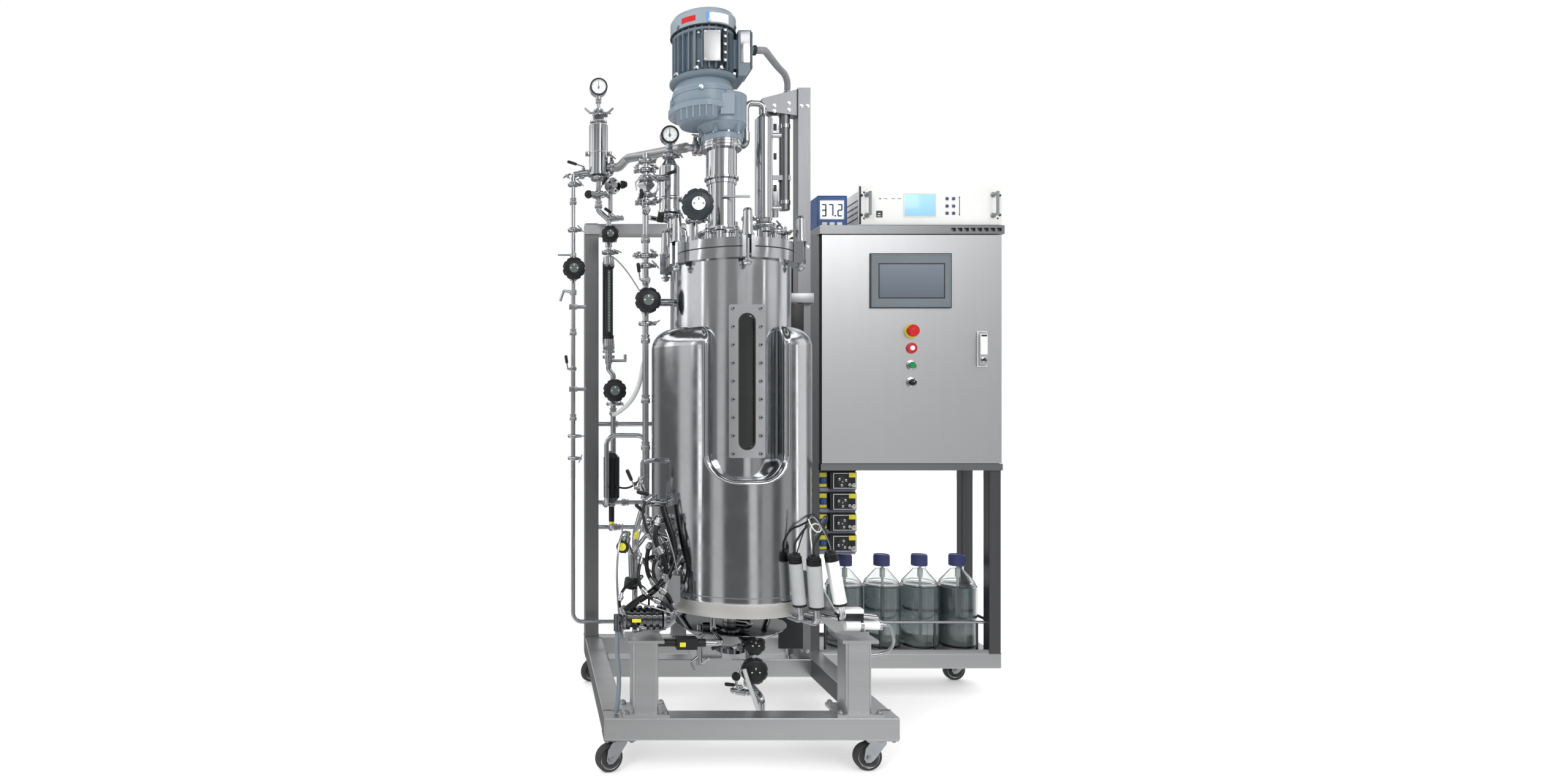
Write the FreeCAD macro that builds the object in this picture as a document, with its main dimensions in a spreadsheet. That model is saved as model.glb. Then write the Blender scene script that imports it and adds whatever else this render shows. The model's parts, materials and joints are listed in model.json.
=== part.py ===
import FreeCAD, Part
import math
import os
import re

import Sketcher
from FreeCAD import Placement, Rotation, Vector

# A pilot-scale stirred bioreactor on a wheeled skid, with its control cabinet, pumps and feed bottles.
# Layout axes: X to the right from the left of the piping, Y back from the skid's front face, Z up
# from the floor.
# place() moves every sub-part so that the document's origin lies on the floor under the middle of the machine.

DIMENSIONS = [
    # name, millimetres, what it is
    ("origin_x", 846.3, "layout X of the middle of the footprint"),
    ("origin_y", 425, "layout Y of the middle of the footprint"),
    # skid and frames
    ("skid_left", 196, "left face of the skid"),
    ("skid_right", 978, "right face of the skid, and left face of the cabinet"),
    ("skid_back", 850, "rear face of the skid, the cabinet and its frame"),
    ("skid_tube", 60, "square tube of the skid"),
    ("deck_low", 94, "underside of the skid, on top of the casters"),
    ("cross_front", 532, "front face of the skid's cross beam"),
    ("post_tube", 40, "square tube of the cabinet frame"),
    ("pipe_post", 50, "square tube of the piping frame"),
    ("pipe_frame_top", 1633, "top of the piping frame"),
    ("pipe_frame_right", 560, "right face of the piping frame"),
    ("cabinet_right", 1590, "right face of the cabinet"),
    ("cabinet_low", 764, "underside of the cabinet"),
    ("cabinet_high", 1588, "top of the cabinet's cap"),
    ("cabinet_front", 636, "front edge of the cabinet's walls, behind the door"),
    ("base_beam", 50, "height of the cabinet frame's bottom beams"),
    ("shelf_sheet", 4, "thickness of the bottle shelf"),
    ("rail_high", 246, "height of the bottle rail"),
    ("rail_r", 5, "radius of the bottle rail's rod"),
    # casters
    ("wheel_r", 37.5, "radius of a caster wheel"),
    ("wheel_wide", 24, "width of a caster wheel"),
    ("caster_trail", 28, "kingpin to axle"),
    ("caster_inset", 42, "kingpin from the frame's outer faces"),
    ("plate_low", 90, "underside of a caster's top plate"),
    # vessel
    ("vessel_x", 592, "layout X of the vessel's axis"),
    ("vessel_y", 266, "layout Y of the vessel's axis"),
    ("vessel_r", 172, "outer radius of the vessel's shell"),
    ("vessel_wall", 4, "thickness of the vessel's shell"),
    ("vessel_flange_r", 188, "radius of the body flange and the lid"),
    ("vessel_low", 480, "height where the dished bottom starts"),
    ("body_flange_low", 1388, "underside of the body flange"),
    ("lid_low", 1418, "joint between the body flange and the lid"),
    ("lid_high", 1444, "top of the lid"),
    ("jacket_r", 230, "outer radius of the insulation jacket"),
    ("jacket_low", 405, "height of the jacket's bottom knuckle"),
    ("jacket_high", 1205, "top of the jacket at the vessel's neck"),
    ("recess_half", 100, "half the width of the jacket's recess round the sight glass"),
    ("recess_low", 781, "bottom of that recess"),
    ("glass_low", 838, "bottom of the sight glass plate"),
    ("glass_high", 1257, "top of the sight glass plate"),
    ("glass_half", 50, "half the width of the sight glass plate"),
    ("window_r", 20.5, "radius of the window's round ends"),
    ("window_low", 862, "bottom of the window"),
    ("window_high", 1231, "top of the window"),
    ("leg_reach_x", 284, "front legs, sideways from the vessel's axis"),
    ("leg_reach_y", 216, "front legs, forward of the vessel's axis"),
    ("leg_back_y", 562, "layout Y of the rear leg, on the cross beam"),
    ("leg_tube", 70, "square tube of a leg"),
    ("leg_high", 358, "top of a leg"),
    # drive
    ("drive_x", 568, "layout X of the agitator's axis, off the vessel's own"),
    ("drive_y", 276, "layout Y of the agitator's axis"),
    ("shaft_r", 14, "radius of the agitator's shaft"),
    ("fit", 0.05, "radial clearance of a shaft in its bearing"),
    ("lantern_low", 1483, "foot of the seal lantern"),
    ("lantern_step", 1651, "height where the lantern widens"),
    ("lantern_high", 1760, "top of the lantern, under the gearbox"),
    ("gear_high", 1928, "top of the gearbox"),
    ("motor_x", 513, "layout X of the motor's axis"),
    ("motor_high", 2086, "top of the motor's finned housing"),
    ("motor_r", 76, "radius of the motor's barrel"),
    ("cowl_r", 95, "outer radius of the fan cowl"),
    ("cowl_high", 2126, "top of the fan cowl"),
    ("cowl_sheet", 2, "thickness of the fan cowl"),
    # mast and piping
    ("mast_left", 876, "left face of the mast"),
    ("mast_right", 916, "right face of the mast"),
    ("mast_high", 2020, "top of the mast"),
    ("line_y", 750, "layout Y of the gas lines in front of the piping frame"),
    ("far_pipe_x", 152, "layout X of the far left line"),
    ("meter_x", 277, "layout X of the flow meter's line"),
    ("filter_x", 241, "layout X of the exhaust filter"),
    ("neck_pipe_x", 346, "layout X of the sparge line beside the vessel's neck"),
    ("neck_pipe_y", 300, "layout Y of that line"),
    # cabinet
    ("sheet", 2, "cabinet sheet metal"),
    ("door_left", 982, "left edge of the door"),
    ("hinge_x", 988, "layout X of the door's hinge line"),
    ("hinge_y", 622, "layout Y of the door's hinge line"),
    ("hinge_pin_r", 3, "radius of the door's hinge pins"),
    ("door_right", 1586, "right edge of the door"),
    ("door_low", 788, "lower edge of the door"),
    ("door_high", 1556, "upper edge of the door"),
    ("door_front", 616, "front face of the door"),
    ("door_back", 634, "rear face of the door's folded edge"),
    ("button_x", 1283, "layout X of the row of buttons"),
    ("stop_z", 1233, "height of the emergency stop"),
    ("button_pitch", 57.5, "spacing of the buttons"),
    ("screen_left", 1143, "left edge of the touch panel"),
    ("screen_right", 1415, "right edge of the touch panel"),
    ("screen_low", 1310, "lower edge of the touch panel"),
    ("screen_high", 1493, "upper edge of the touch panel"),
    ("lock_x", 1518, "layout X of the swing handle"),
    ("lock_low", 1118, "lower end of the swing handle"),
    ("lock_high", 1226, "upper end of the swing handle"),
    # bottles, pumps and instruments
    ("bottle_r", 64, "radius of a feed bottle"),
    ("bottle_pitch", 132, "spacing of the bottles"),
    ("bottle_x", 1100, "layout X of the first bottle"),
    ("bottle_y", 738, "layout Y of the bottles"),
    ("pump_left", 980, "left side of the pump stack"),
    ("pump_wide", 128, "width of a pump"),
    ("pump_pitch", 71, "height of one pump"),
    ("analyser_left", 1112, "left edge of the gas analyser's front"),
    ("analyser_wide", 482.6, "width of the gas analyser's front"),
]

doc = FreeCAD.newDocument("bioreactor_skid")
dims = doc.addObject("Spreadsheet::Sheet", "Dims")
for row, (alias, amount, meaning) in enumerate(DIMENSIONS, start=1):
    dims.set(f"A{row}", alias)
    dims.set(f"B{row}", str(amount))
    dims.setAlias(f"B{row}", alias)
    dims.set(f"C{row}", meaning)
doc.recompute()
ALIASES = {alias for alias, amount, meaning in DIMENSIONS}
SUB_PARTS = []


# ---------------------------------------------------------------- formulas and placing

def formula(text):
    """Point each sheet name in a formula at the sheet."""
    return re.sub(r"[a-z]\w*", lambda word: "Dims." + word[0] if word[0] in ALIASES else word[0], str(text))


def size(text):
    """The value of a formula over the sheet, in millimetres."""
    return float(dims.evalExpression(formula(text)))


def bind(thing, name, text):
    thing.setExpression(name, formula(text))


def bind_base(thing, spot):
    for axis, text in zip("xyz", spot):
        bind(thing, "Placement.Base." + axis, text)


def place(thing, label, spot=("0", "0", "0"), turn=0):
    """Finish a sub-part: name it and move it from the layout corner to the document's origin."""
    thing.Label = label
    thing.Placement = Placement(Vector(), Rotation(Vector(0, 0, 1), turn))
    x, y, z = spot
    bind_base(thing, (f"{x} - origin_x", f"{y} - origin_y", z))
    SUB_PARTS.append(thing)
    return thing


# ---------------------------------------------------------------- primitives and booleans

TURNS = {
    "z": Rotation(),
    "-z": Rotation(Vector(1, 0, 0), 180),
    "x": Rotation(Vector(0, 1, 0), 90),
    "-x": Rotation(Vector(0, 1, 0), -90),
    "y": Rotation(Vector(1, 0, 0), -90),
    "-y": Rotation(Vector(1, 0, 0), 90),
}


def block(xs, ys, zs):
    """A box between two formulas along each axis."""
    box = doc.addObject("Part::Box", "block")
    for name, (low, high) in zip(("Length", "Width", "Height"), (xs, ys, zs)):
        bind(box, name, f"({high}) - ({low})")
    bind_base(box, (xs[0], ys[0], zs[0]))
    return box


def rod(radius, spot, length, way="z"):
    """A cylinder from a spot, along one axis."""
    cylinder = doc.addObject("Part::Cylinder", "rod")
    bind(cylinder, "Radius", radius)
    bind(cylinder, "Height", length)
    cylinder.Placement = Placement(Vector(), TURNS[way])
    bind_base(cylinder, spot)
    return cylinder


def cone(radius_low, radius_high, spot, length, way="z"):
    taper = doc.addObject("Part::Cone", "cone")
    bind(taper, "Radius1", radius_low)
    bind(taper, "Radius2", radius_high)
    bind(taper, "Height", length)
    taper.Placement = Placement(Vector(), TURNS[way])
    bind_base(taper, spot)
    return taper


def group(things):
    """Several separate solids held as one object."""
    bundle = doc.addObject("Part::Compound", "group")
    bundle.Links = things
    return bundle


def fuse(things):
    union = doc.addObject("Part::MultiFuse", "fuse")
    union.Shapes = things
    union.Refine = True
    return union


def cut(base, tools):
    """Take the tools away from the base."""
    rest = doc.addObject("Part::Cut", "cut")
    rest.Base = base
    rest.Tool = tools[0] if len(tools) == 1 else fuse(tools)
    rest.Refine = True
    return rest


def round_edges(thing, radius, chosen):
    """Fillet the edges of a box or boolean that the test picks."""
    doc.recompute()
    names = [i for i, edge in enumerate(thing.Shape.Edges, start=1) if chosen(edge)]
    soft = doc.addObject("Part::Fillet", "soft")
    soft.Base = thing
    soft.Edges = [(i, radius, radius) for i in names]
    return soft


def along(axis):
    """An edge test: straight and parallel to one axis."""
    def test(edge):
        if not isinstance(edge.Curve, Part.Line):
            return False
        return abs(abs(edge.Curve.Direction.dot(axis)) - 1) < 1e-6
    return test


AXES = {"x": Vector(1, 0, 0), "y": Vector(0, 1, 0), "z": Vector(0, 0, 1)}


def tube(xs, ys, zs, way, corner=4):
    """A square tube with its rolled corners, closed at both ends by what it is welded to."""
    return round_edges(block(xs, ys, zs), corner, along(AXES[way]))


# ---------------------------------------------------------------- sketched features

def body(spot=("0", "0", "0")):
    solid = doc.addObject("PartDesign::Body", "body")
    bind_base(solid, spot)
    return solid


def outline(solid, plane, points):
    """A closed sketch on one of the body's planes.

    Each point is (u, v) or (u, v, radius): with a radius, the edge to the next point is an arc that
    bulges to the left of its direction if the radius is positive, and to the right if it is negative.
    """
    sketch = solid.newObject("Sketcher::SketchObject", "outline")
    sketch.AttachmentSupport = [(next(f for f in solid.Origin.OriginFeatures if f.Role == plane), "")]
    sketch.MapMode = "FlatFace"
    spots = [Vector(size(p[0]), size(p[1]), 0) for p in points]
    for i, point in enumerate(points):
        start, end = spots[i], spots[(i + 1) % len(points)]
        if len(point) == 2:
            sketch.addGeometry(Part.LineSegment(start, end), False)
            continue
        radius = size(point[2])
        half = (end - start) * 0.5
        side = Vector(-half.y, half.x, 0).normalize() * math.copysign(1, radius)
        rise = abs(radius) - math.sqrt(max(radius ** 2 - half.Length ** 2, 0))
        arc = Part.Arc(start, start + half + side * rise, end)
        sketch.addGeometry(arc, False)
    for i, point in enumerate(points):
        after = (i + 1) % len(points)
        end_pos = 2
        if len(point) == 3 and size(point[2]) > 0:
            end_pos = 1
        start_pos = 2 if len(points[after]) == 3 and size(points[after][2]) > 0 else 1
        sketch.addConstraint(Sketcher.Constraint("Coincident", i, end_pos, after, start_pos))
    for i, point in enumerate(points):
        pos = 2 if len(point) == 3 and size(point[2]) > 0 else 1
        for kind, text, amount in (("DistanceX", point[0], spots[i].x), ("DistanceY", point[1], spots[i].y)):
            number = sketch.addConstraint(Sketcher.Constraint(kind, i, pos, amount))
            if not re.fullmatch(r"-?[\d.]+", str(text)):
                bind(sketch, f"Constraints[{number}]", text)
        if len(point) == 3:
            chord = spots[(i + 1) % len(points)] - spots[i]
            if math.isclose(chord.Length, 2 * abs(size(point[2]))):
                level = "Horizontal" if abs(chord.y) < abs(chord.x) else "Vertical"
                sketch.addConstraint(Sketcher.Constraint(level, i, 3, i, 1))
            else:
                sketch.addConstraint(Sketcher.Constraint("Radius", i, abs(size(point[2]))))
    return sketch


def circle(solid, plane, radius, u, v):
    """A sketch of one circle on one of the body's planes."""
    sketch = solid.newObject("Sketcher::SketchObject", "circle")
    sketch.AttachmentSupport = [(next(f for f in solid.Origin.OriginFeatures if f.Role == plane), "")]
    sketch.MapMode = "FlatFace"
    sketch.addGeometry(Part.Circle(Vector(size(u), size(v), 0), Vector(0, 0, 1), size(radius)), False)
    sketch.addConstraint(Sketcher.Constraint("Radius", 0, size(radius)))
    sketch.addConstraint(Sketcher.Constraint("DistanceX", 0, 3, size(u)))
    sketch.addConstraint(Sketcher.Constraint("DistanceY", 0, 3, size(v)))
    for number, text in enumerate((radius, u, v)):
        bind(sketch, f"Constraints[{number}]", text)
    return sketch


def turned(points, spot=("0", "0", "0")):
    """A body turned about its own Z axis: each point is (radius, height)."""
    solid = body(spot)
    sketch = outline(solid, "XZ_Plane", points)
    revolution = solid.newObject("PartDesign::Revolution", "revolution")
    revolution.Profile = sketch
    revolution.ReferenceAxis = (sketch, ["V_Axis"])
    revolution.Angle = 360
    return solid


def plate(points, thickness, spot=("0", "0", "0"), plane="XZ_Plane", both_ways=False):
    """A body padded from an outline; on the XZ plane the pad goes towards +Y."""
    solid = body(spot)
    pad = solid.newObject("PartDesign::Pad", "pad")
    pad.Profile = outline(solid, plane, points)
    bind(pad, "Length", thickness)
    pad.Midplane = both_ways
    pad.Reversed = plane == "XZ_Plane"
    return solid


def rectangle(us, vs):
    return [(us[0], vs[0]), (us[1], vs[0]), (us[1], vs[1]), (us[0], vs[1])]


def obround(middle, half, low, high):
    """A slot with round ends, upright."""
    left, right = f"{middle} - {half}", f"{middle} + {half}"
    return [(right, f"{low} + {half}"), (right, f"{high} - {half}", f"-({half})"),
            (left, f"{high} - {half}"), (left, f"{low} + {half}", f"-({half})")]


# ---------------------------------------------------------------- pipes and hoses

def pipe_shape(points, radius, bend=None):
    """Straight runs joined by tangent arcs; with no bend radius, each arc is as large as its runs allow."""
    spots = [Vector(*p) for p in points]
    disc_at = lambda spot, way: Part.Face(Part.Wire(Part.makeCircle(radius, spot, way)))
    solids = []
    radii = []
    start = spots[0]
    for before, corner, after in zip(spots, spots[1:], spots[2:]):
        way_in = (corner - before).normalize()
        way_out = (after - corner).normalize()
        turn = way_in.getAngle(way_out)
        shorter = min((corner - before).Length, (after - corner).Length)
        arc_r = bend if bend else 0.45 * shorter / math.tan(turn / 2)
        tangent = arc_r * math.tan(turn / 2)
        arc_start = corner - way_in * tangent
        spin = way_in.cross(way_out).normalize()
        centre = arc_start + spin.cross(way_in).normalize() * arc_r
        if (arc_start - start).Length > 1e-6:
            solids.append(disc_at(start, way_in).extrude(arc_start - start))
        solids.append(disc_at(arc_start, way_in).revolve(centre, spin, math.degrees(turn)))
        radii.append(arc_r)
        start = corner + way_out * tangent
    last = spots[-1] - start
    solids.append(disc_at(start, last).extrude(last))
    whole = solids[0].multiFuse(solids[1:]).removeSplitter() if len(solids) > 1 else solids[0]
    length = sum(s.Volume for s in solids) / (math.pi * radius ** 2)
    if radii and not bend:
        print(f"hose {length:.0f} mm long, {radius} mm radius, arcs", " ".join(f"{r:.0f}" for r in radii),
              f"volume ratio {whole.Volume / (math.pi * radius ** 2 * length):.3f}")
    return whole


def pipe(points, radius, bend=None):
    """A pipe or hose as an object; its route is in layout coordinates."""
    line = doc.addObject("Part::Feature", "pipe")
    line.Shape = pipe_shape([[size(c) for c in p] for p in points], radius, bend)
    return line


# ---------------------------------------------------------------- small pieces that repeat

def tri_clamp(spot, way, radius, bore, height=12):
    """A pipe clamp: the ring round its ferrules, with an ear and a wing nut."""
    x, y, z = spot
    up = {"x": (1, 0, 0), "y": (0, 1, 0), "z": (0, 0, 1)}[way]
    start = [f"{c} - {height / 2 * u}" for c, u in zip(spot, up)]
    ring = rod(radius, start, height, way)
    if way == "z":
        ear = block((f"{x} + {radius - 4}", f"{x} + {radius + 12}"), (f"{y} - 6", f"{y} + 6"),
                    (f"{z} - {height / 2 - 1}", f"{z} + {height / 2 - 1}"))
        nut = rod(4, (f"{x} + {radius + 7}", f"{y} - 20", z), 14, "y")
    elif way == "x":
        ear = block((f"{x} - {height / 2 - 1}", f"{x} + {height / 2 - 1}"), (f"{y} - 6", f"{y} + 6"),
                    (f"{z} + {radius - 4}", f"{z} + {radius + 12}"))
        nut = rod(4, (x, f"{y} - 20", f"{z} + {radius + 7}"), 14, "y")
    else:
        ear = block((f"{x} - 6", f"{x} + 6"), (f"{y} - {height / 2 - 1}", f"{y} + {height / 2 - 1}"),
                    (f"{z} + {radius - 4}", f"{z} + {radius + 12}"))
        nut = rod(4, (f"{x} + 6", y, f"{z} + {radius + 7}"), 14, "x")
    return cut(fuse([ring, ear, nut]), [rod(f"{bore} + fit", start, height, way)])


def valve_body(spot, way, run=34, bore=9):
    """A diaphragm valve's body: a run of pipe with a bonnet facing the front, bored for the spindle."""
    x, y, z = spot
    low = [f"{c} - {run if a == way else 0}" for c, a in zip(spot, "xyz")]
    through = rod(bore + 3, low, 2 * run, way)
    bonnet = rod(19, (x, f"{y} - 44", z), 44, "y")
    cap = rod(24, (x, f"{y} - 40", z), 10, "y")
    hole = rod("5 + fit", (x, f"{y} - 44", z), 16, "y")
    return cut(fuse([through, bonnet, cap]), [hole])


def handwheel(label, spot, radius, deep=26):
    """A fluted domed knob on its spindle, turned about Y; the spot is the face of the bonnet it sits on."""
    wheel = body(spot)
    profile = outline(wheel, "YZ_Plane", [
        ("14", "0"), ("14", "5"), ("-0.5", "5"), ("-0.5", radius - 8), ("-5.5", radius),
        (-deep * 0.6, radius), (-deep * 0.85, radius * 0.8), (-deep, radius * 0.4), (-deep, "0")])
    knob = wheel.newObject("PartDesign::Revolution", "knob")
    knob.Profile = profile
    knob.ReferenceAxis = (profile, ["H_Axis"])
    knob.Angle = 360
    flute = wheel.newObject("PartDesign::Pocket", "flute")
    flute.Profile = circle(wheel, "XZ_Plane", 6, radius + 2.5, "0")
    flute.Type = "ThroughAll"
    flute.Midplane = True
    grips = wheel.newObject("PartDesign::PolarPattern", "grips")
    grips.Originals = [flute]
    grips.Axis = (profile, ["H_Axis"])
    grips.Angle = 360
    grips.Occurrences = 8
    wheel.Tip = grips
    return place(wheel, label, spot)


# ---------------------------------------------------------------- skid, frames and casters

def skid_frame():
    left, right, deck = "skid_left", "skid_right", ("deck_low", "deck_low + skid_tube")
    across = ("skid_left + skid_tube", "skid_right - skid_tube")
    back = ("skid_back - skid_tube", "skid_back")
    sides = ("skid_tube", "skid_back - skid_tube")
    place(group([
        tube((left, right), ("0", "skid_tube"), deck, "x"),
        tube((left, right), back, deck, "x"),
        tube((left, f"{left} + skid_tube"), sides, deck, "y"),
        tube((f"{right} - skid_tube", right), sides, deck, "y"),
        tube(across, ("cross_front", "cross_front + skid_tube"), deck, "x"),
    ]), "skid_frame")


def piping_frame():
    depth = ("skid_back - pipe_post", "skid_back")
    height = ("deck_low + skid_tube", "pipe_frame_top - 40")
    place(group([
        tube(("skid_left", "skid_left + pipe_post"), depth, height, "z"),
        tube(("pipe_frame_right - pipe_post", "pipe_frame_right"), depth, height, "z"),
        tube(("skid_left", "pipe_frame_right"), depth, ("pipe_frame_top - 40", "pipe_frame_top"), "x"),
    ]), "piping_frame")


def cabinet_frame():
    front = ("cabinet_front - 10", "cabinet_front - 10 + post_tube")
    back = ("skid_back - post_tube", "skid_back")
    beside = ("skid_right - post_tube", "skid_right")
    right = ("cabinet_right - post_tube", "cabinet_right")
    base = ("deck_low", "deck_low + base_beam")
    tall = ("deck_low + skid_tube", "cabinet_high - 29")
    short = ("deck_low + base_beam", "cabinet_low")
    across = ("skid_right", "cabinet_right")
    pieces = [tube(beside, depth, tall, "z", 3) for depth in (front, back)]
    pieces += [tube(right, depth, short, "z", 3) for depth in (front, back)]
    pieces += [tube(across, depth, base, "x", 3) for depth in (front, back)]
    pieces.append(tube(right, (front[1], back[0]), base, "y", 3))
    shelf_top = "deck_low + base_beam + shelf_sheet"
    pieces.append(block(("skid_right", right[0]), (front[0], back[1]), (short[0], shelf_top)))
    rail_front, rail_back, post_face = "cabinet_front + 12", "skid_back - 16", right[0]
    rail = []
    for depth in (rail_front, rail_back):
        rail.append(rod("rail_r", ("skid_right", depth, "rail_high"), f"{post_face} - skid_right", "x"))
        for x in ("skid_right + 25", "skid_right + 212", "skid_right + 398", f"{post_face} - 30"):
            rail.append(rod("rail_r - 1", (x, depth, shelf_top), f"rail_high - ({shelf_top})"))
    pieces.append(rod("rail_r", ("cabinet_right - post_tube / 2", front[1], "rail_high"),
                      f"{back[0]} - ({front[1]})", "y"))
    for depth in (0, 1):
        pieces.append(fuse(rail[5 * depth:5 * depth + 5]))
    place(group(pieces), "cabinet_frame")


CASTERS = {
    # name, kingpin, heading of the trailing wheel
    "front_left": (("skid_left + caster_inset", "caster_inset"), 200),
    "front_right": (("skid_right - caster_inset", "caster_inset"), 180),
    "rear_left": (("skid_left + caster_inset", "skid_back - caster_inset"), 215),
    "rear_right": (("cabinet_right - caster_inset", "skid_back - caster_inset"), 180),
}


def caster_plates():
    plates = []
    for (x, y), heading in CASTERS.values():
        plate_box = block((f"{x} - 42", f"{x} + 42"), (f"{y} - 36", f"{y} + 36"), ("plate_low", "deck_low"))
        plates.append(cut(plate_box, [rod("6 + fit", (x, y, "plate_low"), "deck_low - plate_low")]))
    place(group(plates), "caster_plates")


def caster(name, kingpin, heading):
    """A swivel fork with its kingpin and axle, and its wheel, turned so that the wheel trails along heading."""
    cheek = [(-18, "plate_low - 8"), (-18, "plate_low - 14"), ("caster_trail - 14", "wheel_r - 4"),
             ("caster_trail - 4", "wheel_r - 12"), ("caster_trail + 8", "wheel_r - 12"),
             ("caster_trail + 14", "wheel_r - 2"), ("caster_trail + 10", "wheel_r + 26"), (22, "plate_low - 8")]
    cheeks = [plate(cheek, 3, ("0", y, "0")) for y in ("-wheel_wide / 2 - 5", "wheel_wide / 2 + 2")]
    fork = fuse(cheeks + [
        block((-18, 22), ("-wheel_wide / 2 - 5", "wheel_wide / 2 + 5"), ("plate_low - 11", "plate_low - 7")),
        rod(20, ("0", "0", "plate_low - 7"), "6.7"),
        rod(6, ("0", "0", "plate_low - 1"), "5"),
        rod(5, ("caster_trail", "-wheel_wide / 2 - 7", "wheel_r"), "wheel_wide + 14", "y"),
    ])
    place(group([fork]), f"caster_fork_{name}", (*kingpin, "0"), heading)
    wheel = body(("caster_trail", "0", "wheel_r"))
    half, hub = "wheel_wide / 2", "wheel_wide / 2 + 1.5"
    profile = outline(wheel, "YZ_Plane", [
        (f"-({hub})", "5 + fit"), (hub, "5 + fit"), (hub, "12"), (f"{half} - 4", "16"), (f"{half} - 4", "26"),
        (half, "30"), (half, "wheel_r - 4"), (f"{half} - 5", "wheel_r"), (f"-({half}) + 5", "wheel_r"),
        (f"-({half})", "wheel_r - 4"), (f"-({half})", "30"), (f"-({half}) + 4", "26"), (f"-({half}) + 4", "16"),
        (f"-({hub})", "12")])
    tread = wheel.newObject("PartDesign::Revolution", "tread")
    tread.Profile = profile
    tread.ReferenceAxis = (profile, ["H_Axis"])
    tread.Angle = 360
    place(group([wheel]), f"caster_wheel_{name}", (*kingpin, "0"), heading)


# ---------------------------------------------------------------- vessel

LEGS = {
    # heading from the vessel's axis in degrees, leg centre, distance from the axis
    "left": (217.26, ("vessel_x - leg_reach_x", "vessel_y - leg_reach_y"), 356.8),
    "right": (322.74, ("vessel_x + leg_reach_x", "vessel_y - leg_reach_y"), 356.8),
    "rear": (90, ("vessel_x", "leg_back_y"), 296),
}


def gusset(heading, reach, thickness):
    """The plate that reaches in from a leg's head under the jacket's wall."""
    web = plate([("jacket_r", 415), ("jacket_r", 520), ("jacket_r + 16", 520), (reach - 22, 374),
                 (reach + 38, 374), (reach + 38, "leg_high"), (reach - 46, "leg_high")], thickness,
                 both_ways=True)
    web.Placement = Placement(Vector(), Rotation(Vector(0, 0, 1), heading))
    bind_base(web, ("vessel_x", "vessel_y", "0"))
    return web


def vessel_legs():
    """Three square legs, each with a foot, a head plate and a gusset that reaches in under the jacket."""
    legs = []
    deck = "deck_low + skid_tube"
    for heading, (x, y), reach in LEGS.values():
        foot = block((f"{x} - 62", f"{x} + 62"), (f"{y} - 50", f"{y} + 50"), (deck, f"{deck} + 8"))
        half = "leg_tube / 2"
        post = tube((f"{x} - {half}", f"{x} + {half}"), (f"{y} - {half}", f"{y} + {half}"),
                    (f"{deck} + 8", "leg_high - 8"), "z", 8)
        head = block((f"{x} - 48", f"{x} + 48"), (f"{y} - 48", f"{y} + 48"), ("leg_high - 8", "leg_high"))
        legs.append(fuse([foot, post, head, gusset(heading, reach, 12)]))
    place(group(legs), "vessel_legs")


def vessel_shell():
    """The tube with its flange, dished bottom and outlet as one wall, with the window cut through it."""
    inner = "vessel_r - vessel_wall"
    wall = turned([
        (18, 372), (22, 372), (22, 408, -320), (150, 440, -50), ("vessel_r", "vessel_low"),
        ("vessel_r", "body_flange_low"), ("vessel_flange_r", "body_flange_low"), ("vessel_flange_r", "lid_low"),
        (inner, "lid_low"), (inner, "vessel_low", 46), (147, 445, 316), (18, 412)],
        ("vessel_x", "vessel_y", "0"))
    window = plate(obround("0", "window_r", "window_low", "window_high"), 40,
                   ("vessel_x", "vessel_y - vessel_r - 10", "0"))
    place(group([cut(wall, [window])]), "vessel_shell")


def insulation_jacket():
    """The polished cladding over its insulation, with a U-shaped recess round the sight glass."""
    wall = turned([
        (60, 385, -420), ("jacket_r - 45", "jacket_low", -45), ("jacket_r", "jacket_low + 45"),
        ("jacket_r", "jacket_high - 58", -58), ("vessel_r", "jacket_high"), ("vessel_r", 460), (150, 425),
        (60, 400)],
        ("vessel_x", "vessel_y", "0"))
    corner = 70
    recess = plate([
        ("recess_half", "jacket_high + 50"), ("-recess_half", "jacket_high + 50"),
        ("-recess_half", f"recess_low + {corner}", -corner), (f"-recess_half + {corner}", "recess_low"),
        (f"recess_half - {corner}", "recess_low", -corner), ("recess_half", f"recess_low + {corner}")],
        180, ("vessel_x", "vessel_y - jacket_r - 20", "0"))
    open_wall = cut(wall, [recess])
    lip = round_edges(open_wall, 14, on_recess_lip)
    place(group([lip]), "insulation_jacket")


def on_recess_lip(edge):
    """The edges where the recess's walls meet the outside of the jacket."""
    middle = edge.valueAt((edge.FirstParameter + edge.LastParameter) / 2)
    across = middle.x - size("vessel_x")
    depth = middle.y - size("vessel_y")
    reach = math.hypot(across, depth)
    return depth < 0 and abs(across) < size("recess_half") + 1 and reach > size("jacket_r") - 1


def lid():
    x, y = "vessel_x", "vessel_y"
    pieces = [
        rod("vessel_flange_r", (x, y, "lid_low"), "lid_high - lid_low"),
        rod(62, ("drive_x", "drive_y", "lid_high"), "lantern_low - lid_high"),
    ]
    for across, deep, radius, tall in ((116, 64, 20, 74), (-118, 92, 14, 54), (-121, -70, 12, 68),
                                       (22, -118, 8, 74), (108, -84, 22, 36), (0, 140, 16, 40)):
        pieces.append(rod(radius, (f"{x} + {across}", f"{y} + {deep}", "lid_high"), tall))
    shaft_hole = rod("shaft_r + 8", ("drive_x", "drive_y", "lid_low"), "lantern_low - lid_low")
    place(group([cut(fuse(pieces), [shaft_hole])]), "lid")


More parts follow.
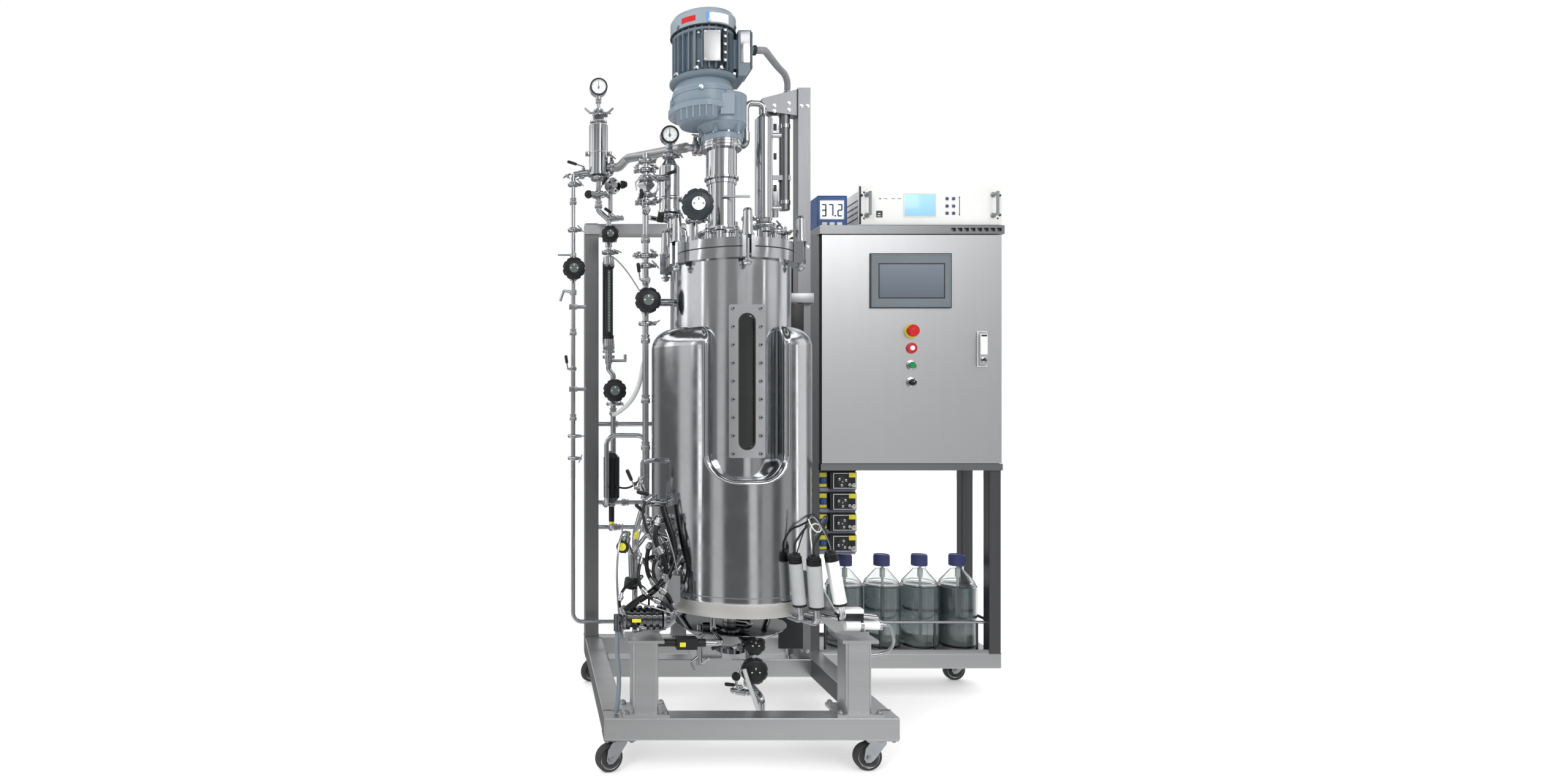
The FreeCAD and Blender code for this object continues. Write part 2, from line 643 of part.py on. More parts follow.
def lid_clamps():
    """Six swing bolts: a lug over both flanges, the bolt and its tall nut."""
    clamps = []
    for heading in range(30, 360, 60):
        lug = block(("vessel_flange_r", "vessel_flange_r + 26"), (-17, 17), ("body_flange_low - 4", "lid_high"))
        slot = block(("vessel_flange_r + 6", "vessel_flange_r + 26"), (-7.5, 7.5),
                     ("body_flange_low - 4", "lid_high"))
        bolt = rod(7, ("vessel_flange_r + 14", "0", "body_flange_low - 14"), "62")
        pin = rod(5, ("vessel_flange_r + 14", "-17", "body_flange_low + 4"), 34, "y")
        nut = cone(15, 12, ("vessel_flange_r + 14", "0", "lid_high"), 66)
        clamp = fuse([cut(lug, [slot]), bolt, pin, nut])
        clamp.Placement = Placement(Vector(), Rotation(Vector(0, 0, 1), heading))
        bind_base(clamp, ("vessel_x", "vessel_y", "0"))
        clamps.append(clamp)
    place(group(clamps), "lid_clamps")


def sight_glass():
    """A flat bolted plate on a boss that follows the vessel's wall, with a long round-ended glass."""
    face = "vessel_y - vessel_r - 24"
    pad = round_edges(block(("vessel_x - glass_half", "vessel_x + glass_half"), (face, f"{face} + 14"),
                            ("glass_low", "glass_high")), 6, along(AXES["y"]))
    boss = block(("vessel_x - glass_half + 8", "vessel_x + glass_half - 8"), (f"{face} + 14", f"{face} + 50"),
                 ("glass_low + 8", "glass_high - 8"))
    wall = rod("vessel_r", ("vessel_x", "vessel_y", "glass_low"), "glass_high - glass_low")
    slot = plate(obround("0", "window_r", "window_low", "window_high"), 60, ("vessel_x", face, "0"))
    place(group([cut(fuse([pad, boss]), [wall, slot])]), "sight_glass_frame")
    glass = plate(obround("0", "window_r", "window_low", "window_high"), 12, ("vessel_x", f"{face} + 5", "0"))
    place(group([glass]), "sight_glass")


# ---------------------------------------------------------------- drive

def drive_lantern():
    place(turned([
        ("shaft_r + fit", "lantern_low"), (62, "lantern_low"), (62, "lantern_low + 12"),
        (40, "lantern_low + 12"),
        (40, "lantern_step"), (45, "lantern_step"), (45, "lantern_high - 24"), (58, "lantern_high - 24"),
        (58, "lantern_high"), (30, "lantern_high"), (30, "lantern_low + 20"),
        ("shaft_r + fit", "lantern_low + 20")]),
        "drive_lantern", ("drive_x", "drive_y", "0"))


def gearbox():
    """An offset helical gearbox: the output stage under the motor's bell, one casting."""
    x, y = "drive_x", "drive_y"
    pieces = [
        rod(60, (x, y, "lantern_high"), 16),
        cone(48, 72, (x, y, "lantern_high + 16"), 30),
        rod(73, (x, y, "lantern_high + 46"), 84),
        cone(66, 90, ("motor_x", y, "lantern_high + 50"), 34),
        rod(90, ("motor_x", y, "lantern_high + 84"), 58),
        cone(90, 82, ("motor_x", y, "lantern_high + 142"), 26),
        block((f"{x} - 20", f"{x} + 20"), (f"{y} - 80", f"{y} - 40"),
              ("lantern_high + 60", "lantern_high + 120")),
        rod(15, ("motor_x - 96", y, "lantern_high + 112"), 20, "x"),
    ]
    for turn in range(0, 360, 60):
        rib = block((40, 71), (-4, 4), ("lantern_high + 16", "lantern_high + 50"))
        rib.Placement = Placement(Vector(), Rotation(Vector(0, 0, 1), turn))
        bind_base(rib, (f"{x} + 40 * cos({turn})", f"{y} + 40 * sin({turn})", "lantern_high + 16"))
        rib.setExpression("Length", "28")
        pieces.append(rib)
    bore = rod("shaft_r + fit", (x, y, "lantern_high"), 70)
    place(group([cut(fuse(pieces), [bore])]), "gearbox")


def motor_housing():
    """The finned barrel: one fin is padded and patterned round the motor's axis."""
    motor = body()
    tall = "motor_high - gear_high"
    barrel = outline(motor, "XZ_Plane", [
        (0, 0), (82, 0), (82, 14), ("motor_r", 22), ("motor_r", f"{tall} - 10"), (93, f"{tall} - 10"),
        (93, tall),
        ("10 + fit", tall), ("10 + fit", f"{tall} - 40"), (0, f"{tall} - 40")])
    shell = motor.newObject("PartDesign::Revolution", "barrel")
    shell.Profile = barrel
    shell.ReferenceAxis = (barrel, ["V_Axis"])
    shell.Angle = 360
    doc.recompute()
    fin = motor.newObject("PartDesign::Pad", "fin")
    fin.Profile = outline(motor, "XZ_Plane", rectangle(("motor_r - 2", "motor_r + 14"), (22, f"{tall} - 10")))
    fin.Length = 3.2
    fin.Midplane = True
    fins = motor.newObject("PartDesign::PolarPattern", "fins")
    fins.Originals = [fin]
    fins.Axis = (barrel, ["V_Axis"])
    fins.Angle = 360
    fins.Occurrences = 28
    motor.Tip = fins
    place(motor, "motor_housing", ("motor_x", "drive_y", "gear_high"))


def fan_cowl():
    """A pressed steel cowl, open below, with a ring of slots in its crown."""
    low, high, thin = "motor_high - 14", "cowl_high", "cowl_sheet"
    cup = turned([
        (f"cowl_r - {thin}", low), ("cowl_r", low), ("cowl_r", f"{high} - 16", -16), ("cowl_r - 16", high),
        (0, high), (0, f"{high} - {thin}"), ("cowl_r - 16", f"{high} - {thin}", 14),
        (f"cowl_r - {thin}", f"{high} - 16")],
        ("motor_x", "drive_y", "0"))
    slots = []
    for turn in range(0, 360, 30):
        slot = block((26, 68), (-4, 4), (f"{high} - 5", f"{high} + 2"))
        slot.Placement = Placement(Vector(), Rotation(Vector(0, 0, 1), turn))
        bind_base(slot, (f"motor_x + 26 * cos({turn}) + 4 * sin({turn})",
                         f"drive_y + 26 * sin({turn}) - 4 * cos({turn})",
                         f"{high} - 5"))
        slots.append(slot)
    place(group([cut(cup, slots)]), "fan_cowl")


def terminal_box():
    left = "motor_x + 92"
    side, right = "drive_y - 55", "motor_x + 128"
    case = plate([(left, 2071), (right, 2071), (right, 1957), ("motor_x + 114", 1939), (left, 1939)], 110,
                 ("0", side, "0"))
    cover = block((right, f"{right} + 6"), (f"{side} + 4", f"{side} + 106"), (1961, 2067))
    neck = block(("motor_x + 70", left), ("drive_y - 38", "drive_y + 38"), (1965, 2050))
    gland = rod(13, (f"{right} + 6", "drive_y", 2035), 20, "x")
    barrel = rod("motor_r + 14.3", ("motor_x", "drive_y", 1950), 150)
    cowl = rod("cowl_r + 0.3", ("motor_x", "drive_y", "motor_high - 15"), 60)
    place(group([cut(fuse([case, cover, neck, gland]), [barrel, cowl])]), "terminal_box")


def agitator():
    """The shaft and its three disc turbines; one blade is padded and patterned on each disc."""
    place(group([fuse([rod("shaft_r", ("drive_x", "drive_y", 452), "lantern_high + 60 - 452")]
                      + [turbine(height) for height in (500, 760, 1020)])]), "agitator")


def turbine(height):
    disc = body(("drive_x", "drive_y", height))
    profile = outline(disc, "XZ_Plane", [
        ("shaft_r - 1", -14), (24, -14), (24, -2), (46, -2), (46, 2), (24, 2), (24, 14), ("shaft_r - 1", 14)])
    hub = disc.newObject("PartDesign::Revolution", "hub")
    hub.Profile = profile
    hub.ReferenceAxis = (profile, ["V_Axis"])
    hub.Angle = 360
    doc.recompute()
    blade = disc.newObject("PartDesign::Pad", "blade")
    blade.Profile = outline(disc, "XZ_Plane", rectangle((36, 64), (-13, 13)))
    blade.Length = 2.5
    blade.Midplane = True
    blades = disc.newObject("PartDesign::PolarPattern", "blades")
    blades.Originals = [blade]
    blades.Axis = (profile, ["V_Axis"])
    blades.Angle = 360
    blades.Occurrences = 6
    disc.Tip = blades
    return disc


def motor_fan():
    fan = body()
    profile = outline(fan, "XZ_Plane", [
        (0, -36), (10, -36), (10, 6), (18, 6), (18, 9), (60, 9), (60, 12), (18, 12), (18, 34), (0, 34)])
    rotor = fan.newObject("PartDesign::Revolution", "rotor")
    rotor.Profile = profile
    rotor.ReferenceAxis = (profile, ["V_Axis"])
    rotor.Angle = 360
    doc.recompute()
    blade = fan.newObject("PartDesign::Pad", "blade")
    blade.Profile = outline(fan, "XZ_Plane", rectangle((16, 74), (9, 38)))
    blade.Length = 2.5
    blade.Midplane = True
    blades = fan.newObject("PartDesign::PolarPattern", "blades")
    blades.Originals = [blade]
    blades.Axis = (profile, ["V_Axis"])
    blades.Angle = 360
    blades.Occurrences = 7
    fan.Tip = blades
    place(fan, "motor_fan", ("motor_x", "drive_y", "motor_high"))


# ---------------------------------------------------------------- mast, condenser, filters and gauges

def mast():
    """A folded channel on the cross beam, with its head arm, hanger tube and drilled strip."""
    left, right, front = "mast_left", "mast_right", "cross_front"
    back = "cross_front + skid_tube - 4"
    channel = plate([(left, front), (right, front), (right, back), (f"{right} - 4", back),
                     (f"{right} - 4", f"{front} + 4"),
                     (f"{left} + 4", f"{front} + 4"), (f"{left} + 4", back), (left, back)],
                    "mast_high - deck_low - skid_tube", ("0", "0", "deck_low + skid_tube"), "XY_Plane")
    arm = plate([(left, "mast_high - 88"), (left, "mast_high - 2"), (f"{left} - 116", "mast_high - 32"),
                 (f"{left} - 116", "mast_high - 72")], 40, ("0", f"{front} + 8", "0"))
    hanger = rod(17, (f"{left} - 37", f"{front} + 28", "mast_high - 394"), 320)
    strip = block((f"{left} - 92", f"{left} - 62"), (f"{front} + 26", f"{front} + 30"),
                  ("mast_high - 374", "mast_high - 60"))
    drops = range(350, 90, -26)
    holes = [rod(4, (f"{left} - 77", f"{front} + 26", f"mast_high - {drop}"), 4, "y") for drop in drops]
    bracket = block((f"{left} - 92", f"{left} - 20"), (f"{front} + 14", f"{front} + 42"),
                    ("mast_high - 298", "mast_high - 282"))
    gland = rod(11, (f"{left} - 30", f"{front} + 22", "mast_high - 30"), 26)
    place(group([fuse([channel, arm, hanger, cut(strip, holes), bracket, gland])]), "mast")


def condenser():
    x, y = "vessel_x + 116", "vessel_y + 64"
    place(group([fuse([
        rod(20, (x, y, 1518), 14),
        cone(20, 26, (x, y, 1532), 16),
        rod(26, (x, y, 1548), 300),
        cone(26, 10, (x, y, 1848), 16),
        rod(7, (f"{x} + 20", y, 1580), 32, "x"),
        rod(7, (f"{x} + 20", y, 1800), 32, "x"),
        pipe([(x, y, 1860), (x, y, 1895), (f"{x} - 56", f"{y} - 10", 1895), (f"{x} - 56", f"{y} - 10", 1806)],
             9, 20),
    ])]), "condenser")


FILTERS = {
    # centre, foot, radius, height
    "exhaust": (("filter_x", "line_y"), 1790, 33, 205),
    "inlet": (("vessel_x - 162", "vessel_y + 112"), 1574, 31, 170),
}


def filter_housings():
    shells = []
    for (x, y), foot, radius, tall in FILTERS.values():
        shells.append(turned([
            (0, foot - 16), (12, foot - 16), (12, foot), (radius + 4, foot), (radius + 4, foot + 8),
            (radius, foot + 8),
            (radius, foot + tall - 30), (radius * 0.4, foot + tall), (12, foot + tall), (12, foot + tall + 14),
            (0, foot + tall + 14)], (x, y, "0")))
    shells[0] = fuse([shells[0], rod(15, ("filter_x", "line_y", 1820), 46, "x")])
    place(group(shells), "filter_housings")


GAUGES = {
    # centre of the dial, radius, foot of the stem
    "exhaust": (("filter_x", "line_y", 2100), 31, 2009),
    "inlet": (("vessel_x - 162", "vessel_y + 112", 1814), 28, 1758),
}


def gauges():
    """Round cases with a sunk dial; each needle turns on a pivot in its own bore."""
    cases = []
    for name, ((x, y, z), radius, stem_foot) in GAUGES.items():
        case = fuse([
            rod(radius, (x, f"{y} - 14", z), 26, "y"),
            rod(6, (x, y, stem_foot), z - radius + 4 - stem_foot),
            rod(10, (x, y, z - radius - 12), 14),
        ])
        recess = rod(radius - 4, (x, f"{y} - 14", z), 8, "y")
        cases.append(cut(case, [recess, rod("1.5 + fit", (x, f"{y} - 6", z), 6, "y")]))
        pointer = plate([(-2, -7), (2, -7), (0.7, radius * 0.7), (-0.7, radius * 0.7)], 1, (x, f"{y} - 8.5", z))
        hub = rod(4, (x, f"{y} - 9.5", z), 3, "y")
        pivot = rod(1.5, (x, f"{y} - 7", z), 6, "y")
        place(group([fuse([pointer, hub, pivot])]), f"gauge_needle_{name}")
    place(group(cases), "gauge_cases")


# ---------------------------------------------------------------- piping

VALVES = {
    # handwheel, centre of the body, run of the body, knob radius
    "steam_handwheel": (("far_pipe_x", "line_y", 1456), "z", 39),
    "air_handwheel": (("meter_x", "line_y", 1575), "z", 30),
    "water_handwheel": (("meter_x + 16", "line_y", 1034), "z", 40),
    "sparge_handwheel": (("neck_pipe_x", "neck_pipe_y", 1290), "z", 38),
    "lid_handwheel": (("vessel_x - 121", "vessel_y - 70", 1546), "z", 45),
    "sample_handwheel": (("vessel_x + 50", "vessel_y - 26", 298), "z", 31),
    "drain_handwheel": (("vessel_x + 50", "vessel_y - 26", 222), "z", 38),
}


def valves():
    bodies = []
    for name, ((x, y, z), way, radius) in VALVES.items():
        bodies.append(valve_body((x, y, z), way))
        handwheel(name, (x, f"{y} - 44", z), radius)
    side_port = rod(11, ("neck_pipe_x + 8", "neck_pipe_y", 1290), "vessel_x - vessel_r - neck_pipe_x - 2", "x")
    vessel_wall = rod("vessel_r", ("vessel_x", "vessel_y", 1260), 60)
    bodies[3] = fuse([bodies[3], cut(side_port, [vessel_wall])])
    place(group(bodies), "valve_bodies")


def process_pipes():
    line, rail = "line_y", 820
    deck, beam = "deck_low + skid_tube", "skid_back - skid_tube / 2"
    across = ("skid_left + pipe_post", "pipe_frame_right - pipe_post")
    far, meter, neck_x, neck_y = "far_pipe_x", "meter_x", "neck_pipe_x", "neck_pipe_y"
    above = lambda z: z + 34
    under = lambda z: z - 34
    under_sample = above(298)
    exhaust = pipe([("filter_x", line, 1774), ("filter_x", line, 1668), (meter, line, 1636),
                    (meter, line, above(1575))], 9, 16)
    arm = fuse([
        pipe([("filter_x + 46", line, 1820), ("filter_x + 72", line, 1820),
              ("filter_x + 100", f"{line} - 14", 1848),
              (478, 360, 1772)], 15, 20),
        pipe([(472, 374, 1775), (490, "drive_y + 74", 1768), ("vessel_x + 20", "drive_y + 74", 1768),
              ("vessel_x + 60", "vessel_y + 54", 1768),
              ("vessel_x + 60", "vessel_y + 54", 1806)], 11, 14),
    ])
    inlet_x, inlet_y = "vessel_x - 162", "vessel_y + 112"
    drain_x, drain_y = "vessel_x + 50", "vessel_y - 26"
    hook = fuse([pipe([(far, line, 1380), (f"{far} - 34", f"{line} - 4", 1386),
                       (f"{far} - 46", f"{line} - 6", 1350)], 5, 8),
                 rod(12, (far, line, 1372), 16)])
    lever = fuse([rod(3, (f"{far} - 54", line, 1512), 54, "x"), rod(11, (far, line, 1506), 12)])
    pipes = [
        fuse([pipe([(far, line, above(1456)), (far, line, 1768)], 7.5), lever,
              rod(8.5, (far, line, 1767), 28)]),
        fuse([pipe([(far, line, under(1456)), (far, line, 222), (330, line, 222), (330, beam, 222),
                    (330, beam, deck)],
                   7.5, 30), hook]),
        exhaust,
        arm,
        pipe([(meter, line, under(1575)), (meter, line, 1502)], 9),
        pipe([(f"{meter} + 16", line, under(1034)), (f"{meter} + 16", line, 816)], 9),
        pipe([(neck_x, neck_y, above(1290)), (neck_x, neck_y, 1736)], 9),
        pipe([(neck_x, neck_y, under(1290)), (neck_x, neck_y, 700), (neck_x, 420, 640),
              (neck_x, "leg_back_y", 560),
              (neck_x, "leg_back_y", deck)], 9, 40),
        pipe([(inlet_x, inlet_y, 1558), (inlet_x, inlet_y, 1520), ("vessel_x - 118", "vessel_y + 92", 1520),
              ("vessel_x - 118", "vessel_y + 92", 1498)], 8, 10),
        pipe([(across[0], rail, 916), (across[1], rail, 916)], 8),
        fuse([
            pipe([(across[0], rail, 634), (across[1], rail, 634)], 8),
            pipe([(across[0], rail, 545), (across[1], rail, 545)], 8),
            pipe([(264, rail, 634), (264, 690, 634), (264, 690, 880), (400, 660, 880), (400, 660, 545),
                  (400, rail, 545)],
                 8, 36),
            pipe([(f"{meter} + 10", line, 575), (f"{meter} + 10", line, 545), (f"{meter} + 10", rail, 545)],
                 8, 20),
        ]),
        pipe([("vessel_x", "vessel_y", 372), ("vessel_x", "vessel_y", 348), (drain_x, drain_y, 348),
              (drain_x, drain_y, under_sample)], 11, 12),
        pipe([(drain_x, drain_y, 264), (drain_x, drain_y, 256)], 11),
        pipe([(drain_x, drain_y, 188), (drain_x, drain_y, 166), ("vessel_x + 68", "vessel_y - 86", 146),
              ("vessel_x + 68", "vessel_y - 86", 104)], 11, 18),
        pipe([(700, 300, 378), (760, 420, 330), (850, 500, 250), (850, "leg_back_y", 210),
              (850, "leg_back_y", deck)],
             9, 40),
        pipe([(480, 300, 378), (430, 400, 300), (400, 540, 240), (400, beam, 240), (400, beam, deck)], 9, 40),
        pipe([(640, 420, 394), (640, 480, 300), (700, 560, 220), (700, beam, 220), (700, beam, deck)], 9, 40),
        pipe([(476, 60, 337), (520, 60, 337), (520, 170, 337), (520, 170, 384)], 9, 20),
    ]
    place(group(pipes), "process_pipes")


def tri_clamps():
    neck = [(("neck_pipe_x", "neck_pipe_y", z), "z", 19, 9) for z in (1713, 1662, 1612, 1400, 1227)]
    far = [(("far_pipe_x", "line_y", z), "z", 17, 7.5) for z in (1760, 1600, 875, 797)]
    at = neck + far + [
        (("filter_x", "line_y", 1781), "z", 25, 12),
        (("filter_x", "line_y", 2003), "z", 20, 12),
        (("filter_x + 46", "line_y", 1820), "x", 25, 15),
        (("meter_x", "line_y", 1521), "z", 22, 9),
        (("meter_x + 16", "line_y", 988), "z", 22, 9),
        (("vessel_x + 116", "vessel_y + 64", 1524), "z", 34, 20),
        (("vessel_x - 162", "vessel_y + 112", 1566), "z", 25, 12),
        (("vessel_x - 162", "vessel_y + 112", 1751), "z", 20, 12),
        (("vessel_x + 108", "vessel_y - 84", 1474), "z", 32, 22),
        (("vessel_x + 22", "vessel_y - 118", 1508), "z", 16, 8),
        (("vessel_x - 121", "vessel_y - 70", 1512), "z", 22, 12),
        (("vessel_x", "vessel_y", 366), "z", 30, 11),
        (("drive_x", "drive_y", 1489), "z", 68, 62),
        (("drive_x - 48", "drive_y + 74", 1768), "x", 22, 11),
        (("drive_x - 64", "drive_y + 74", 1768), "x", 22, 11),
    ]
    place(group([tri_clamp(*one) for one in at]), "tri_clamps")


def flow_meter():
    """A variable-area meter: end blocks, a back plate and the tapered tube between them."""
    x, y = "meter_x", "line_y"
    place(group([fuse([
        rod(19, (x, y, 1478), 24), rod(19, (x, y, 1190), 26), rod(15, (x, y, 1216), 262),
        block((f"{x} - 20", f"{x} - 12"), (f"{y} - 4", f"{y} + 16"), (1200, 1490)),
        rod(12, (x, y, 1130), 60), rod(21, (x, y, 1148), 10), rod(21, (x, y, 1168), 8),
        pipe([(x, y, 1130), (x, y, 1110), (f"{x} + 16", y, 1090), (f"{x} + 16", y, 1068)], 9, 12),
        rod(5, (x, y, 1140), 62, "x"), rod(5, (f"{x} + 58", y, 1140), 22),
    ])]), "flow_meter")


def solenoid_valves():
    """The steam trap on the water line, the ribbed valve actuator on the left leg and the coil beside it."""
    x, y = "meter_x + 10", "line_y"
    trap = fuse([rod(28, (x, y, 660), 140), cone(12, 28, (x, y, 640), 20), rod(10, (x, y, 575), 65),
                 cone(28, 14, (x, y, 800), 16)])
    leg_x, leg_y = "vessel_x - leg_reach_x", "vessel_y - leg_reach_y"
    actuator = [rod(26, (f"{leg_x} - 52", leg_y, 408), 104, "x"), rod(10, (f"{leg_x} - 72", leg_y, 372), 44),
                rod(10, (f"{leg_x} - 72", leg_y, 408), 20, "x"),
                rod(16, (f"{leg_x} + 52", leg_y, 408), 18, "x")]
    actuator += [rod(32, (f"{leg_x} - 48 + {step}", leg_y, 408), 8, "x") for step in range(0, 100, 17)]
    leg_face = f"{leg_x} + leg_tube / 2"
    coil = fuse([
        block((396, 452), (44, 76), (322, 352)),
        rod(10, (leg_face, 60, 337), f"396 - ({leg_face})", "x"),
        rod(11, (452, 60, 337), 24, "x"),
    ])
    place(group([trap, cut(fuse(actuator), [gusset(LEGS["left"][0], LEGS["left"][2], 12.6)]), coil]),
          "solenoid_valves")


def slanted(radius, start, end):
    """A round bar between two spots."""
    foot, head = Vector(*[size(c) for c in start]), Vector(*[size(c) for c in end])
    bar = doc.addObject("Part::Feature", "bar")
    bar.Shape = Part.makeCylinder(radius, (head - foot).Length, foot, head - foot)
    return bar


PROBES = {
    # foot of the white sleeve, its top, radius
    "ph": ((728, 46, 440), (716, 44, 556), 18),
    "oxygen": ((770, 34, 436), (762, 32, 552), 20),
    "redox": ((830, 24, 448), (806, 22, 566), 18),
}


def sensor_probes():
    """Probes held upright in elbows that lead into the dished bottom; sleeve, cap and stem of each."""
    probes = []
    for (x, y, z), top, radius in PROBES.values():
        way = (Vector(*top) - Vector(x, y, z)).normalize()
        cap = Vector(*top) + way * 26
        low = Vector(x, y, z) - way * 40
        inward = Vector(size("vessel_x") - x, size("vessel_y") - y, 0).normalize()
        reach = math.hypot(size("vessel_x") - x, size("vessel_y") - y) - size("jacket_r") + 16
        probes.append(fuse([
            slanted(radius, (x, y, z), top), slanted(radius * 0.8, top, tuple(cap)),
            pipe([(x, y, z), tuple(low), tuple(low + inward * reach + Vector(0, 0, 4))], radius * 0.5, 14),
        ]))
    leg_y = "vessel_y - leg_reach_y - 12"
    level = fuse([rod(16, (846, leg_y, 391), 52, "x"), rod(13, (898, leg_y, 391), 44, "x")])
    probes.append(cut(level, [gusset(LEGS["right"][0], LEGS["right"][2], 12.6)]))
    place(group(probes), "sensor_probes")


def flexible_lines():
    """Hoses and leads that are held at both ends."""
    lines = [
        pipe([("motor_x + 154", "drive_y", 2035), (697, "drive_y", 2035), (735, 360, 2050), (790, 470, 2064),
              (830, 526, 2062), (845, 546, 2044), (846, 552, 2020)], 10),
        pipe([(293, 739.5, 955), (290, 700, 950), (300, 620, 960), (325, 520, 990), (343, 430, 1040),
              (346, 350, 1108),
              (346, 311, 1112)], 7),
        pipe([(236, 50, 371.5), (234, 48, 320), (240, 42, 262), (238, 34, 205), (231, 31, 158)], 6),
        pipe([(942, 38, 391), (968, 38, 391), (982, 44, 350), (976, 50, 322), (950, 52, 308), (912, 50, 306)],
             4.5),
        pipe([(713.3, 43.6, 582), (711, 43, 606), (740, 60, 640), (800, 150, 660), (860, 300, 640),
              (890, 420, 600),
              (896, 532, 590)], 3),
        pipe([(760.2, 31.6, 578), (759, 31, 604), (790, 50, 640), (840, 150, 668), (880, 300, 650),
              (900, 420, 575),
              (906, 531, 550)], 3),
    ]
    place(group(lines), "flexible_lines")


# ---------------------------------------------------------------- cabinet, door and controls

def cabinet_box():
    """The sheet-metal case, open to the door, with its folded drip cap and louvred front edge."""
    left, right, back = "skid_right", "cabinet_right", "skid_back"
    low, cap = "cabinet_low", "cabinet_high - 29"
    case = block((left, right), ("cabinet_front", back), (low, cap))
    room = block((f"{left} + sheet", f"{right} - sheet"), ("cabinet_front + sheet", f"{back} - sheet"),
                 (f"{low} + sheet", f"{cap} - sheet"))
    mouth = block((f"{left} + 14", f"{right} - 14"), ("cabinet_front", "cabinet_front + sheet"),
                  (f"{low} + 34", f"{cap} - 14"))
    sill = block((left, right), ("door_front", "cabinet_front"), (low, "door_low - 2"))
    drip = block((f"{left} - 4", f"{right} + 4"), ("door_front - 4", back), (cap, "cabinet_high"))
    louvres = [block((f"{right} - 176 + {step}", f"{right} - 160 + {step}"),
                     ("door_front - 4", "door_front + 8"),
                     (f"{cap} + 8", f"{cap} + 20")) for step in range(0, 170, 22)]
    pins = [rod("hinge_pin_r", ("hinge_x", "hinge_y", z), 16) for z in ("door_low - 8", "door_high - 8")]
    place(group([fuse([cut(case, [room, mouth]), sill, cut(drip, louvres)] + pins)]), "cabinet_box")


def control_gear():
    """The mounting plate with its rails, drive, controller, relays and terminals."""
    back = "skid_back - 12"
    left = "skid_right + 46"
    pieces = [block((left, "cabinet_right - 46"), (back, "skid_back - 9"),
                    ("cabinet_low + 46", "cabinet_high - 75"))]
    for z in (900, 1120, 1400):
        pieces.append(block((f"{left} + 20", "cabinet_right - 66"), (f"{back} - 8", back), (z, z + 35)))
    for x, wide, z, tall, deep in ((70, 140, 840, 200, 120), (240, 90, 1075, 120, 80), (345, 90, 1075, 120, 80),
                                   (90, 60, 1075, 120, 70), (80, 300, 1370, 90, 60), (400, 80, 1360, 110, 70),
                                   (260, 200, 860, 110, 55)):
        pieces.append(block((f"{left} + {x}", f"{left} + {x + wide}"), (f"{back} - 8 - {deep}", f"{back} - 8"),
                            (z, z + tall)))
    for x in (f"{left} + 12", "cabinet_right - 58"):
        pieces += [rod(6, (x, back, z), "10", "y") for z in (830, 1490)]
    place(group([fuse(pieces)]), "control_gear")


def cabinet_door():
    left, right, front, back = "door_left", "door_right", "door_front", "door_back"
    low, high = "door_low", "door_high"
    pan = cut(block((left, right), (front, back), (low, high)), [
        block((f"{left} + sheet", f"{right} - sheet"), (f"{front} + sheet", back),
              (f"{low} + sheet", f"{high} - sheet")),
        block(("screen_left + 11", "screen_right - 11"), (front, back),
              ("screen_low + 11", "screen_high - 11")),
        rod(8.3, ("lock_x", front, "lock_low + 18"), 10, "y"),
        rod("hinge_pin_r + fit", ("hinge_x", "hinge_y", low), f"{high} - {low}"),
    ] + [rod(11.3, ("button_x", front, f"stop_z - {step} * button_pitch"), 10, "y") for step in range(4)])
    plate_box = round_edges(block(("lock_x - 17", "lock_x + 17"), (f"{front} - 4", front),
                                  ("lock_low - 6", "lock_high + 6")),
                            6, along(AXES["y"]))
    escutcheon = cut(plate_box, [rod(8.3, ("lock_x", f"{front} - 4", "lock_low + 18"), 4, "y")])
    collars = []
    for step in range(4):
        spot = ("button_x", f"{front} - 5", f"stop_z - {step} * button_pitch")
        collars.append(cut(rod(15, spot, 5, "y"), [rod(11.3, spot, 5, "y")]))
    place(group([pan, escutcheon] + collars), "cabinet_door")


def touch_panel():
    bezel = round_edges(block(("screen_left", "screen_right"), ("door_front - 7", "door_front"),
                              ("screen_low", "screen_high")), 5, along(AXES["y"]))
    window = block(("screen_left + 26", "screen_right - 22"), ("door_front - 7", "door_front - 6"),
                   ("screen_low + 31", "screen_high - 33"))
    back = block(("screen_left + 12", "screen_right - 12"), ("door_front", "door_front + 40"),
                 ("screen_low + 12", "screen_high - 12"))
    place(group([fuse([cut(bezel, [window]), back])]), "touch_panel")


def door_handle():
    """The swing handle: a paddle over the escutcheon, with its spindle and cam behind the door."""
    paddle = round_edges(block(("lock_x - 14", "lock_x + 14"), ("door_front - 16", "door_front - 4.4"),
                               ("lock_low", "lock_high")), 9, along(AXES["y"]))
    spindle = rod(8, ("lock_x", "door_front - 5", "lock_low + 18"), 31, "y")
    cam = block(("lock_x - 10", "lock_x + 46"), ("door_front + 22", "door_front + 25"),
                ("lock_low + 8", "lock_low + 28"))
    place(group([fuse([paddle, spindle, cam])]), "door_handle")


def push_button(label, step, head_r, head_deep, proud):
    """A button's cap on its plunger, which slides in the collar."""
    z = f"stop_z - {step} * button_pitch"
    front = f"door_front - {proud}"
    head = cone(head_r - 3, head_r, ("button_x", front, z), 4, "y")
    rim = rod(head_r, ("button_x", f"{front} + 4", z), head_deep - 4, "y")
    plunger = rod(11, ("button_x", f"{front} + {head_deep}", z), f"{proud + 22 - head_deep}", "y")
    place(group([fuse([head, rim, plunger])]), label)


def key_switch():
    z = "stop_z - 3 * button_pitch"
    barrel = rod(11, ("button_x", "door_front - 9", z), 31, "y")
    lever = block(("button_x - 9", "button_x + 9"), ("door_front - 20", "door_front - 9"),
                  (f"{z} - 4", f"{z} + 4"))
    place(group([fuse([barrel, lever])]), "key_switch")


# ---------------------------------------------------------------- bottles, pumps and instruments

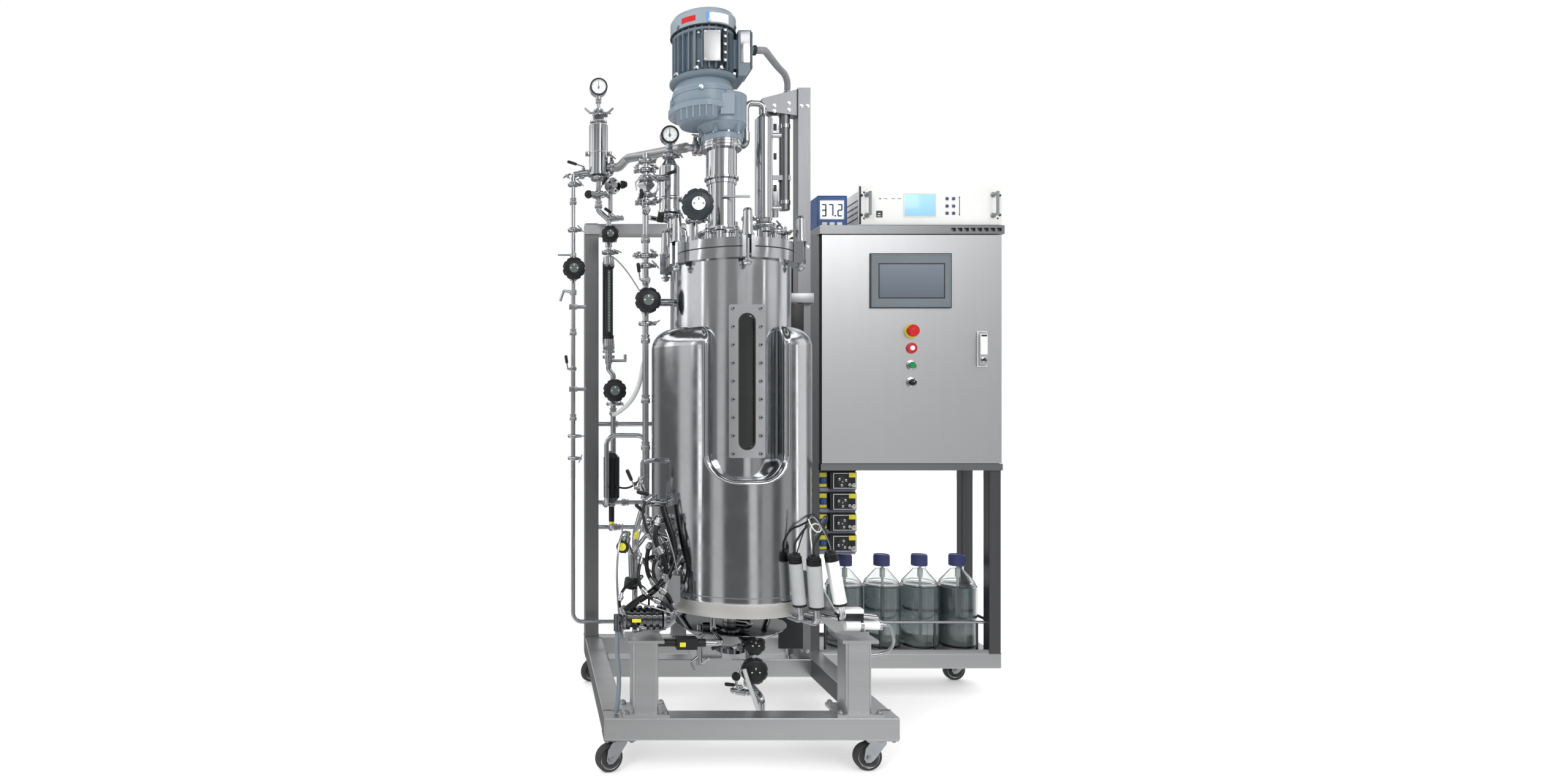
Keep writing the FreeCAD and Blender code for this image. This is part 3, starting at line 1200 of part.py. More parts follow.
def bottles():
    floor = "deck_low + base_beam + shelf_sheet"
    shells, caps = [], []
    for number in range(4):
        spot = (f"bottle_x + {number} * bottle_pitch", "bottle_y", floor)
        shells.append(turned([
            (0, 0), (58, 0), ("bottle_r", 6), ("bottle_r", 206, 16), ("bottle_r - 6", 220), (22, 262),
            (22, 300),
            (19.5, 300), (19.5, 261), ("bottle_r - 9", 218), ("bottle_r - 2.5", 204), ("bottle_r - 2.5", 7),
            (57, 3),
            (0, 3)], spot))
        caps.append(turned([
            (22.2, 276), (26, 276), (26, 312), (24, 314), (0, 314), (0, 300.2), (22.2, 300.2)], spot))
    place(group(shells), "media_bottles")
    place(group(caps), "bottle_caps")


def pump_housings():
    """Four stacked peristaltic pumps hung from the cabinet, each a case with a hinged head cover."""
    left, wide = "pump_left", "pump_wide"
    stack = [block((left, f"{left} + {wide}"), ("cabinet_front + 6", "cabinet_front + 160"),
                   ("cabinet_low - 4", "cabinet_low"))]
    for number in range(4):
        top = f"cabinet_low - 4 - {number} * pump_pitch"
        stack.append(fuse([
            block((left, f"{left} + {wide}"), ("cabinet_front + 14", "cabinet_front + 160"),
                  (f"{top} - pump_pitch + 5", top)),
            block((f"{left} + 4", f"{left} + {wide} - 4"), ("cabinet_front + 30", "cabinet_front + 150"),
                  (f"{top} - pump_pitch", f"{top} - pump_pitch + 5")),
            block((f"{left} + 36", f"{left} + {wide} - 2"), ("cabinet_front", "cabinet_front + 14"),
                  (f"{top} - pump_pitch + 10", f"{top} - 4")),
        ]))
    place(group(stack), "pump_housings")


def gas_analyser():
    left, right = "analyser_left", "analyser_left + analyser_wide"
    low, front = "cabinet_high + 5", "cabinet_front"
    pieces = [
        block((left, right), (f"{front} - 6", front), (low, f"{low} + 132")),
        block((f"{left} + 20", f"{right} - 20"), (front, "skid_back - 4"), (f"{low} + 2", f"{low} + 128")),
    ]
    for x in (f"{left} + 26", f"{right} - 30"):
        grip = [rod(5, (x, f"{front} - 36", f"{low} + 26"), 80)]
        grip += [rod(5, (x, f"{front} - 36", z), 30, "y") for z in (f"{low} + 31", f"{low} + 101")]
        pieces += grip
    for x in (f"{left} + 60", f"{right} - 60"):
        for y in (f"{front} + 30", "skid_back - 40"):
            pieces.append(rod(12, (x, y, "cabinet_high"), "7"))
    place(group([fuse(pieces)]), "gas_analyser")


def display_unit():
    left, front, low = "skid_right + 8", "cabinet_front + 44", "cabinet_high"
    case = round_edges(block((left, f"{left} + 104"), (front, f"{front} + 90"), (low, f"{low} + 116")), 6,
                       along(AXES["y"]))
    window = block((f"{left} + 10", f"{left} + 94"), (front, f"{front} + 2"), (f"{low} + 34", f"{low} + 100"))
    place(group([cut(case, [window])]), "display_unit")


# ---------------------------------------------------------------- build, check and write

def build():
    skid_frame()
    piping_frame()
    cabinet_frame()
    caster_plates()
    for name, (kingpin, heading) in CASTERS.items():
        caster(name, kingpin, heading)
    vessel_legs()
    vessel_shell()
    insulation_jacket()
    lid()
    lid_clamps()
    sight_glass()
    drive_lantern()
    gearbox()
    motor_housing()
    fan_cowl()
    terminal_box()
    agitator()
    motor_fan()
    mast()
    condenser()
    filter_housings()
    gauges()
    valves()
    process_pipes()
    tri_clamps()
    flow_meter()
    solenoid_valves()
    sensor_probes()
    flexible_lines()
    cabinet_box()
    control_gear()
    cabinet_door()
    touch_panel()
    door_handle()
    push_button("emergency_stop", 0, 20, 12, 22)
    push_button("stop_button", 1, 11, 6, 9)
    push_button("start_button", 2, 11, 6, 9)
    key_switch()
    bottles()
    pump_housings()
    gas_analyser()
    display_unit()


def check():
    doc.recompute()
    for thing in doc.Objects:
        if "Invalid" in thing.State or "Error" in thing.State:
            raise RuntimeError(f"{thing.Name} ({thing.Label}) failed: {thing.State}")
    for part in SUB_PARTS:
        if part.Shape.isNull() or not part.Shape.isValid() or not part.Shape.Solids:
            raise RuntimeError(f"{part.Label} has no valid solid")


def write():
    os.makedirs("parts", exist_ok=True)
    for part in SUB_PARTS:
        part.Shape.exportStep(f"parts/{part.Label}.step")


build()
check()
write()
whole = Part.makeCompound([part.Shape for part in SUB_PARTS]).optimalBoundingBox()
print(len(SUB_PARTS), "sub-parts, from", [round(v, 1) for v in (whole.XMin, whole.YMin, whole.ZMin)],
      "to", [round(v, 1) for v in (whole.XMax, whole.YMax, whole.ZMax)])
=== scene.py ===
# %% [markdown]
# # A pilot-scale bioreactor skid
# This lesson dresses a finished construction model.

# %% Load the construction model
import json
import math
import bmesh
import bpy
from mathutils import Matrix, Vector


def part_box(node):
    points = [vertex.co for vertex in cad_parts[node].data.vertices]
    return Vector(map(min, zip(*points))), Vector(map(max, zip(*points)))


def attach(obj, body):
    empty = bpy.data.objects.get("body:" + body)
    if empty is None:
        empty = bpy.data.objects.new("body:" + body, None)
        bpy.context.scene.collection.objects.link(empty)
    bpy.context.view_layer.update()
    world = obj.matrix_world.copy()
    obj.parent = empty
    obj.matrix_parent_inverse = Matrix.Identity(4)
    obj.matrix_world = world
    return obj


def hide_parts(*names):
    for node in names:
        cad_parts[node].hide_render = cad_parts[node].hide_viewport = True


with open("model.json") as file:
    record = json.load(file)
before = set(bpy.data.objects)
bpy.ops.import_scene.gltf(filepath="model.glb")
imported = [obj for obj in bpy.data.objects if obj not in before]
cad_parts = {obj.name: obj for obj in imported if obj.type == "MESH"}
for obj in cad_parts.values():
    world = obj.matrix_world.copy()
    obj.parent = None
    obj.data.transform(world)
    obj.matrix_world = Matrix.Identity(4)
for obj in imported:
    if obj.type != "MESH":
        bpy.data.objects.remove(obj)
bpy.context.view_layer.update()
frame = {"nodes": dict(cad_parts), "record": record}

MM = 0.001
nodes = frame["nodes"]
body_of = {node: body for body, held in frame["record"]["behaviour"]["bodies"].items() for node in held}
slot_of = {part["node"]: part["material_slot"] for part in frame["record"]["subparts"]}

# %% [markdown]
# ## Colours and shader nodes
# Paint and plastic charts give colours as sRGB hex values, while the shader wants linear light, so one function
# turns them over. One more function adds a shader node, sets what it is told and links its inputs. The few steps
# that every finish shares have a function each: a noise, a range taken from it, two tones of a colour, a bump.

# %% Helpers for every finish
def linear(code):
    channels = [int(code[i:i + 2], 16) / 255 for i in (1, 3, 5)]
    return [c / 12.92 if c <= 0.04045 else ((c + 0.055) / 1.055) ** 2.4 for c in channels] + [1.0]


def add(tree, kind, inputs=None, **settings):
    """Adds a node, sets its properties, and gives each named or numbered input a value or a link."""
    made = tree.nodes.new(kind)
    for name, value in settings.items():
        setattr(made, name, value)
    for key, value in (inputs or {}).items():
        socket = made.inputs[key]
        if isinstance(value, bpy.types.NodeSocket):
            tree.links.new(value, socket)
        else:
            socket.default_value = value
    return made


def new_finish(name):
    """A material with nothing in it yet, and an Object coordinate to read."""
    made = bpy.data.materials.new(name)
    made.use_nodes = True
    tree = made.node_tree
    tree.nodes.clear()
    place = add(tree, "ShaderNodeTexCoord").outputs["Object"]
    return made, tree, place


def noise(tree, place, scale, detail, **more):
    return add(tree, "ShaderNodeTexNoise", {
        "Vector": place, "Scale": scale, "Detail": detail, **more}).outputs["Fac"]


def stretched(tree, place, scale):
    return add(tree, "ShaderNodeMapping", {"Vector": place, "Scale": scale}).outputs[0]


def spread(tree, value, low, high, least, most):
    """The middle stretch of a noise, low to high, drawn out over the range from least to most."""
    return add(tree, "ShaderNodeMapRange", {
        "Value": value, "From Min": low, "From Max": high, "To Min": least, "To Max": most}).outputs["Result"]


def blend(tree, value, first, second, **settings):
    return add(tree, "ShaderNodeMix", {"Factor": value, "A": first, "B": second}, data_type="RGBA",
               **settings).outputs["Result"]


def two_tones(tree, value, colour, shade):
    """A colour that clouds over to a darker tone of itself."""
    return blend(tree, value, linear(colour), [c * shade for c in linear(colour)[:3]] + [1])


def bumped(tree, height, strength, depth_mm, **under):
    return add(tree, "ShaderNodeBump", {
        "Height": height, "Strength": strength, "Distance": depth_mm * MM, **under}).outputs[0]


def close_finish(tree, colour, rough, **more):
    """The shader and the output; an underscore in a setting's name stands for a space."""
    given = {name.replace("_", " "): value for name, value in more.items()}
    shader = add(tree, "ShaderNodeBsdfPrincipled", {"Base Color": colour, "Roughness": rough, **given})
    add(tree, "ShaderNodeOutputMaterial", {"Surface": shader.outputs[0]})


FINISH = {}
print("white is", linear("#ffffff"))

# %% [markdown]
# ## Polished stainless steel
# The vessel, its cladding and the lines are electropolished: the acid takes off the roughness that grinding left,
# so the metal mirrors the room softly. The sheet is never truly flat, so a slow bump of a few hundredths of a
# millimetre over some 90 mm bends the reflections, and a faint cloud in the roughness stands for wiped fingerprints.

# %% Electropolished steel
def electropolished(name, colour, rough, wave_mm=90, wave_depth=0.05, grain=0.02):
    made, tree, place = new_finish(name)
    wave = noise(tree, place, 1 / (wave_mm * MM), 1.0)
    cloud = noise(tree, place, 14.0, 6.0, Roughness=0.6)
    fine = noise(tree, place, 900.0, 2.0)
    slow = bumped(tree, wave, 0.12, wave_depth)
    close_finish(tree, two_tones(tree, cloud, colour, 0.86),
                 spread(tree, cloud, 0.35, 0.7, rough - 0.03, rough + 0.07),
                 Metallic=1.0, Normal=bumped(tree, fine, grain, 0.02, Normal=slow))
    return made


FINISH["polished_stainless"] = electropolished("electropolished_steel", "#cdcfd2", 0.12)
FINISH["bright_zinc"] = electropolished("bright_zinc_plate", "#c3c6c9", 0.2, wave_mm=25, wave_depth=0.03, grain=0.05)
FINISH["anodised_plate"] = electropolished("anodised_aluminium", "#dcdedf", 0.38, wave_mm=60, grain=0.03)
FINISH["cast_aluminium"] = electropolished("cast_aluminium", "#a9acaf", 0.26, wave_mm=12, wave_depth=0.1, grain=0.2)
# Dark steel; on the sight glass screws it is the painted shade in their sockets.
FINISH["dark_steel"] = electropolished("dark_steel_and_socket_shade", "#4e4f52", 0.25, wave_mm=12, grain=0.1)
# A near-white copy of the steel: painted highlight for the bright lip at the cladding's foot.
FINISH["blasted_steel"] = electropolished("bead_blasted_steel", "#f4f3f0", 0.5, wave_mm=40, grain=0.1)
# A darker copy of the polished steel: painted shade for the vessel's underside, its outlet and drain elbow, and the
# actuator.
FINISH["dark_chrome"] = electropolished("dark_chrome_plate", "#85878b", 0.08, wave_mm=15, wave_depth=0.1)
print("polished finishes:", len(FINISH))

# %% [markdown]
# ## Brushed stainless steel
# Tubes, cabinet and door are sheet steel ground with a belt. The belt leaves scratches that run one way, a tenth of
# a millimetre apart; too fine to show here, so they are drawn half a millimetre apart. A noise stretched along the
# belt's way feeds both a bump and the roughness, so highlights smear across the grain as they do on the real sheet.

# %% Brushed steel, one finish for each grain direction
def brushed(name, way, colour="#c4c5c8", rough=0.34, pitch_mm=0.5, shade=0.8, grind=0.35):
    made, tree, place = new_finish(name)
    across = 1 / (pitch_mm * MM)
    fine_scale = [across * 0.006 if axis == way else across for axis in "xyz"]
    broad_scale = [1.2 if axis == way else 26 for axis in "xyz"]
    streaks = noise(tree, stretched(tree, place, fine_scale), 1.0, 3.0, Roughness=0.7)
    broad = noise(tree, stretched(tree, place, broad_scale), 1.0, 4.0)
    slow = bumped(tree, noise(tree, place, 5.0, 1.0), 0.15, 0.2)
    close_finish(tree, two_tones(tree, broad, colour, shade),
                 spread(tree, streaks, 0.3, 0.7, rough - 0.05, rough + 0.09),
                 Metallic=1.0, Normal=bumped(tree, streaks, grind, 0.015, Normal=slow))
    return made


for way in "xyz":
    FINISH["brushed_" + way] = brushed("belt_ground_steel_" + way, way)
FINISH["brushed_stainless"] = FINISH["brushed_z"]
# A darker copy of the ground steel: painted shade on frame faces that look sideways, on the cabinet frame above its
# foot and on the cabinet's side sheet.
FINISH["shaded_frame_steel"] = brushed("belt_ground_frame_steel", "z", "#6f7072", 0.38)
# A darker copy of the ground steel for the mast: painted shade that dims the room's reflection on it.
FINISH["shaded_mast_steel"] = brushed("belt_ground_mast_steel", "z", "#96979a", 0.36)
FINISH["post_steel"] = brushed("belt_ground_post_steel", "z", "#a2a3a5", 0.34)
# A lighter copy of the ground steel: painted light on the legs, the skid frame, the cabinet frame's foot and the
# piping frame's top.
FINISH["lit_beam_steel"] = brushed("belt_ground_beam_steel", "x", "#dadbdc", 0.34)
FINISH["door_steel"] = brushed("belt_ground_door_steel", "z", "#d9dadc", 0.34, shade=0.95, grind=0.12)
FINISH["sill_steel"] = brushed("belt_ground_sill_steel", "x", "#989a9c", 0.3)
print("grain directions:", [name for name in FINISH if name.startswith("brushed_")])

# %% [markdown]
# ## Paint and powder coat
# The drive wears a semi-gloss machine enamel, sprayed on castings: it levels into a fine orange peel, about two
# millimetres from crest to crest. Powder coat on sheet metal has a tighter, sandier texture. Both are a plain
# shader with a light coat of noise in bump, colour and roughness.

# %% Enamels and powder coats
def coated(name, colour, rough=0.35, peel_mm=2.0, peel=0.12, shade=0.85):
    made, tree, place = new_finish(name)
    skin = noise(tree, place, 1 / (peel_mm * MM), 3.0)
    cloud = noise(tree, place, 9.0, 5.0)
    close_finish(tree, two_tones(tree, cloud, colour, shade),
                 spread(tree, cloud, 0.3, 0.7, rough - 0.05, rough + 0.08),
                 Normal=bumped(tree, skin, peel, 0.1), IOR=1.5)
    return made


FINISH["blue_grey_paint"] = coated("machine_enamel_blue_grey", "#66747f", 0.34)
FINISH["casting_enamel"] = coated("machine_enamel_casting", "#7c8a96", 0.24, peel_mm=3.0, peel=0.2)
FINISH["cowl_enamel"] = coated("machine_enamel_cowl", "#8f9ba5", 0.2)
FINISH["light_grey_paint"] = coated("enamel_light_grey", "#b9bfc2", 0.32)
FINISH["conduit_grey"] = coated("coated_conduit", "#85878b", 0.3)
FINISH["white_paint"] = coated("powder_coat_white", "#e9eae8", 0.42, peel_mm=0.8, peel=0.2)
FINISH["blue_paint"] = coated("powder_coat_blue", "#27518f", 0.4, peel_mm=0.8, peel=0.2)
FINISH["panel_grey"] = coated("moulded_bezel_grey", "#6d767d", 0.45, peel_mm=0.6)
print("coats:", [name for name in FINISH if "paint" in name])

# %% [markdown]
# ## Plastics, rubber and tread
# Knobs are glass-filled nylon, which comes out of its mould with a satin, slightly sandy skin. Buttons and probe
# sleeves are glossier. Rubber hose and tread are matt and a little dusty. All share one function, because they
# differ only in colour, sheen and how coarse the mould's skin is.

# %% Moulded materials
def moulded(name, colour, rough, skin_mm=0.5, skin=0.15, dust=None):
    made, tree, place = new_finish(name)
    grit = noise(tree, place, 1 / (skin_mm * MM), 2.0)
    cloud = noise(tree, place, 40.0, 5.0)
    tone = blend(tree, cloud, linear(colour), linear(dust)) if dust else two_tones(tree, cloud, colour, 0.8)
    close_finish(tree, tone, spread(tree, cloud, 0.3, 0.7, rough - 0.04, rough + 0.08),
                 Normal=bumped(tree, grit, skin, 0.05), IOR=1.5)
    return made


for slot, colour, rough in (
        ("black_plastic", "#1b1c1e", 0.36), ("blue_grey_plastic", "#4d5a66", 0.4), ("white_plastic", "#eceeec", 0.3),
        ("red_plastic", "#c4161c", 0.22), ("green_plastic", "#138a4a", 0.25), ("dark_blue_plastic", "#3b4270", 0.38),
        ("yellow_plastic", "#dcd12c", 0.35), ("dark_plastic", "#2b2d31", 0.45), ("ivory_plastic", "#dfe1dc", 0.4),
        ("slate_plastic", "#5b6462", 0.4), ("probe_shell", "#a9abad", 0.4), ("charcoal_plastic", "#2c3338", 0.3)):
    FINISH[slot] = moulded("moulded_" + slot.replace("_plastic", ""), colour, rough)
FINISH["black_rubber"] = moulded("extruded_rubber", "#1d1d1d", 0.6, skin_mm=0.8, dust="#2b2b2a")
FINISH["gloss_rubber"] = moulded("gloss_rubber", "#0e0f10", 0.18, skin_mm=3.0)
FINISH["grey_tread"] = moulded("moulded_tread", "#2a2b2c", 0.62, skin_mm=1.2, dust="#3b3b3a")
FINISH["clear_hose"] = moulded("silicone_hose", "#c9cdcc", 0.35, skin_mm=2.0)
print("moulded materials:", sum(1 for name in FINISH if name.endswith("_plastic")))

# %% [markdown]
# ## Glass and screens
# The sight glass is thick borosilicate, and the bottles are clear moulded walls two or three millimetres thick.
# Both let light through and bend it. A screen is a picture behind glass: a colour that glows a little under a
# smooth cover.

# %% Clear walls and screens
def smooth_cover(name, colour, smear_scale, least, most, ior, **more):
    """A smooth wall or cover with faint smears in its sheen."""
    made, tree, place = new_finish(name)
    smear = noise(tree, place, smear_scale, 4.0)
    close_finish(tree, linear(colour), spread(tree, smear, 0.4, 0.8, least, most), IOR=ior, **more)
    return made


def clear(name, colour, rough=0.02, ior=1.47):
    return smooth_cover(name, colour, 30.0, rough, rough + 0.06, ior, Transmission_Weight=1.0)


def pane(name, colour, alpha):
    """A flat cover that lets the lamps through to what is behind it."""
    return smooth_cover(name, colour, 60.0, 0.03, 0.12, 1.5, Alpha=alpha)


def glowing(name, top, bottom, low, high, strength=0.5, dots_mm=2.0):
    """A lit screen whose colour runs from bottom to top between two heights, with a faint row of dots."""
    made, tree, place = new_finish(name)
    height = add(tree, "ShaderNodeSeparateXYZ", {"Vector": place}).outputs["Z"]
    rise = add(tree, "ShaderNodeMapRange", {"Value": height, "From Min": low, "From Max": high})
    tone = blend(tree, rise.outputs["Result"], linear(bottom), linear(top))
    dots = add(tree, "ShaderNodeTexChecker", {
        "Vector": place, "Scale": 1 / (dots_mm * MM), "Color1": (1, 1, 1, 1), "Color2": (0.93, 0.93, 0.93, 1)})
    mixed = blend(tree, 1.0, tone, dots.outputs["Color"], blend_type="MULTIPLY")
    close_finish(tree, mixed, 0.12, Emission_Color=mixed, Emission_Strength=strength, IOR=1.5)
    return made


FINISH["borosilicate_glass"] = clear("borosilicate_glass", "#eef3f2")
FINISH["bottle_wall"] = clear("clear_moulded_bottle", "#f4f7f7", 0.03, 1.4)
FINISH["gauge_pane"] = pane("thin_gauge_pane", "#eef2f2", 0.14)
print("clear finishes ready")

# %% [markdown]
# ## Floor, light and camera
# A plain pale floor and soft light from large panels show metal well: polished steel has no colour of its own and
# only shows what stands round it. So the room's light is even from above, with broad soft darker stretches to the
# sides that draw the long vertical bands on every round piece. The camera stands close in front of the vessel at
# chest height, looking straight ahead, with the lens shifted towards the cabinet.

# %% Floor and camera
CAMERA_SPOT = (-0.8463, -2.693, 0.976)
CAMERA_LENS, CAMERA_SHIFT = 19.69, (0.162, 0.0098)
FLOOR_HALF, FLOOR_GLOW = 9, 0.22
floor_mesh = bpy.data.meshes.new("floor")
floor_mesh.from_pydata([(FLOOR_HALF * x, FLOOR_HALF * y, 0) for x, y in ((-1, -1), (1, -1), (1, 1), (-1, 1))], [],
                       [(0, 1, 2, 3)])
floor = bpy.data.objects.new("floor", floor_mesh)
bpy.context.collection.objects.link(floor)
FINISH["floor"] = coated("pale_floor", "#fcfcfb", 0.6, peel_mm=6.0, peel=0.02, shade=0.98)
floor_mesh.materials.append(FINISH["floor"])
floor.visible_glossy = False
bounce = FINISH["floor"].node_tree.nodes["Principled BSDF"]
bounce.inputs["Emission Color"].default_value = linear("#ffffff")
bounce.inputs["Emission Strength"].default_value = FLOOR_GLOW
camera = bpy.data.objects.new("camera", bpy.data.cameras.new("camera"))
bpy.context.collection.objects.link(camera)
camera.location = CAMERA_SPOT
camera.rotation_euler = (math.radians(90), 0, 0)
camera.data.lens = CAMERA_LENS
camera.data.sensor_width = 36.0
camera.data.shift_x, camera.data.shift_y = CAMERA_SHIFT
camera.data.clip_start = 0.05
bpy.context.scene.camera = camera
bpy.context.scene.view_settings.view_transform = "Standard"
print("camera", [round(c, 3) for c in camera.location])

# %% Soft light
def panel(name, spot, aim, wide, tall, power, mirrored):
    lamp = bpy.data.lights.new(name, "AREA")
    lamp.shape, lamp.size, lamp.size_y, lamp.energy = "RECTANGLE", wide, tall, power
    held = bpy.data.objects.new(name, lamp)
    bpy.context.collection.objects.link(held)
    held.location = spot
    held.rotation_euler = (Vector(aim) - Vector(spot)).to_track_quat("-Z", "Y").to_euler()
    held.visible_glossy = mirrored


panel("key_panel", (-3.0, -4.2, 3.4), (0, 0, 1.1), 1.2, 2.2, 90, False)
panel("door_panel", (1.2, -3.6, 2.9), (0.1, 0, 1.3), 1.8, 1.4, 24, True)
world = bpy.data.worlds.new("room")
bpy.context.scene.world = world
world.use_nodes = True
room = world.node_tree
room.nodes.clear()
parts = add(room, "ShaderNodeSeparateXYZ", {"Vector": add(room, "ShaderNodeTexCoord").outputs["Generated"]})
back = add(room, "ShaderNodeMath", {0: parts.outputs["Y"], 1: -1.0}, operation="MULTIPLY")
turn = add(room, "ShaderNodeMath", {0: parts.outputs["X"], 1: back.outputs[0]}, operation="ARCTAN2").outputs[0]
# Each strip is a long soft box: where it stands, in degrees, its half width and how bright.
LOW_STRIPS = [(-155, 16, 0.25), (-57, 1.5, 2.2), (93, 2, 1.8), (-80, 11, 0.55), (-31, 8, 0.5), (19, 6, 0.62),
              (38, 9, 0.28), (72, 10, 0.3), (108, 13, 0.75), (150, 12, 0.3)]
HIGH_STRIPS = [(-150, 14, 0.45), (-112, 9, 0.9), (-68, 2, 1.8), (52, 2, 1.4), (-92, 26, 0.62), (-30, 7, 0.3),
               (8, 9, 0.3), (24, 6, 0.3), (72, 12, 0.5), (110, 14, 0.7), (150, 12, 0.3)]
CEILING_RINGS = [(31, 5, 1.6), (66, 4, 1.0)]


def soft_boxes(angle, level, strips):
    for place, half, strength in strips:
        away = add(room, "ShaderNodeMath", {0: angle, 1: math.radians(place)}, operation="SUBTRACT")
        far = add(room, "ShaderNodeMath", {0: away.outputs[0]}, operation="ABSOLUTE")
        glow = add(room, "ShaderNodeMapRange", {
            "Value": far.outputs[0], "From Min": math.radians(half * 1.5),
            "From Max": math.radians(half * 0.5), "To Max": strength},
            interpolation_type="SMOOTHSTEP")
        level = add(room, "ShaderNodeMath", {0: level, 1: glow.outputs["Result"]}, operation="ADD").outputs[0]
    return level


seen = add(room, "ShaderNodeLightPath")
low_ring, high_ring = soft_boxes(turn, 0.14, LOW_STRIPS), soft_boxes(turn, 0.33, HIGH_STRIPS)
climb = add(room, "ShaderNodeMapRange", {"Value": parts.outputs["Z"], "From Min": 0.05, "From Max": 0.11},
            interpolation_type="SMOOTHSTEP")
level = add(room, "ShaderNodeMix", {"Factor": climb.outputs["Result"], "A": low_ring, "B": high_ring},
            data_type="FLOAT").outputs["Result"]
up = add(room, "ShaderNodeMapRange", {"Value": parts.outputs["Z"], "From Min": 0.3, "From Max": 0.42},
         interpolation_type="SMOOTHSTEP")
rise = add(room, "ShaderNodeMath", {0: parts.outputs["Z"]}, operation="ARCSINE").outputs[0]
ceiling = add(room, "ShaderNodeMix", {
    "Factor": seen.outputs["Is Glossy Ray"], "A": 1.3, "B": soft_boxes(rise, 0.1, CEILING_RINGS)},
    data_type="FLOAT").outputs["Result"]
down = add(room, "ShaderNodeMapRange", {"Value": parts.outputs["Z"], "From Min": -0.2, "From Max": -0.45,
                                        "To Max": 0.35},
           interpolation_type="SMOOTHSTEP")
level = add(room, "ShaderNodeMath", {0: level, 1: down.outputs["Result"]}, operation="ADD").outputs[0]
lit = add(room, "ShaderNodeMix", {"Factor": up.outputs["Result"], "A": level, "B": ceiling}, data_type="FLOAT")
shown = add(room, "ShaderNodeMix", {"Factor": seen.outputs["Is Camera Ray"], "A": lit.outputs["Result"], "B": 1.0},
            data_type="FLOAT")
sky = add(room, "ShaderNodeBackground", {"Color": linear("#ffffff"), "Strength": shown.outputs["Result"]})
add(room, "ShaderNodeOutputWorld", {"Surface": sky.outputs[0]})

# %% [markdown]
# ## The construction's own surfaces
# A node from the construction model is a cloud of loose triangles, so a round tank would show its facets. A copy
# with its corners joined is shaded smooth where faces meet at less than 35 degrees, and stands for the node. Flat
# sheet parts stay as they are and only take a finish.

# %% Smooth stand-ins for the round nodes
SMOOTH_ANGLE = 35
WELD_GAP = 0.02 * MM


def dress(node, finish):
    """Gives the node's own object a finish."""
    for held in nodes[node].material_slots:
        held.material = FINISH[finish]


def shade_smooth(shape, angle):
    """Smooth shading, with a hard edge where two faces meet at more than the angle."""
    for edge in shape.edges:
        edge.smooth = edge.is_manifold and edge.calc_face_angle(0) < math.radians(angle)
    for face in shape.faces:
        face.smooth = True


def smooth_copy(node, finish):
    source = nodes[node].data
    shape = bmesh.new()
    shape.from_mesh(source)
    bmesh.ops.remove_doubles(shape, verts=shape.verts, dist=WELD_GAP)
    shade_smooth(shape, SMOOTH_ANGLE)
    for face in shape.faces:
        face.material_index = 0
    mesh = bpy.data.meshes.new(node + "_surface")
    shape.to_mesh(mesh)
    shape.free()
    piece = bpy.data.objects.new(node + "_surface", mesh)
    bpy.context.collection.objects.link(piece)
    mesh.materials.append(FINISH[finish])
    even = piece.modifiers.new("even", "WEIGHTED_NORMAL")
    even.keep_sharp = True
    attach(piece, body_of[node])
    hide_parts(node)
    return piece


# The legs and frames take the lighter copy of the ground steel, painted light, and the mast a darker one, painted
# shade.
GRAIN = {"media_bottles": "bottle_wall", "piping_frame": "post_steel", "cabinet_frame": "lit_beam_steel",
         "gearbox": "casting_enamel", "fan_cowl": "cowl_enamel", "lid_handwheel": "charcoal_plastic",
         "skid_frame": "lit_beam_steel", "cabinet_box": "sill_steel", "cabinet_door": "door_steel",
         "door_handle": "anodised_plate", "mast": "shaded_mast_steel", "vessel_legs": "lit_beam_steel"}
FLAT = ("cabinet_box", "cabinet_door", "touch_panel", "control_gear",
        "display_unit", "pump_housings", "terminal_box", "mast", "vessel_legs")
SURFACES = {}
for node in nodes:
    finish = GRAIN.get(node, slot_of[node])
    if node in FLAT:
        dress(node, finish)
    else:
        SURFACES[node] = smooth_copy(node, finish)
print(len(SURFACES), "smooth surfaces,", len(nodes) - len(SURFACES), "flat nodes")

# %% [markdown]
# ## Making new pieces
# Small pieces that the construction leaves out are built as meshes at their real place. A turned shape comes from a
# half outline, a bar from its two corners with its edges eased, and a wire or hose from a smooth curve through a
# few points. Every new piece then rides on the body that carries it, so it moves with it.

# %% Helpers for turned, barred and bent pieces
def at(x, y, z):
    """A place given in millimetres from the skid's front left corner on the floor, as metres in the frame."""
    return CORNER + Vector((x, y, z)) * MM


skid_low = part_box("skid_frame")[0]
SKID_LEFT = 196
CORNER = Vector((skid_low.x - SKID_LEFT * MM, skid_low.y, 0))
AIM = {"x": Matrix.Rotation(math.radians(90), 3, "Y"), "-x": Matrix.Rotation(math.radians(-90), 3, "Y"),
       "y": Matrix.Rotation(math.radians(-90), 3, "X"), "-y": Matrix.Rotation(math.radians(90), 3, "X"),
       "z": Matrix.Identity(3), "-z": Matrix.Rotation(math.radians(180), 3, "X")}


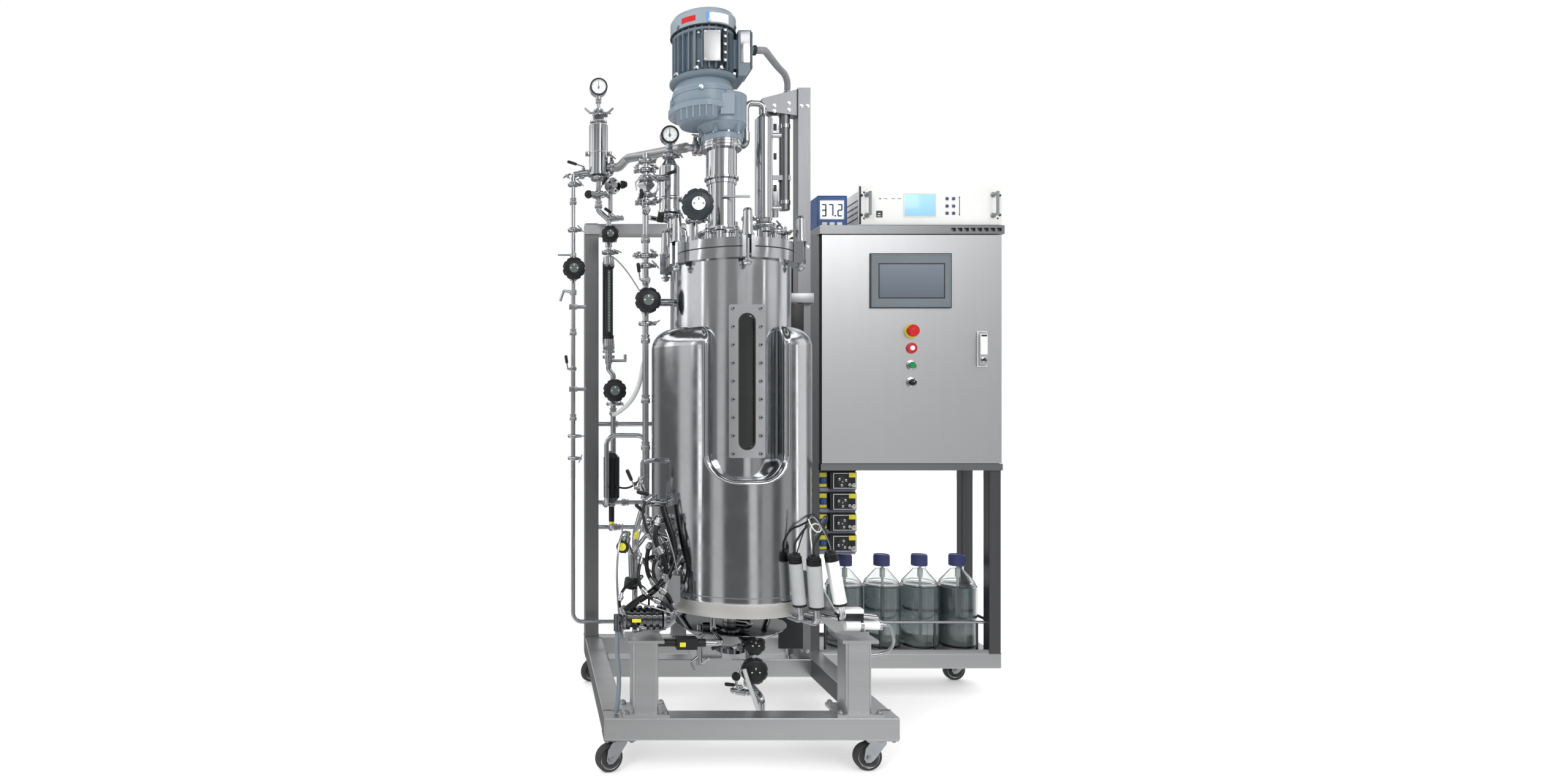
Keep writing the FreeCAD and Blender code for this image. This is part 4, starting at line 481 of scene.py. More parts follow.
def turn_shape(shape, outline, spot, way="z", steps=32):
    """Adds a turned solid: (radius, height) in millimetres. An outline that doesn't end at its first point or on
    the axis is closed flat at both ends."""
    if outline[0][0] and outline[0] != outline[-1]:
        outline = [(0, outline[0][1]), *outline, (0, outline[-1][1])]
    aim = AIM[way] if isinstance(way, str) else Vector((0, 0, 1)).rotation_difference(Vector(way)).to_matrix()
    rings = []
    for radius, height in outline:
        if rings and radius and (radius, height) == outline[0]:
            rings.append(rings[0])
            continue
        if radius == 0:
            rings.append([shape.verts.new(spot + aim @ Vector((0, 0, height * MM)))])
            continue
        turns = [2 * math.pi * k / steps for k in range(steps)]
        rings.append([shape.verts.new(spot + aim @ Vector((
            radius * MM * math.cos(turn), radius * MM * math.sin(turn), height * MM))) for turn in turns])
    for low, high in zip(rings, rings[1:]):
        for k in range(steps):
            ends = [low[k % len(low)], low[(k + 1) % len(low)], high[(k + 1) % len(high)], high[k % len(high)]]
            face = [v for i, v in enumerate(ends) if v not in ends[:i]]
            if len(face) > 2:
                shape.faces.new(face)


def bar_shape(shape, low, high, ease=1.0):
    """Adds a bar between two corners with its edges eased by a chamfer in millimetres."""
    made = bmesh.ops.create_cube(shape, size=1.0)["verts"]
    for vert in made:
        vert.co = Vector((low[i] + (vert.co[i] + 0.5) * (high[i] - low[i]) for i in range(3)))
    edges = list({edge for vert in made for edge in vert.link_edges})
    if ease:
        bmesh.ops.bevel(shape, geom=edges, offset=ease * MM, segments=2, affect="EDGES", profile=0.6)


def piece_from(name, shape, finish, body="skid", angle=40):
    """Closes a bmesh into a named piece with smooth shading, a finish and a body to ride on."""
    bmesh.ops.recalc_face_normals(shape, faces=shape.faces)
    shade_smooth(shape, angle)
    mesh = bpy.data.meshes.new(name)
    shape.to_mesh(mesh)
    shape.free()
    return piece_of(name, mesh, finish, body)


def piece_of(name, mesh, finish, body="skid"):
    made = bpy.data.objects.new(name, mesh)
    bpy.context.collection.objects.link(made)
    mesh.materials.clear()
    mesh.materials.append(FINISH[finish])
    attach(made, body)
    return made


def build(name, finish, *steps, slot=None, body="skid", angle=40):
    """A piece from shapes put together: each step is a shape function and what it is given after the mesh."""
    shape = bmesh.new()
    for make, *given in steps:
        make(shape, *given)
    return piece_from(name, shape, finish, body, angle)


def mesh_of(name, data, tree=None, inputs=None):
    """The mesh that a curve, a text or a node tree on a mesh comes to; the object that held it goes."""
    held = bpy.data.objects.new(name, data)
    bpy.context.collection.objects.link(held)
    if tree:
        live = held.modifiers.new("grow", "NODES")
        live.node_group = tree
        for key, value in inputs.items():
            live[key] = value
    mesh = bpy.data.meshes.new_from_object(held.evaluated_get(bpy.context.evaluated_depsgraph_get()))
    bpy.data.objects.remove(held)
    return mesh


def wire(name, points, radius, finish, body="skid"):
    """A round hose, lead or rod of constant radius along a smooth curve through points in layout millimetres."""
    curve = bpy.data.curves.new(name, "CURVE")
    curve.dimensions = "3D"
    run = curve.splines.new("NURBS")
    run.points.add(len(points) - 1)
    for bend, place in zip(run.points, points):
        bend.co = (*at(*place), 1)
    run.order_u = min(4, len(points))
    run.use_endpoint_u = True
    run.resolution_u = 8
    curve.bevel_depth = radius * MM
    curve.bevel_resolution = 4
    curve.use_fill_caps = True
    mesh = mesh_of(name, curve)
    for face in mesh.polygons:
        face.use_smooth = True
    return piece_of(name, mesh, finish, body)


# Where the upright lines and axes stand: x and y in layout millimetres.
VESSEL_AXIS, LANTERN_AXIS, MOTOR_AXIS = (592, 266), (568, 276), (513, 276)
EXHAUST_LINE, INLET_LINE, SPARGE_LINE, DRAIN_LINE = (241, 750), (430, 378), (346, 300), (642, 240)
STEAM_LINE, AIR_LINE, TRAP_LINE, WATER_LINE = (152, 750), (277, 750), (287, 750), (293, 750)
print("corner of the skid", [round(c, 4) for c in CORNER])

# %% [markdown]
# ## Screws, nuts and studs
# Screws, wing nuts, scale marks and cable duct fingers come in groups, all alike. Each group is one set of points
# that carry the way each piece faces, and a small node tree puts the same shape on every point. The trees start
# with the same kind of inputs and end with the same nodes, which the functions below give them. The
# first tree makes hexagon heads on a washer, with the sizes as inputs.

# %% What every node tree shares
SOCKET_KIND = {int: "NodeSocketInt", float: "NodeSocketFloat", tuple: "NodeSocketVector"}


def new_tree(name, taken, given, sizes):
    """An empty node tree with its inputs, and the names by which a modifier knows them."""
    tree = bpy.data.node_groups.new(name, "GeometryNodeTree")
    tree.interface.new_socket(taken, in_out="INPUT", socket_type="NodeSocketGeometry")
    tree.interface.new_socket(given, in_out="OUTPUT", socket_type="NodeSocketGeometry")
    inputs = {}
    for label, default in sizes.items():
        made = tree.interface.new_socket(label, in_out="INPUT", socket_type=SOCKET_KIND[type(default)])
        made.default_value = default
        inputs[label] = made.identifier
    finish = tree.interface.new_socket("Finish", in_out="INPUT", socket_type="NodeSocketMaterial")
    inputs["Finish"] = finish.identifier
    return tree, inputs


def maths(tree, how, first, second):
    return add(tree, "ShaderNodeMath", {0: first, 1: second}, operation=how).outputs[0]


def facing(tree):
    """The turn that points an upright shape along each point's own aim."""
    aim = add(tree, "GeometryNodeInputNamedAttribute", {"Name": "aim"}, data_type="FLOAT_VECTOR")
    return add(tree, "FunctionNodeAlignRotationToVector", {"Vector": aim.outputs["Attribute"]}, axis="Z").outputs[0]


def close_tree(tree, given, points, shape, smooth=False, **turns):
    """Puts the shape on every point, makes it real and gives it the finish."""
    made = add(tree, "GeometryNodeInstanceOnPoints", {"Points": points, "Instance": shape, **turns})
    made = add(tree, "GeometryNodeRealizeInstances", {"Geometry": made.outputs[0]})
    if smooth:
        made = add(tree, "GeometryNodeSetShadeSmooth", {"Geometry": made.outputs[0]})
    made = add(tree, "GeometryNodeSetMaterial", {"Geometry": made.outputs[0], "Material": given.outputs["Finish"]})
    add(tree, "NodeGroupOutput", {0: made.outputs[0]})


def joined_shapes(tree, shapes):
    joined = add(tree, "GeometryNodeJoinGeometry")
    for shape in shapes:
        tree.links.new(shape, joined.inputs[0])
    return joined.outputs[0]


def grown(name, spots, grower, sizes, finish, body="skid"):
    """Runs a node tree on points with the way each one faces, and keeps the result as a plain mesh."""
    tree, inputs = grower
    seed = bpy.data.meshes.new(name + "_points")
    seed.from_pydata([place for place, aim in spots], [], [])
    aims = seed.attributes.new("aim", "FLOAT_VECTOR", "POINT")
    aims.data.foreach_set("vector", [c for place, aim in spots for c in Vector(aim).normalized()])
    given = {inputs[label]: value for label, value in {**sizes, "Finish": FINISH[finish]}.items()}
    return piece_of(name, mesh_of(name + "_points", seed, tree, given), finish, body)


# %% One node tree for hexagon screws
SCREW = new_tree("hexagon_screws", "Points", "Screws",
                 {"Across": 0.01, "Tall": 0.005, "Washer": 0.007, "Stud": 0.003})
HEXAGON = 0.577    # a hexagon's corner radius for each unit across its flats


def build_screw_tree(tree):
    given = add(tree, "NodeGroupInput")
    across, tall = given.outputs["Across"], given.outputs["Tall"]
    half = maths(tree, "MULTIPLY", tall, 0.5)
    head = add(tree, "GeometryNodeMeshCylinder", {
        "Vertices": 6, "Radius": maths(tree, "MULTIPLY", across, HEXAGON), "Depth": tall})
    lift = add(tree, "ShaderNodeCombineXYZ", {"Z": half})
    raised = add(tree, "GeometryNodeTransform", {"Geometry": head.outputs["Mesh"], "Translation": lift.outputs[0]})
    washer = add(tree, "GeometryNodeMeshCylinder", {
        "Vertices": 20, "Radius": given.outputs["Washer"], "Depth": maths(tree, "MULTIPLY", tall, 0.4)})
    stud = add(tree, "GeometryNodeMeshCylinder", {
        "Vertices": 14, "Radius": given.outputs["Stud"], "Depth": maths(tree, "MULTIPLY", tall, 2.6)})
    whole = joined_shapes(tree, (raised.outputs[0], washer.outputs["Mesh"], stud.outputs["Mesh"]))
    close_tree(tree, given, given.outputs["Points"], whole, Rotation=facing(tree))


build_screw_tree(SCREW[0])


def screws(name, spots, across, tall, finish="bright_zinc", washer=None, stud=None, body="skid"):
    made = grown(name, spots, SCREW, {
        "Across": across * MM, "Tall": tall * MM, "Washer": (washer or across * 0.75) * MM,
        "Stud": (stud or across * 0.3) * MM}, finish, body)
    print(name, len(spots), "screws,", len(made.data.polygons), "faces")
    return made


# %% [markdown]
# ## The vessel's bolted window and its seams
# The sight glass sits under a long plate held by two rows of screws, with a dark gasket showing round the glass.
# The cladding is rolled sheet, so it has one upright seam and a ring seam where the wall meets the bottom, each
# ground almost flush. They are thin proud lines, because a real one catches the light as a fine bright edge.

# %% Sight glass screws, gasket and frame edge
frame_low, frame_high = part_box("sight_glass_frame")
vessel_low, vessel_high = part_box("vessel_shell")
axis_x, axis_y = (vessel_low.x + vessel_high.x) / 2, (vessel_low.y + vessel_high.y) / 2
middle_x = (frame_low.x + frame_high.x) / 2
ROW_STEP = (frame_high.z - frame_low.z - 22 * MM) / 8
window_spots = [((middle_x + side * 38 * MM, frame_low.y, frame_low.z + 11 * MM + k * ROW_STEP), (0, -1, 0))
                for side in (-1, 1) for k in range(9)]
screws("sight_glass_screws", window_spots, 9, 5.0, stud=1)
# The sockets are dark hexagons standing on the heads: painted shade in the holes.
screws("sight_glass_screw_sockets", window_spots, 5, 5.6, finish="dark_steel", washer=2, stud=1)


def obround_ring(name, low_z, high_z, inner, outer, front, deep, finish):
    """A flat ring with round ends, such as the gasket that shows round the glass."""
    shape = bmesh.new()
    loops = []
    for radius, y in ((inner, front), (outer, front), (outer, front + deep), (inner, front + deep)):
        ring = []
        for centre, start in ((high_z - inner, 0), (low_z + inner, math.pi)):
            for k in range(17):
                turn = start + math.pi * k / 16
                ring.append(shape.verts.new((middle_x + radius * math.cos(turn), y,
                                             centre + radius * math.sin(turn))))
        loops.append(ring)
    for a, b in zip(loops, loops[1:] + loops[:1]):
        for k in range(len(a)):
            shape.faces.new((a[k], a[(k + 1) % len(a)], b[(k + 1) % len(b)], b[k]))
    return piece_from(name, shape, finish)


glass_low, glass_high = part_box("sight_glass")
obround_ring("sight_glass_gasket", glass_low.z + 0.1 * MM, glass_high.z - 0.1 * MM, 20.4 * MM, 23.5 * MM,
             frame_low.y - 0.8 * MM, 3 * MM, "black_rubber")
print("window from", round(glass_low.z, 3), "to", round(glass_high.z, 3))

# %% Seams, gaskets and the cladding's foot
jacket_low, jacket_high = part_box("insulation_jacket")
jacket_r = (jacket_high.x - jacket_low.x) / 2 / MM
flange_r = (vessel_high.x - vessel_low.x) / 2 / MM


def seam_ring(shape, radius, height, wide, proud=0.5):
    turn_shape_open(shape, [(radius - 0.4, height - wide / 2), (radius + proud, height - wide / 3),
                            (radius + proud, height + wide / 3), (radius - 0.4, height + wide / 2)], 128)


def turn_shape_open(shape, outline, steps):
    """A closed ring turned about the vessel's axis from a four-sided section; heights are from the floor."""
    rings = [[shape.verts.new((axis_x + r * MM * math.cos(2 * math.pi * k / steps),
                               axis_y + r * MM * math.sin(2 * math.pi * k / steps), h * MM)) for k in range(steps)]
             for r, h in outline]
    for a, b in zip(rings, rings[1:] + rings[:1]):
        for k in range(steps):
            shape.faces.new((a[k], a[(k + 1) % steps], b[(k + 1) % steps], b[k]))


seams = bmesh.new()
foot = jacket_low.z / MM + 76
seam_ring(seams, jacket_r, foot, 3.5)
bar_shape(seams, Vector((axis_x - 2 * MM, axis_y + jacket_r * MM - 0.5 * MM, jacket_low.z + 80 * MM)),
          Vector((axis_x + 2 * MM, axis_y + jacket_r * MM + 0.5 * MM, jacket_low.z + 780 * MM)), 0.2)
piece_from("cladding_seams", seams, "brushed_z")
# The band at the cladding's foot is real; its near-white tone is a painted highlight.
build("cladding_skirt", "blasted_steel", (seam_ring, jacket_r, 426, 40, 1.4), slot="brushed_stainless")
build("lid_gasket", "black_rubber",
      (turn_shape_open, [(flange_r - 6, vessel_high.z / MM - 1.6), (flange_r + 0.3, vessel_high.z / MM - 1.6),
                         (flange_r + 0.3, vessel_high.z / MM + 1.6), (flange_r - 6, vessel_high.z / MM + 1.6)], 128))
print("seam ring at", round(foot), "mm")

# %% [markdown]
# ## Lid fittings
# The ports on the lid end in ferrules, and what hangs from them is held by clamps. Plain blank caps, a rupture
# disc and a lamp port fill the ones that carry nothing. The swing bolts pull the lid down with tall domed nuts
# that a bar fits through.

# %% Caps, ferrules and tall nuts
def ferrule_outline(radius, tall):
    return [(radius, 0), (radius, tall - 9), (radius + 7, tall - 6), (radius + 7, tall - 3.5),
            (radius + 5, tall - 3.5), (radius + 5, tall - 1), (radius + 7, tall - 1), (radius + 7, tall + 2),
            (radius + 2, tall + 5)]


lid_fittings = bmesh.new()
lid_top = Vector((axis_x, axis_y, at(0, 0, 1444).z))
for across, deep, radius, tall in ((-30, 148, 16, 46), (60, 138, 12, 40), (136, -20, 11, 44), (-150, 22, 12, 42),
                                   (-62, -138, 10, 34), (66, -136, 8, 30)):
    turn_shape(lid_fittings, ferrule_outline(radius, tall), lid_top + Vector((across, deep, 0)) * MM, "z", 40)
for across, deep in ((-96, -128), (136, -92), (-20, -158), (96, -126)):
    turn_shape(lid_fittings, [(9, 0), (9, 8), (6, 8), (6, 22), (8, 24), (8, 30), (4, 34), (4, 46)],
               lid_top + Vector((across, deep, 0)) * MM, "z", 20)
piece_from("lid_fittings", lid_fittings, "polished_stainless")
nut_spots = []
clamp_nuts = bmesh.new()
for turn in range(30, 360, 60):
    spoke = Vector((math.cos(math.radians(turn)), math.sin(math.radians(turn)), 0))
    foot_spot = lid_top + spoke * (flange_r + 14) * MM
    turn_shape(clamp_nuts, [(0, 66), (12.2, 66), (12.6, 69), (9, 74), (0, 76)], foot_spot, "z", 24)
    turn_shape(clamp_nuts, [(19, 0), (19, 3), (16.5, 4)], foot_spot, "z", 28)
    nut_spots.append(((foot_spot.x, foot_spot.y, foot_spot.z - 70 * MM), (0, 0, -1)))
piece_from("swing_bolt_nuts", clamp_nuts, "polished_stainless")
screws("swing_bolt_ends", nut_spots, 18, 9)
print("lid fittings on a radius of", round(flange_r), "mm")

# %% [markdown]
# ## The drive
# The geared motor is two castings bolted together. What tells it from a plain cylinder are the nuts round the joint,
# the eased flanges, the lid of the terminal box with its corner screws, an oil plug and a rating plate. The
# plate's print is left off, so it is a bare anodised sheet with four rivets.

# %% Flanges, nuts and plates of the drive
motor_low, motor_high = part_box("motor_housing")
motor_x, motor_y = (motor_low.x + motor_high.x) / 2, (motor_low.y + motor_high.y) / 2
cowl_low, cowl_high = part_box("fan_cowl")
box_low, box_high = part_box("terminal_box")
motor_front = (motor_low.y - CORNER.y) / MM
flanges = bmesh.new()
centre = Vector((motor_x, motor_y, 0))
turn_shape(flanges, [(88, 0), (96, 3), (98, 6), (98, 13), (95, 16), (84, 17)],
           centre + Vector((0, 0, motor_low.z)), "z", 72)
turn_shape(flanges, [(84, 0), (90, 2), (90, 9), (86, 12)],
           centre + Vector((0, 0, cowl_low.z - 13 * MM)), "z", 72)
piece_from("motor_flanges", flanges, "blue_grey_paint")
ring = []
for k in range(8):
    turn = math.radians(22.5 + 45 * k)
    ring.append((tuple(centre + Vector((91 * MM * math.cos(turn), 91 * MM * math.sin(turn), motor_low.z + 17 * MM))),
                 (0, 0, 1)))
screws("motor_joint_nuts", ring, 13, 8, stud=4)
lugs = []
for k in range(6):
    turn = math.radians(60 * k + 30)
    lugs.append((tuple(centre + Vector((96.2 * MM * math.cos(turn), 96.2 * MM * math.sin(turn),
                                        cowl_low.z + 9 * MM))),
                 (math.cos(turn), math.sin(turn), 0)))
screws("cowl_screws", lugs, 8, 3)
rods = bmesh.new()
for turn in (-62, -118, 62, 118):
    spoke = Vector((math.cos(math.radians(turn)), math.sin(math.radians(turn)), 0)) * 86 * MM
    turn_shape(rods, [(3, 0), (3, 152), (5.6, 152), (5.6, 160)],
               centre + spoke + Vector((0, 0, motor_low.z + 8 * MM)), "z", 12)
piece_from("motor_tie_rods", rods, "bright_zinc")
build("rating_plate", "anodised_plate",
      (bar_shape, Vector((motor_x - 17 * MM, motor_low.y - 3 * MM, motor_low.z + 38 * MM)),
       Vector((motor_x + 31 * MM, motor_low.y + 0.5 * MM, motor_low.z + 126 * MM)), 0.6),
      slot="bright_zinc")
plate_spots = [((motor_x + x * MM, motor_low.y - 3 * MM, motor_low.z + z * MM),
                (0, -1, 0)) for x in (-13, 27) for z in (43, 121)]
screws("rating_plate_rivets", plate_spots, 4, 1.6)
side_strip, clips = bmesh.new(), bmesh.new()
bar_shape(side_strip, at(551, motor_front - 1, 1962), at(563, motor_front + 24, 2062), 1.0)
for z in (1968, 1990, 2014, 2036, 2054):
    bar_shape(clips, at(552.5, motor_front - 4, z - 4.5), at(561.5, motor_front + 4, z + 4.5), 1.2)
for z in (1968, 2050):
    turn_shape(clips, [(0, 0), (4.6, 0), (4.6, 4), (3.2, 7), (0, 7.5)], at(482, motor_front + 11, z), "-y", 16)
piece_from("motor_terminal_strip", side_strip, "dark_plastic")
piece_from("motor_clips", clips, "bright_zinc")


def curved_plate(name, radius, turns, heights, finish, count=10, thick=0.7):
    """A thin plate bent round the motor's axis, between two angles and two heights."""
    shape, loops = bmesh.new(), []
    for r in (radius, radius + thick):
        ways = [math.radians(turns[0] + (turns[1] - turns[0]) * k / count) for k in range(count + 1)]
        loops.append([[shape.verts.new(Vector((motor_x + r * MM * math.cos(way), motor_y + r * MM * math.sin(way),
                                               z * MM))) for way in ways] for z in heights])
    (inner_low, inner_high), (outer_low, outer_high) = loops
    for k in range(count):
        for a, b in ((inner_low, inner_high), (inner_high, outer_high), (outer_high, outer_low),
                     (outer_low, inner_low)):
            shape.faces.new((a[k], a[k + 1], b[k + 1], b[k]))
    for k in (0, count):
        shape.faces.new((inner_low[k], inner_high[k], outer_high[k], outer_low[k]))
    piece_from(name, shape, finish)


FINISH["blue_display_sheet"] = moulded("printed_blue_sheet", "#5f94d4", 0.3)
cowl_r, cowl_foot = (cowl_high.x - cowl_low.x) / 2 / MM, cowl_low.z / MM
curved_plate("cowl_label", cowl_r - 0.5, (-90, -52), (cowl_foot + 7, cowl_foot + 33), "white_plastic")
curved_plate("cowl_label_stripe", cowl_r - 0.5, (-96, -91), (cowl_foot + 4, cowl_foot + 35), "blue_display_sheet")
curved_plate("cowl_badge", cowl_r - 0.5, (-141, -114), (cowl_foot + 13, cowl_foot + 29), "red_plastic")
build("cowl_lip", "dark_plastic",
      (turn_shape, [(cowl_r - 3, 0), (cowl_r + 0.6, 0), (cowl_r + 1.2, 1.5), (cowl_r + 0.6, 3.6), (cowl_r - 3, 3.6),
                    (cowl_r - 3, 0)], Vector((motor_x, motor_y, cowl_low.z - 1 * MM)), "z", 72))
print("motor on", [round(c, 3) for c in centre])

# %% Terminal box cover, glands and gearbox plugs
BOX_JOINT, BOX_FACE = at(641, 0, 0).x, at(647, 0, 0).x
build("terminal_box_gasket", "dark_plastic",
      (bar_shape, Vector((BOX_JOINT - 1.5 * MM, box_low.y - 1 * MM, box_low.z + 20 * MM)),
       Vector((BOX_JOINT + 1.5 * MM, box_high.y + 1 * MM, box_high.z - 2 * MM)), 1.0),
      slot="black_rubber")
build("terminal_box_plate", "polished_stainless",
      (bar_shape, Vector((BOX_JOINT - 30 * MM, box_low.y - 1.6 * MM, box_low.z + 37 * MM)),
       Vector((BOX_JOINT - 2.5 * MM, box_low.y + 1 * MM, box_high.z - 1.5 * MM)), 0.8),
      slot="light_grey_paint")
gland = bmesh.new()
hub = Vector((BOX_FACE, motor_y, at(0, 0, 2035).z))
turn_shape(gland, [(15, 0), (15, 7), (12.5, 8), (12.5, 14), (14.5, 15), (14.5, 22), (11, 25)], hub, "x", 24)
piece_from("terminal_box_gland", gland, "dark_plastic")
corners = [((BOX_FACE, y, z), (1, 0, 0)) for y in (box_low.y + 12 * MM, box_high.y - 12 * MM)
           for z in (box_low.z + 33 * MM, box_high.z - 12 * MM)]
screws("terminal_box_screws", corners, 6, 2.5)
gear_low, gear_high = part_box("gearbox")
lantern_x = at(568, 0, 0).x
plugs = [(at(489, motor_front + 2, 1893), (0, -1, 0)), (at(466, motor_front + 16, 1818), (0, -1, 0)),
         (at(480, motor_front + 10, 1815), (0, -1, 0))]
screws("oil_plugs", plugs, 9, 6, finish="polished_stainless")
foot_ring = []
for k in range(8):
    turn = math.radians(45 * k + 10)
    foot_ring.append(((lantern_x + 51 * MM * math.cos(turn), motor_y + 51 * MM * math.sin(turn),
                       gear_low.z + 16 * MM), (0, 0, 1)))
screws("lantern_bolts", foot_ring, 10, 6)
ribs = bmesh.new()
turn_shape(ribs, [(86, 0), (92, 2), (92, 8), (88, 11)], Vector((motor_x, motor_y, gear_low.z + 128 * MM)), "z", 72)


def on_circle(centre, radius, turn):
    return centre[0] + radius * math.cos(turn), centre[1] + radius * math.sin(turn)


def split_flange(shape, height, tall, proud):
    """A flange that runs round both shafts of the gearbox: the outline is a band over two circles."""
    rings = []
    for lift, inset in ((0, 3), (2, 0), (tall - 2, 0), (tall, 3), (tall, 40)):
        ring = []
        for k in range(48):
            turn = math.radians(90 + 180 * k / 47)
            ring.append(on_circle(MOTOR_AXIS, 92 + proud - inset, turn))
        for k in range(32):
            turn = math.radians(-90 + 180 * k / 31)
            ring.append((572 + (53 + proud - inset) * math.cos(turn), 276 + (64 + proud - inset) * math.sin(turn)))
        rings.append([shape.verts.new(at(x, y, height + lift)) for x, y in ring])
    for a, b in zip(rings, rings[1:]):
        for k in range(len(a)):
            shape.faces.new((a[k], a[(k + 1) % len(a)], b[(k + 1) % len(b)], b[k]))
    shape.faces.new(rings[0])
    shape.faces.new(rings[-1])


split_flange(ribs, 1838, 20, 9.5)
curved_plate("gearbox_shadow_band", 98.6, (-150, -78), (1804, 1838), "blue_grey_paint")
for k in range(6):
    x, y = on_circle(MOTOR_AXIS, 99, math.radians(-140 + 11 * k))
    bar_shape(ribs, at(x - 2.5, y - 2.5, 1806), at(x + 2.5, y + 2.5, 1840), 1.2)
piece_from("gearbox_ribs", ribs, "casting_enamel")
build("lantern_clamp", "polished_stainless",
      (turn_shape, [(41, -8), (56, -8), (60, -4), (60, 4), (56, 8), (41, 8), (41, -8)], at(*LANTERN_AXIS, 1748), "z",
       64),
      (turn_shape, [(41, -3), (50, -3), (50, 3), (41, 3), (41, -3)], at(*LANTERN_AXIS, 1652), "z", 64))
print("gearbox from", round(gear_low.z, 3), "to", round(gear_high.z, 3))

# %% [markdown]
# ## Reading the construction's own solids
# Several nodes hold many separate solids, such as all the pipe clamps. Their boxes are read from the mesh, so a
# screw or a nut put on each one follows the construction if it moves. A second helper gives the faces in one part
# of a piece another finish.

# %% Loose solids and repainted regions
def layout(place):
    """A point of the frame in millimetres from the skid's front left corner."""
    return (Vector(place) - CORNER) / MM


def solids_of(node):
    """The corners of each loose solid of a node, in layout millimetres."""
    shape = bmesh.new()
    shape.from_mesh(nodes[node].data)
    bmesh.ops.remove_doubles(shape, verts=shape.verts, dist=WELD_GAP)
    seen, boxes = set(), []
    for start in shape.verts:
        if start in seen:
            continue
        seen.add(start)
        waiting, held = [start], []
        while waiting:
            vert = waiting.pop()
            held.append(layout(vert.co))
            for edge in vert.link_edges:
                other = edge.other_vert(vert)
                if other not in seen:
                    seen.add(other)
                    waiting.append(other)
        boxes.append((Vector(min(p[i] for p in held) for i in range(3)),
                      Vector(max(p[i] for p in held) for i in range(3))))
    shape.free()
    return boxes


def darken_sides(piece, finish):
    """Faces of a welded frame that look sideways get the darker copy of the steel: painted shade."""
    mesh = piece.data
    mesh.materials.append(FINISH[finish])
    for face in mesh.polygons:
        if abs(face.normal.x) > 0.9:
            face.material_index = len(mesh.materials) - 1


def repaint(piece, finish, chosen):
    """Gives the faces whose middle passes the test, in layout millimetres, a second finish."""
    mesh = piece.data
    mesh.materials.append(FINISH[finish])
    number, count = len(mesh.materials) - 1, 0
    for face in mesh.polygons:
        if chosen(layout(face.center)):
            face.material_index = number
            count += 1
    print(piece.name, "has", count, "faces in", finish)


darken_sides(SURFACES["skid_frame"], "shaded_frame_steel")
for node, finish, chosen in (
        # The cabinet frame above its foot takes the darker steel: painted shade.
        ("cabinet_frame", "shaded_frame_steel", lambda p: p.z > 165),
        ("cabinet_frame", "bright_zinc", lambda p: 236 < p.z < 256 and 985 < p.x < 1549),
        ("flexible_lines", "conduit_grey", lambda p: p.z > 1900),
        ("flexible_lines", "clear_hose", lambda p: p.x < 400 and p.z > 900),
        ("flexible_lines", "panel_grey", lambda p: p.x < 260 and p.y < 70),
        ("flexible_lines", "bright_zinc", lambda p: p.x > 850 and p.z < 900),
        # The vessel's bottom takes the darker polished steel: painted shade.
        ("insulation_jacket", "dark_chrome", lambda p: p.z < 404),
        ("vessel_shell", "dark_chrome", lambda p: p.z < 402),
        ("process_pipes", "anodised_plate", lambda p: p.z > 1735 and 240 < p.x < 530),
        ("sensor_probes", "probe_shell", lambda p: p.x < 800 and p.y < 60),
        # The piping frame's top takes the lighter steel: painted light.
        ("piping_frame", "lit_beam_steel", lambda p: p.z > 1584),
        ("sensor_probes", "black_plastic", lambda p: p.z > 553 and p.x < 840),
        ("sensor_probes", "polished_stainless", lambda p: p.z < 438 and p.x < 840),
        ("gas_analyser", "conduit_grey", lambda p: p.y < 628),
        ("solenoid_valves", "dark_steel", lambda p: p.y > 600),
        # The actuator's casting takes the darker polished steel: painted shade.
        ("solenoid_valves", "dark_chrome", lambda p: p.x < 385 and p.y < 200 and p.z > 370),
        ("flow_meter", "polished_stainless", lambda p: p.z < 1216.5 or p.z > 1477.5)):
    repaint(SURFACES[node], finish, chosen)

# %% [markdown]
# ## Wing nuts and clamp bands
# Each sanitary clamp closes with a wing nut: a boss, two thin rounded wings and the end of its bolt. The nut
# grows on every clamp from one set of points. The band of the clamp is a wedge: two slopes press the ferrules
# together, and the middle is flat.

# %% A node tree for wing nuts
WING_NUT = new_tree("wing_nuts", "Points", "Nuts", {"Boss": 0.005, "Span": 0.012})


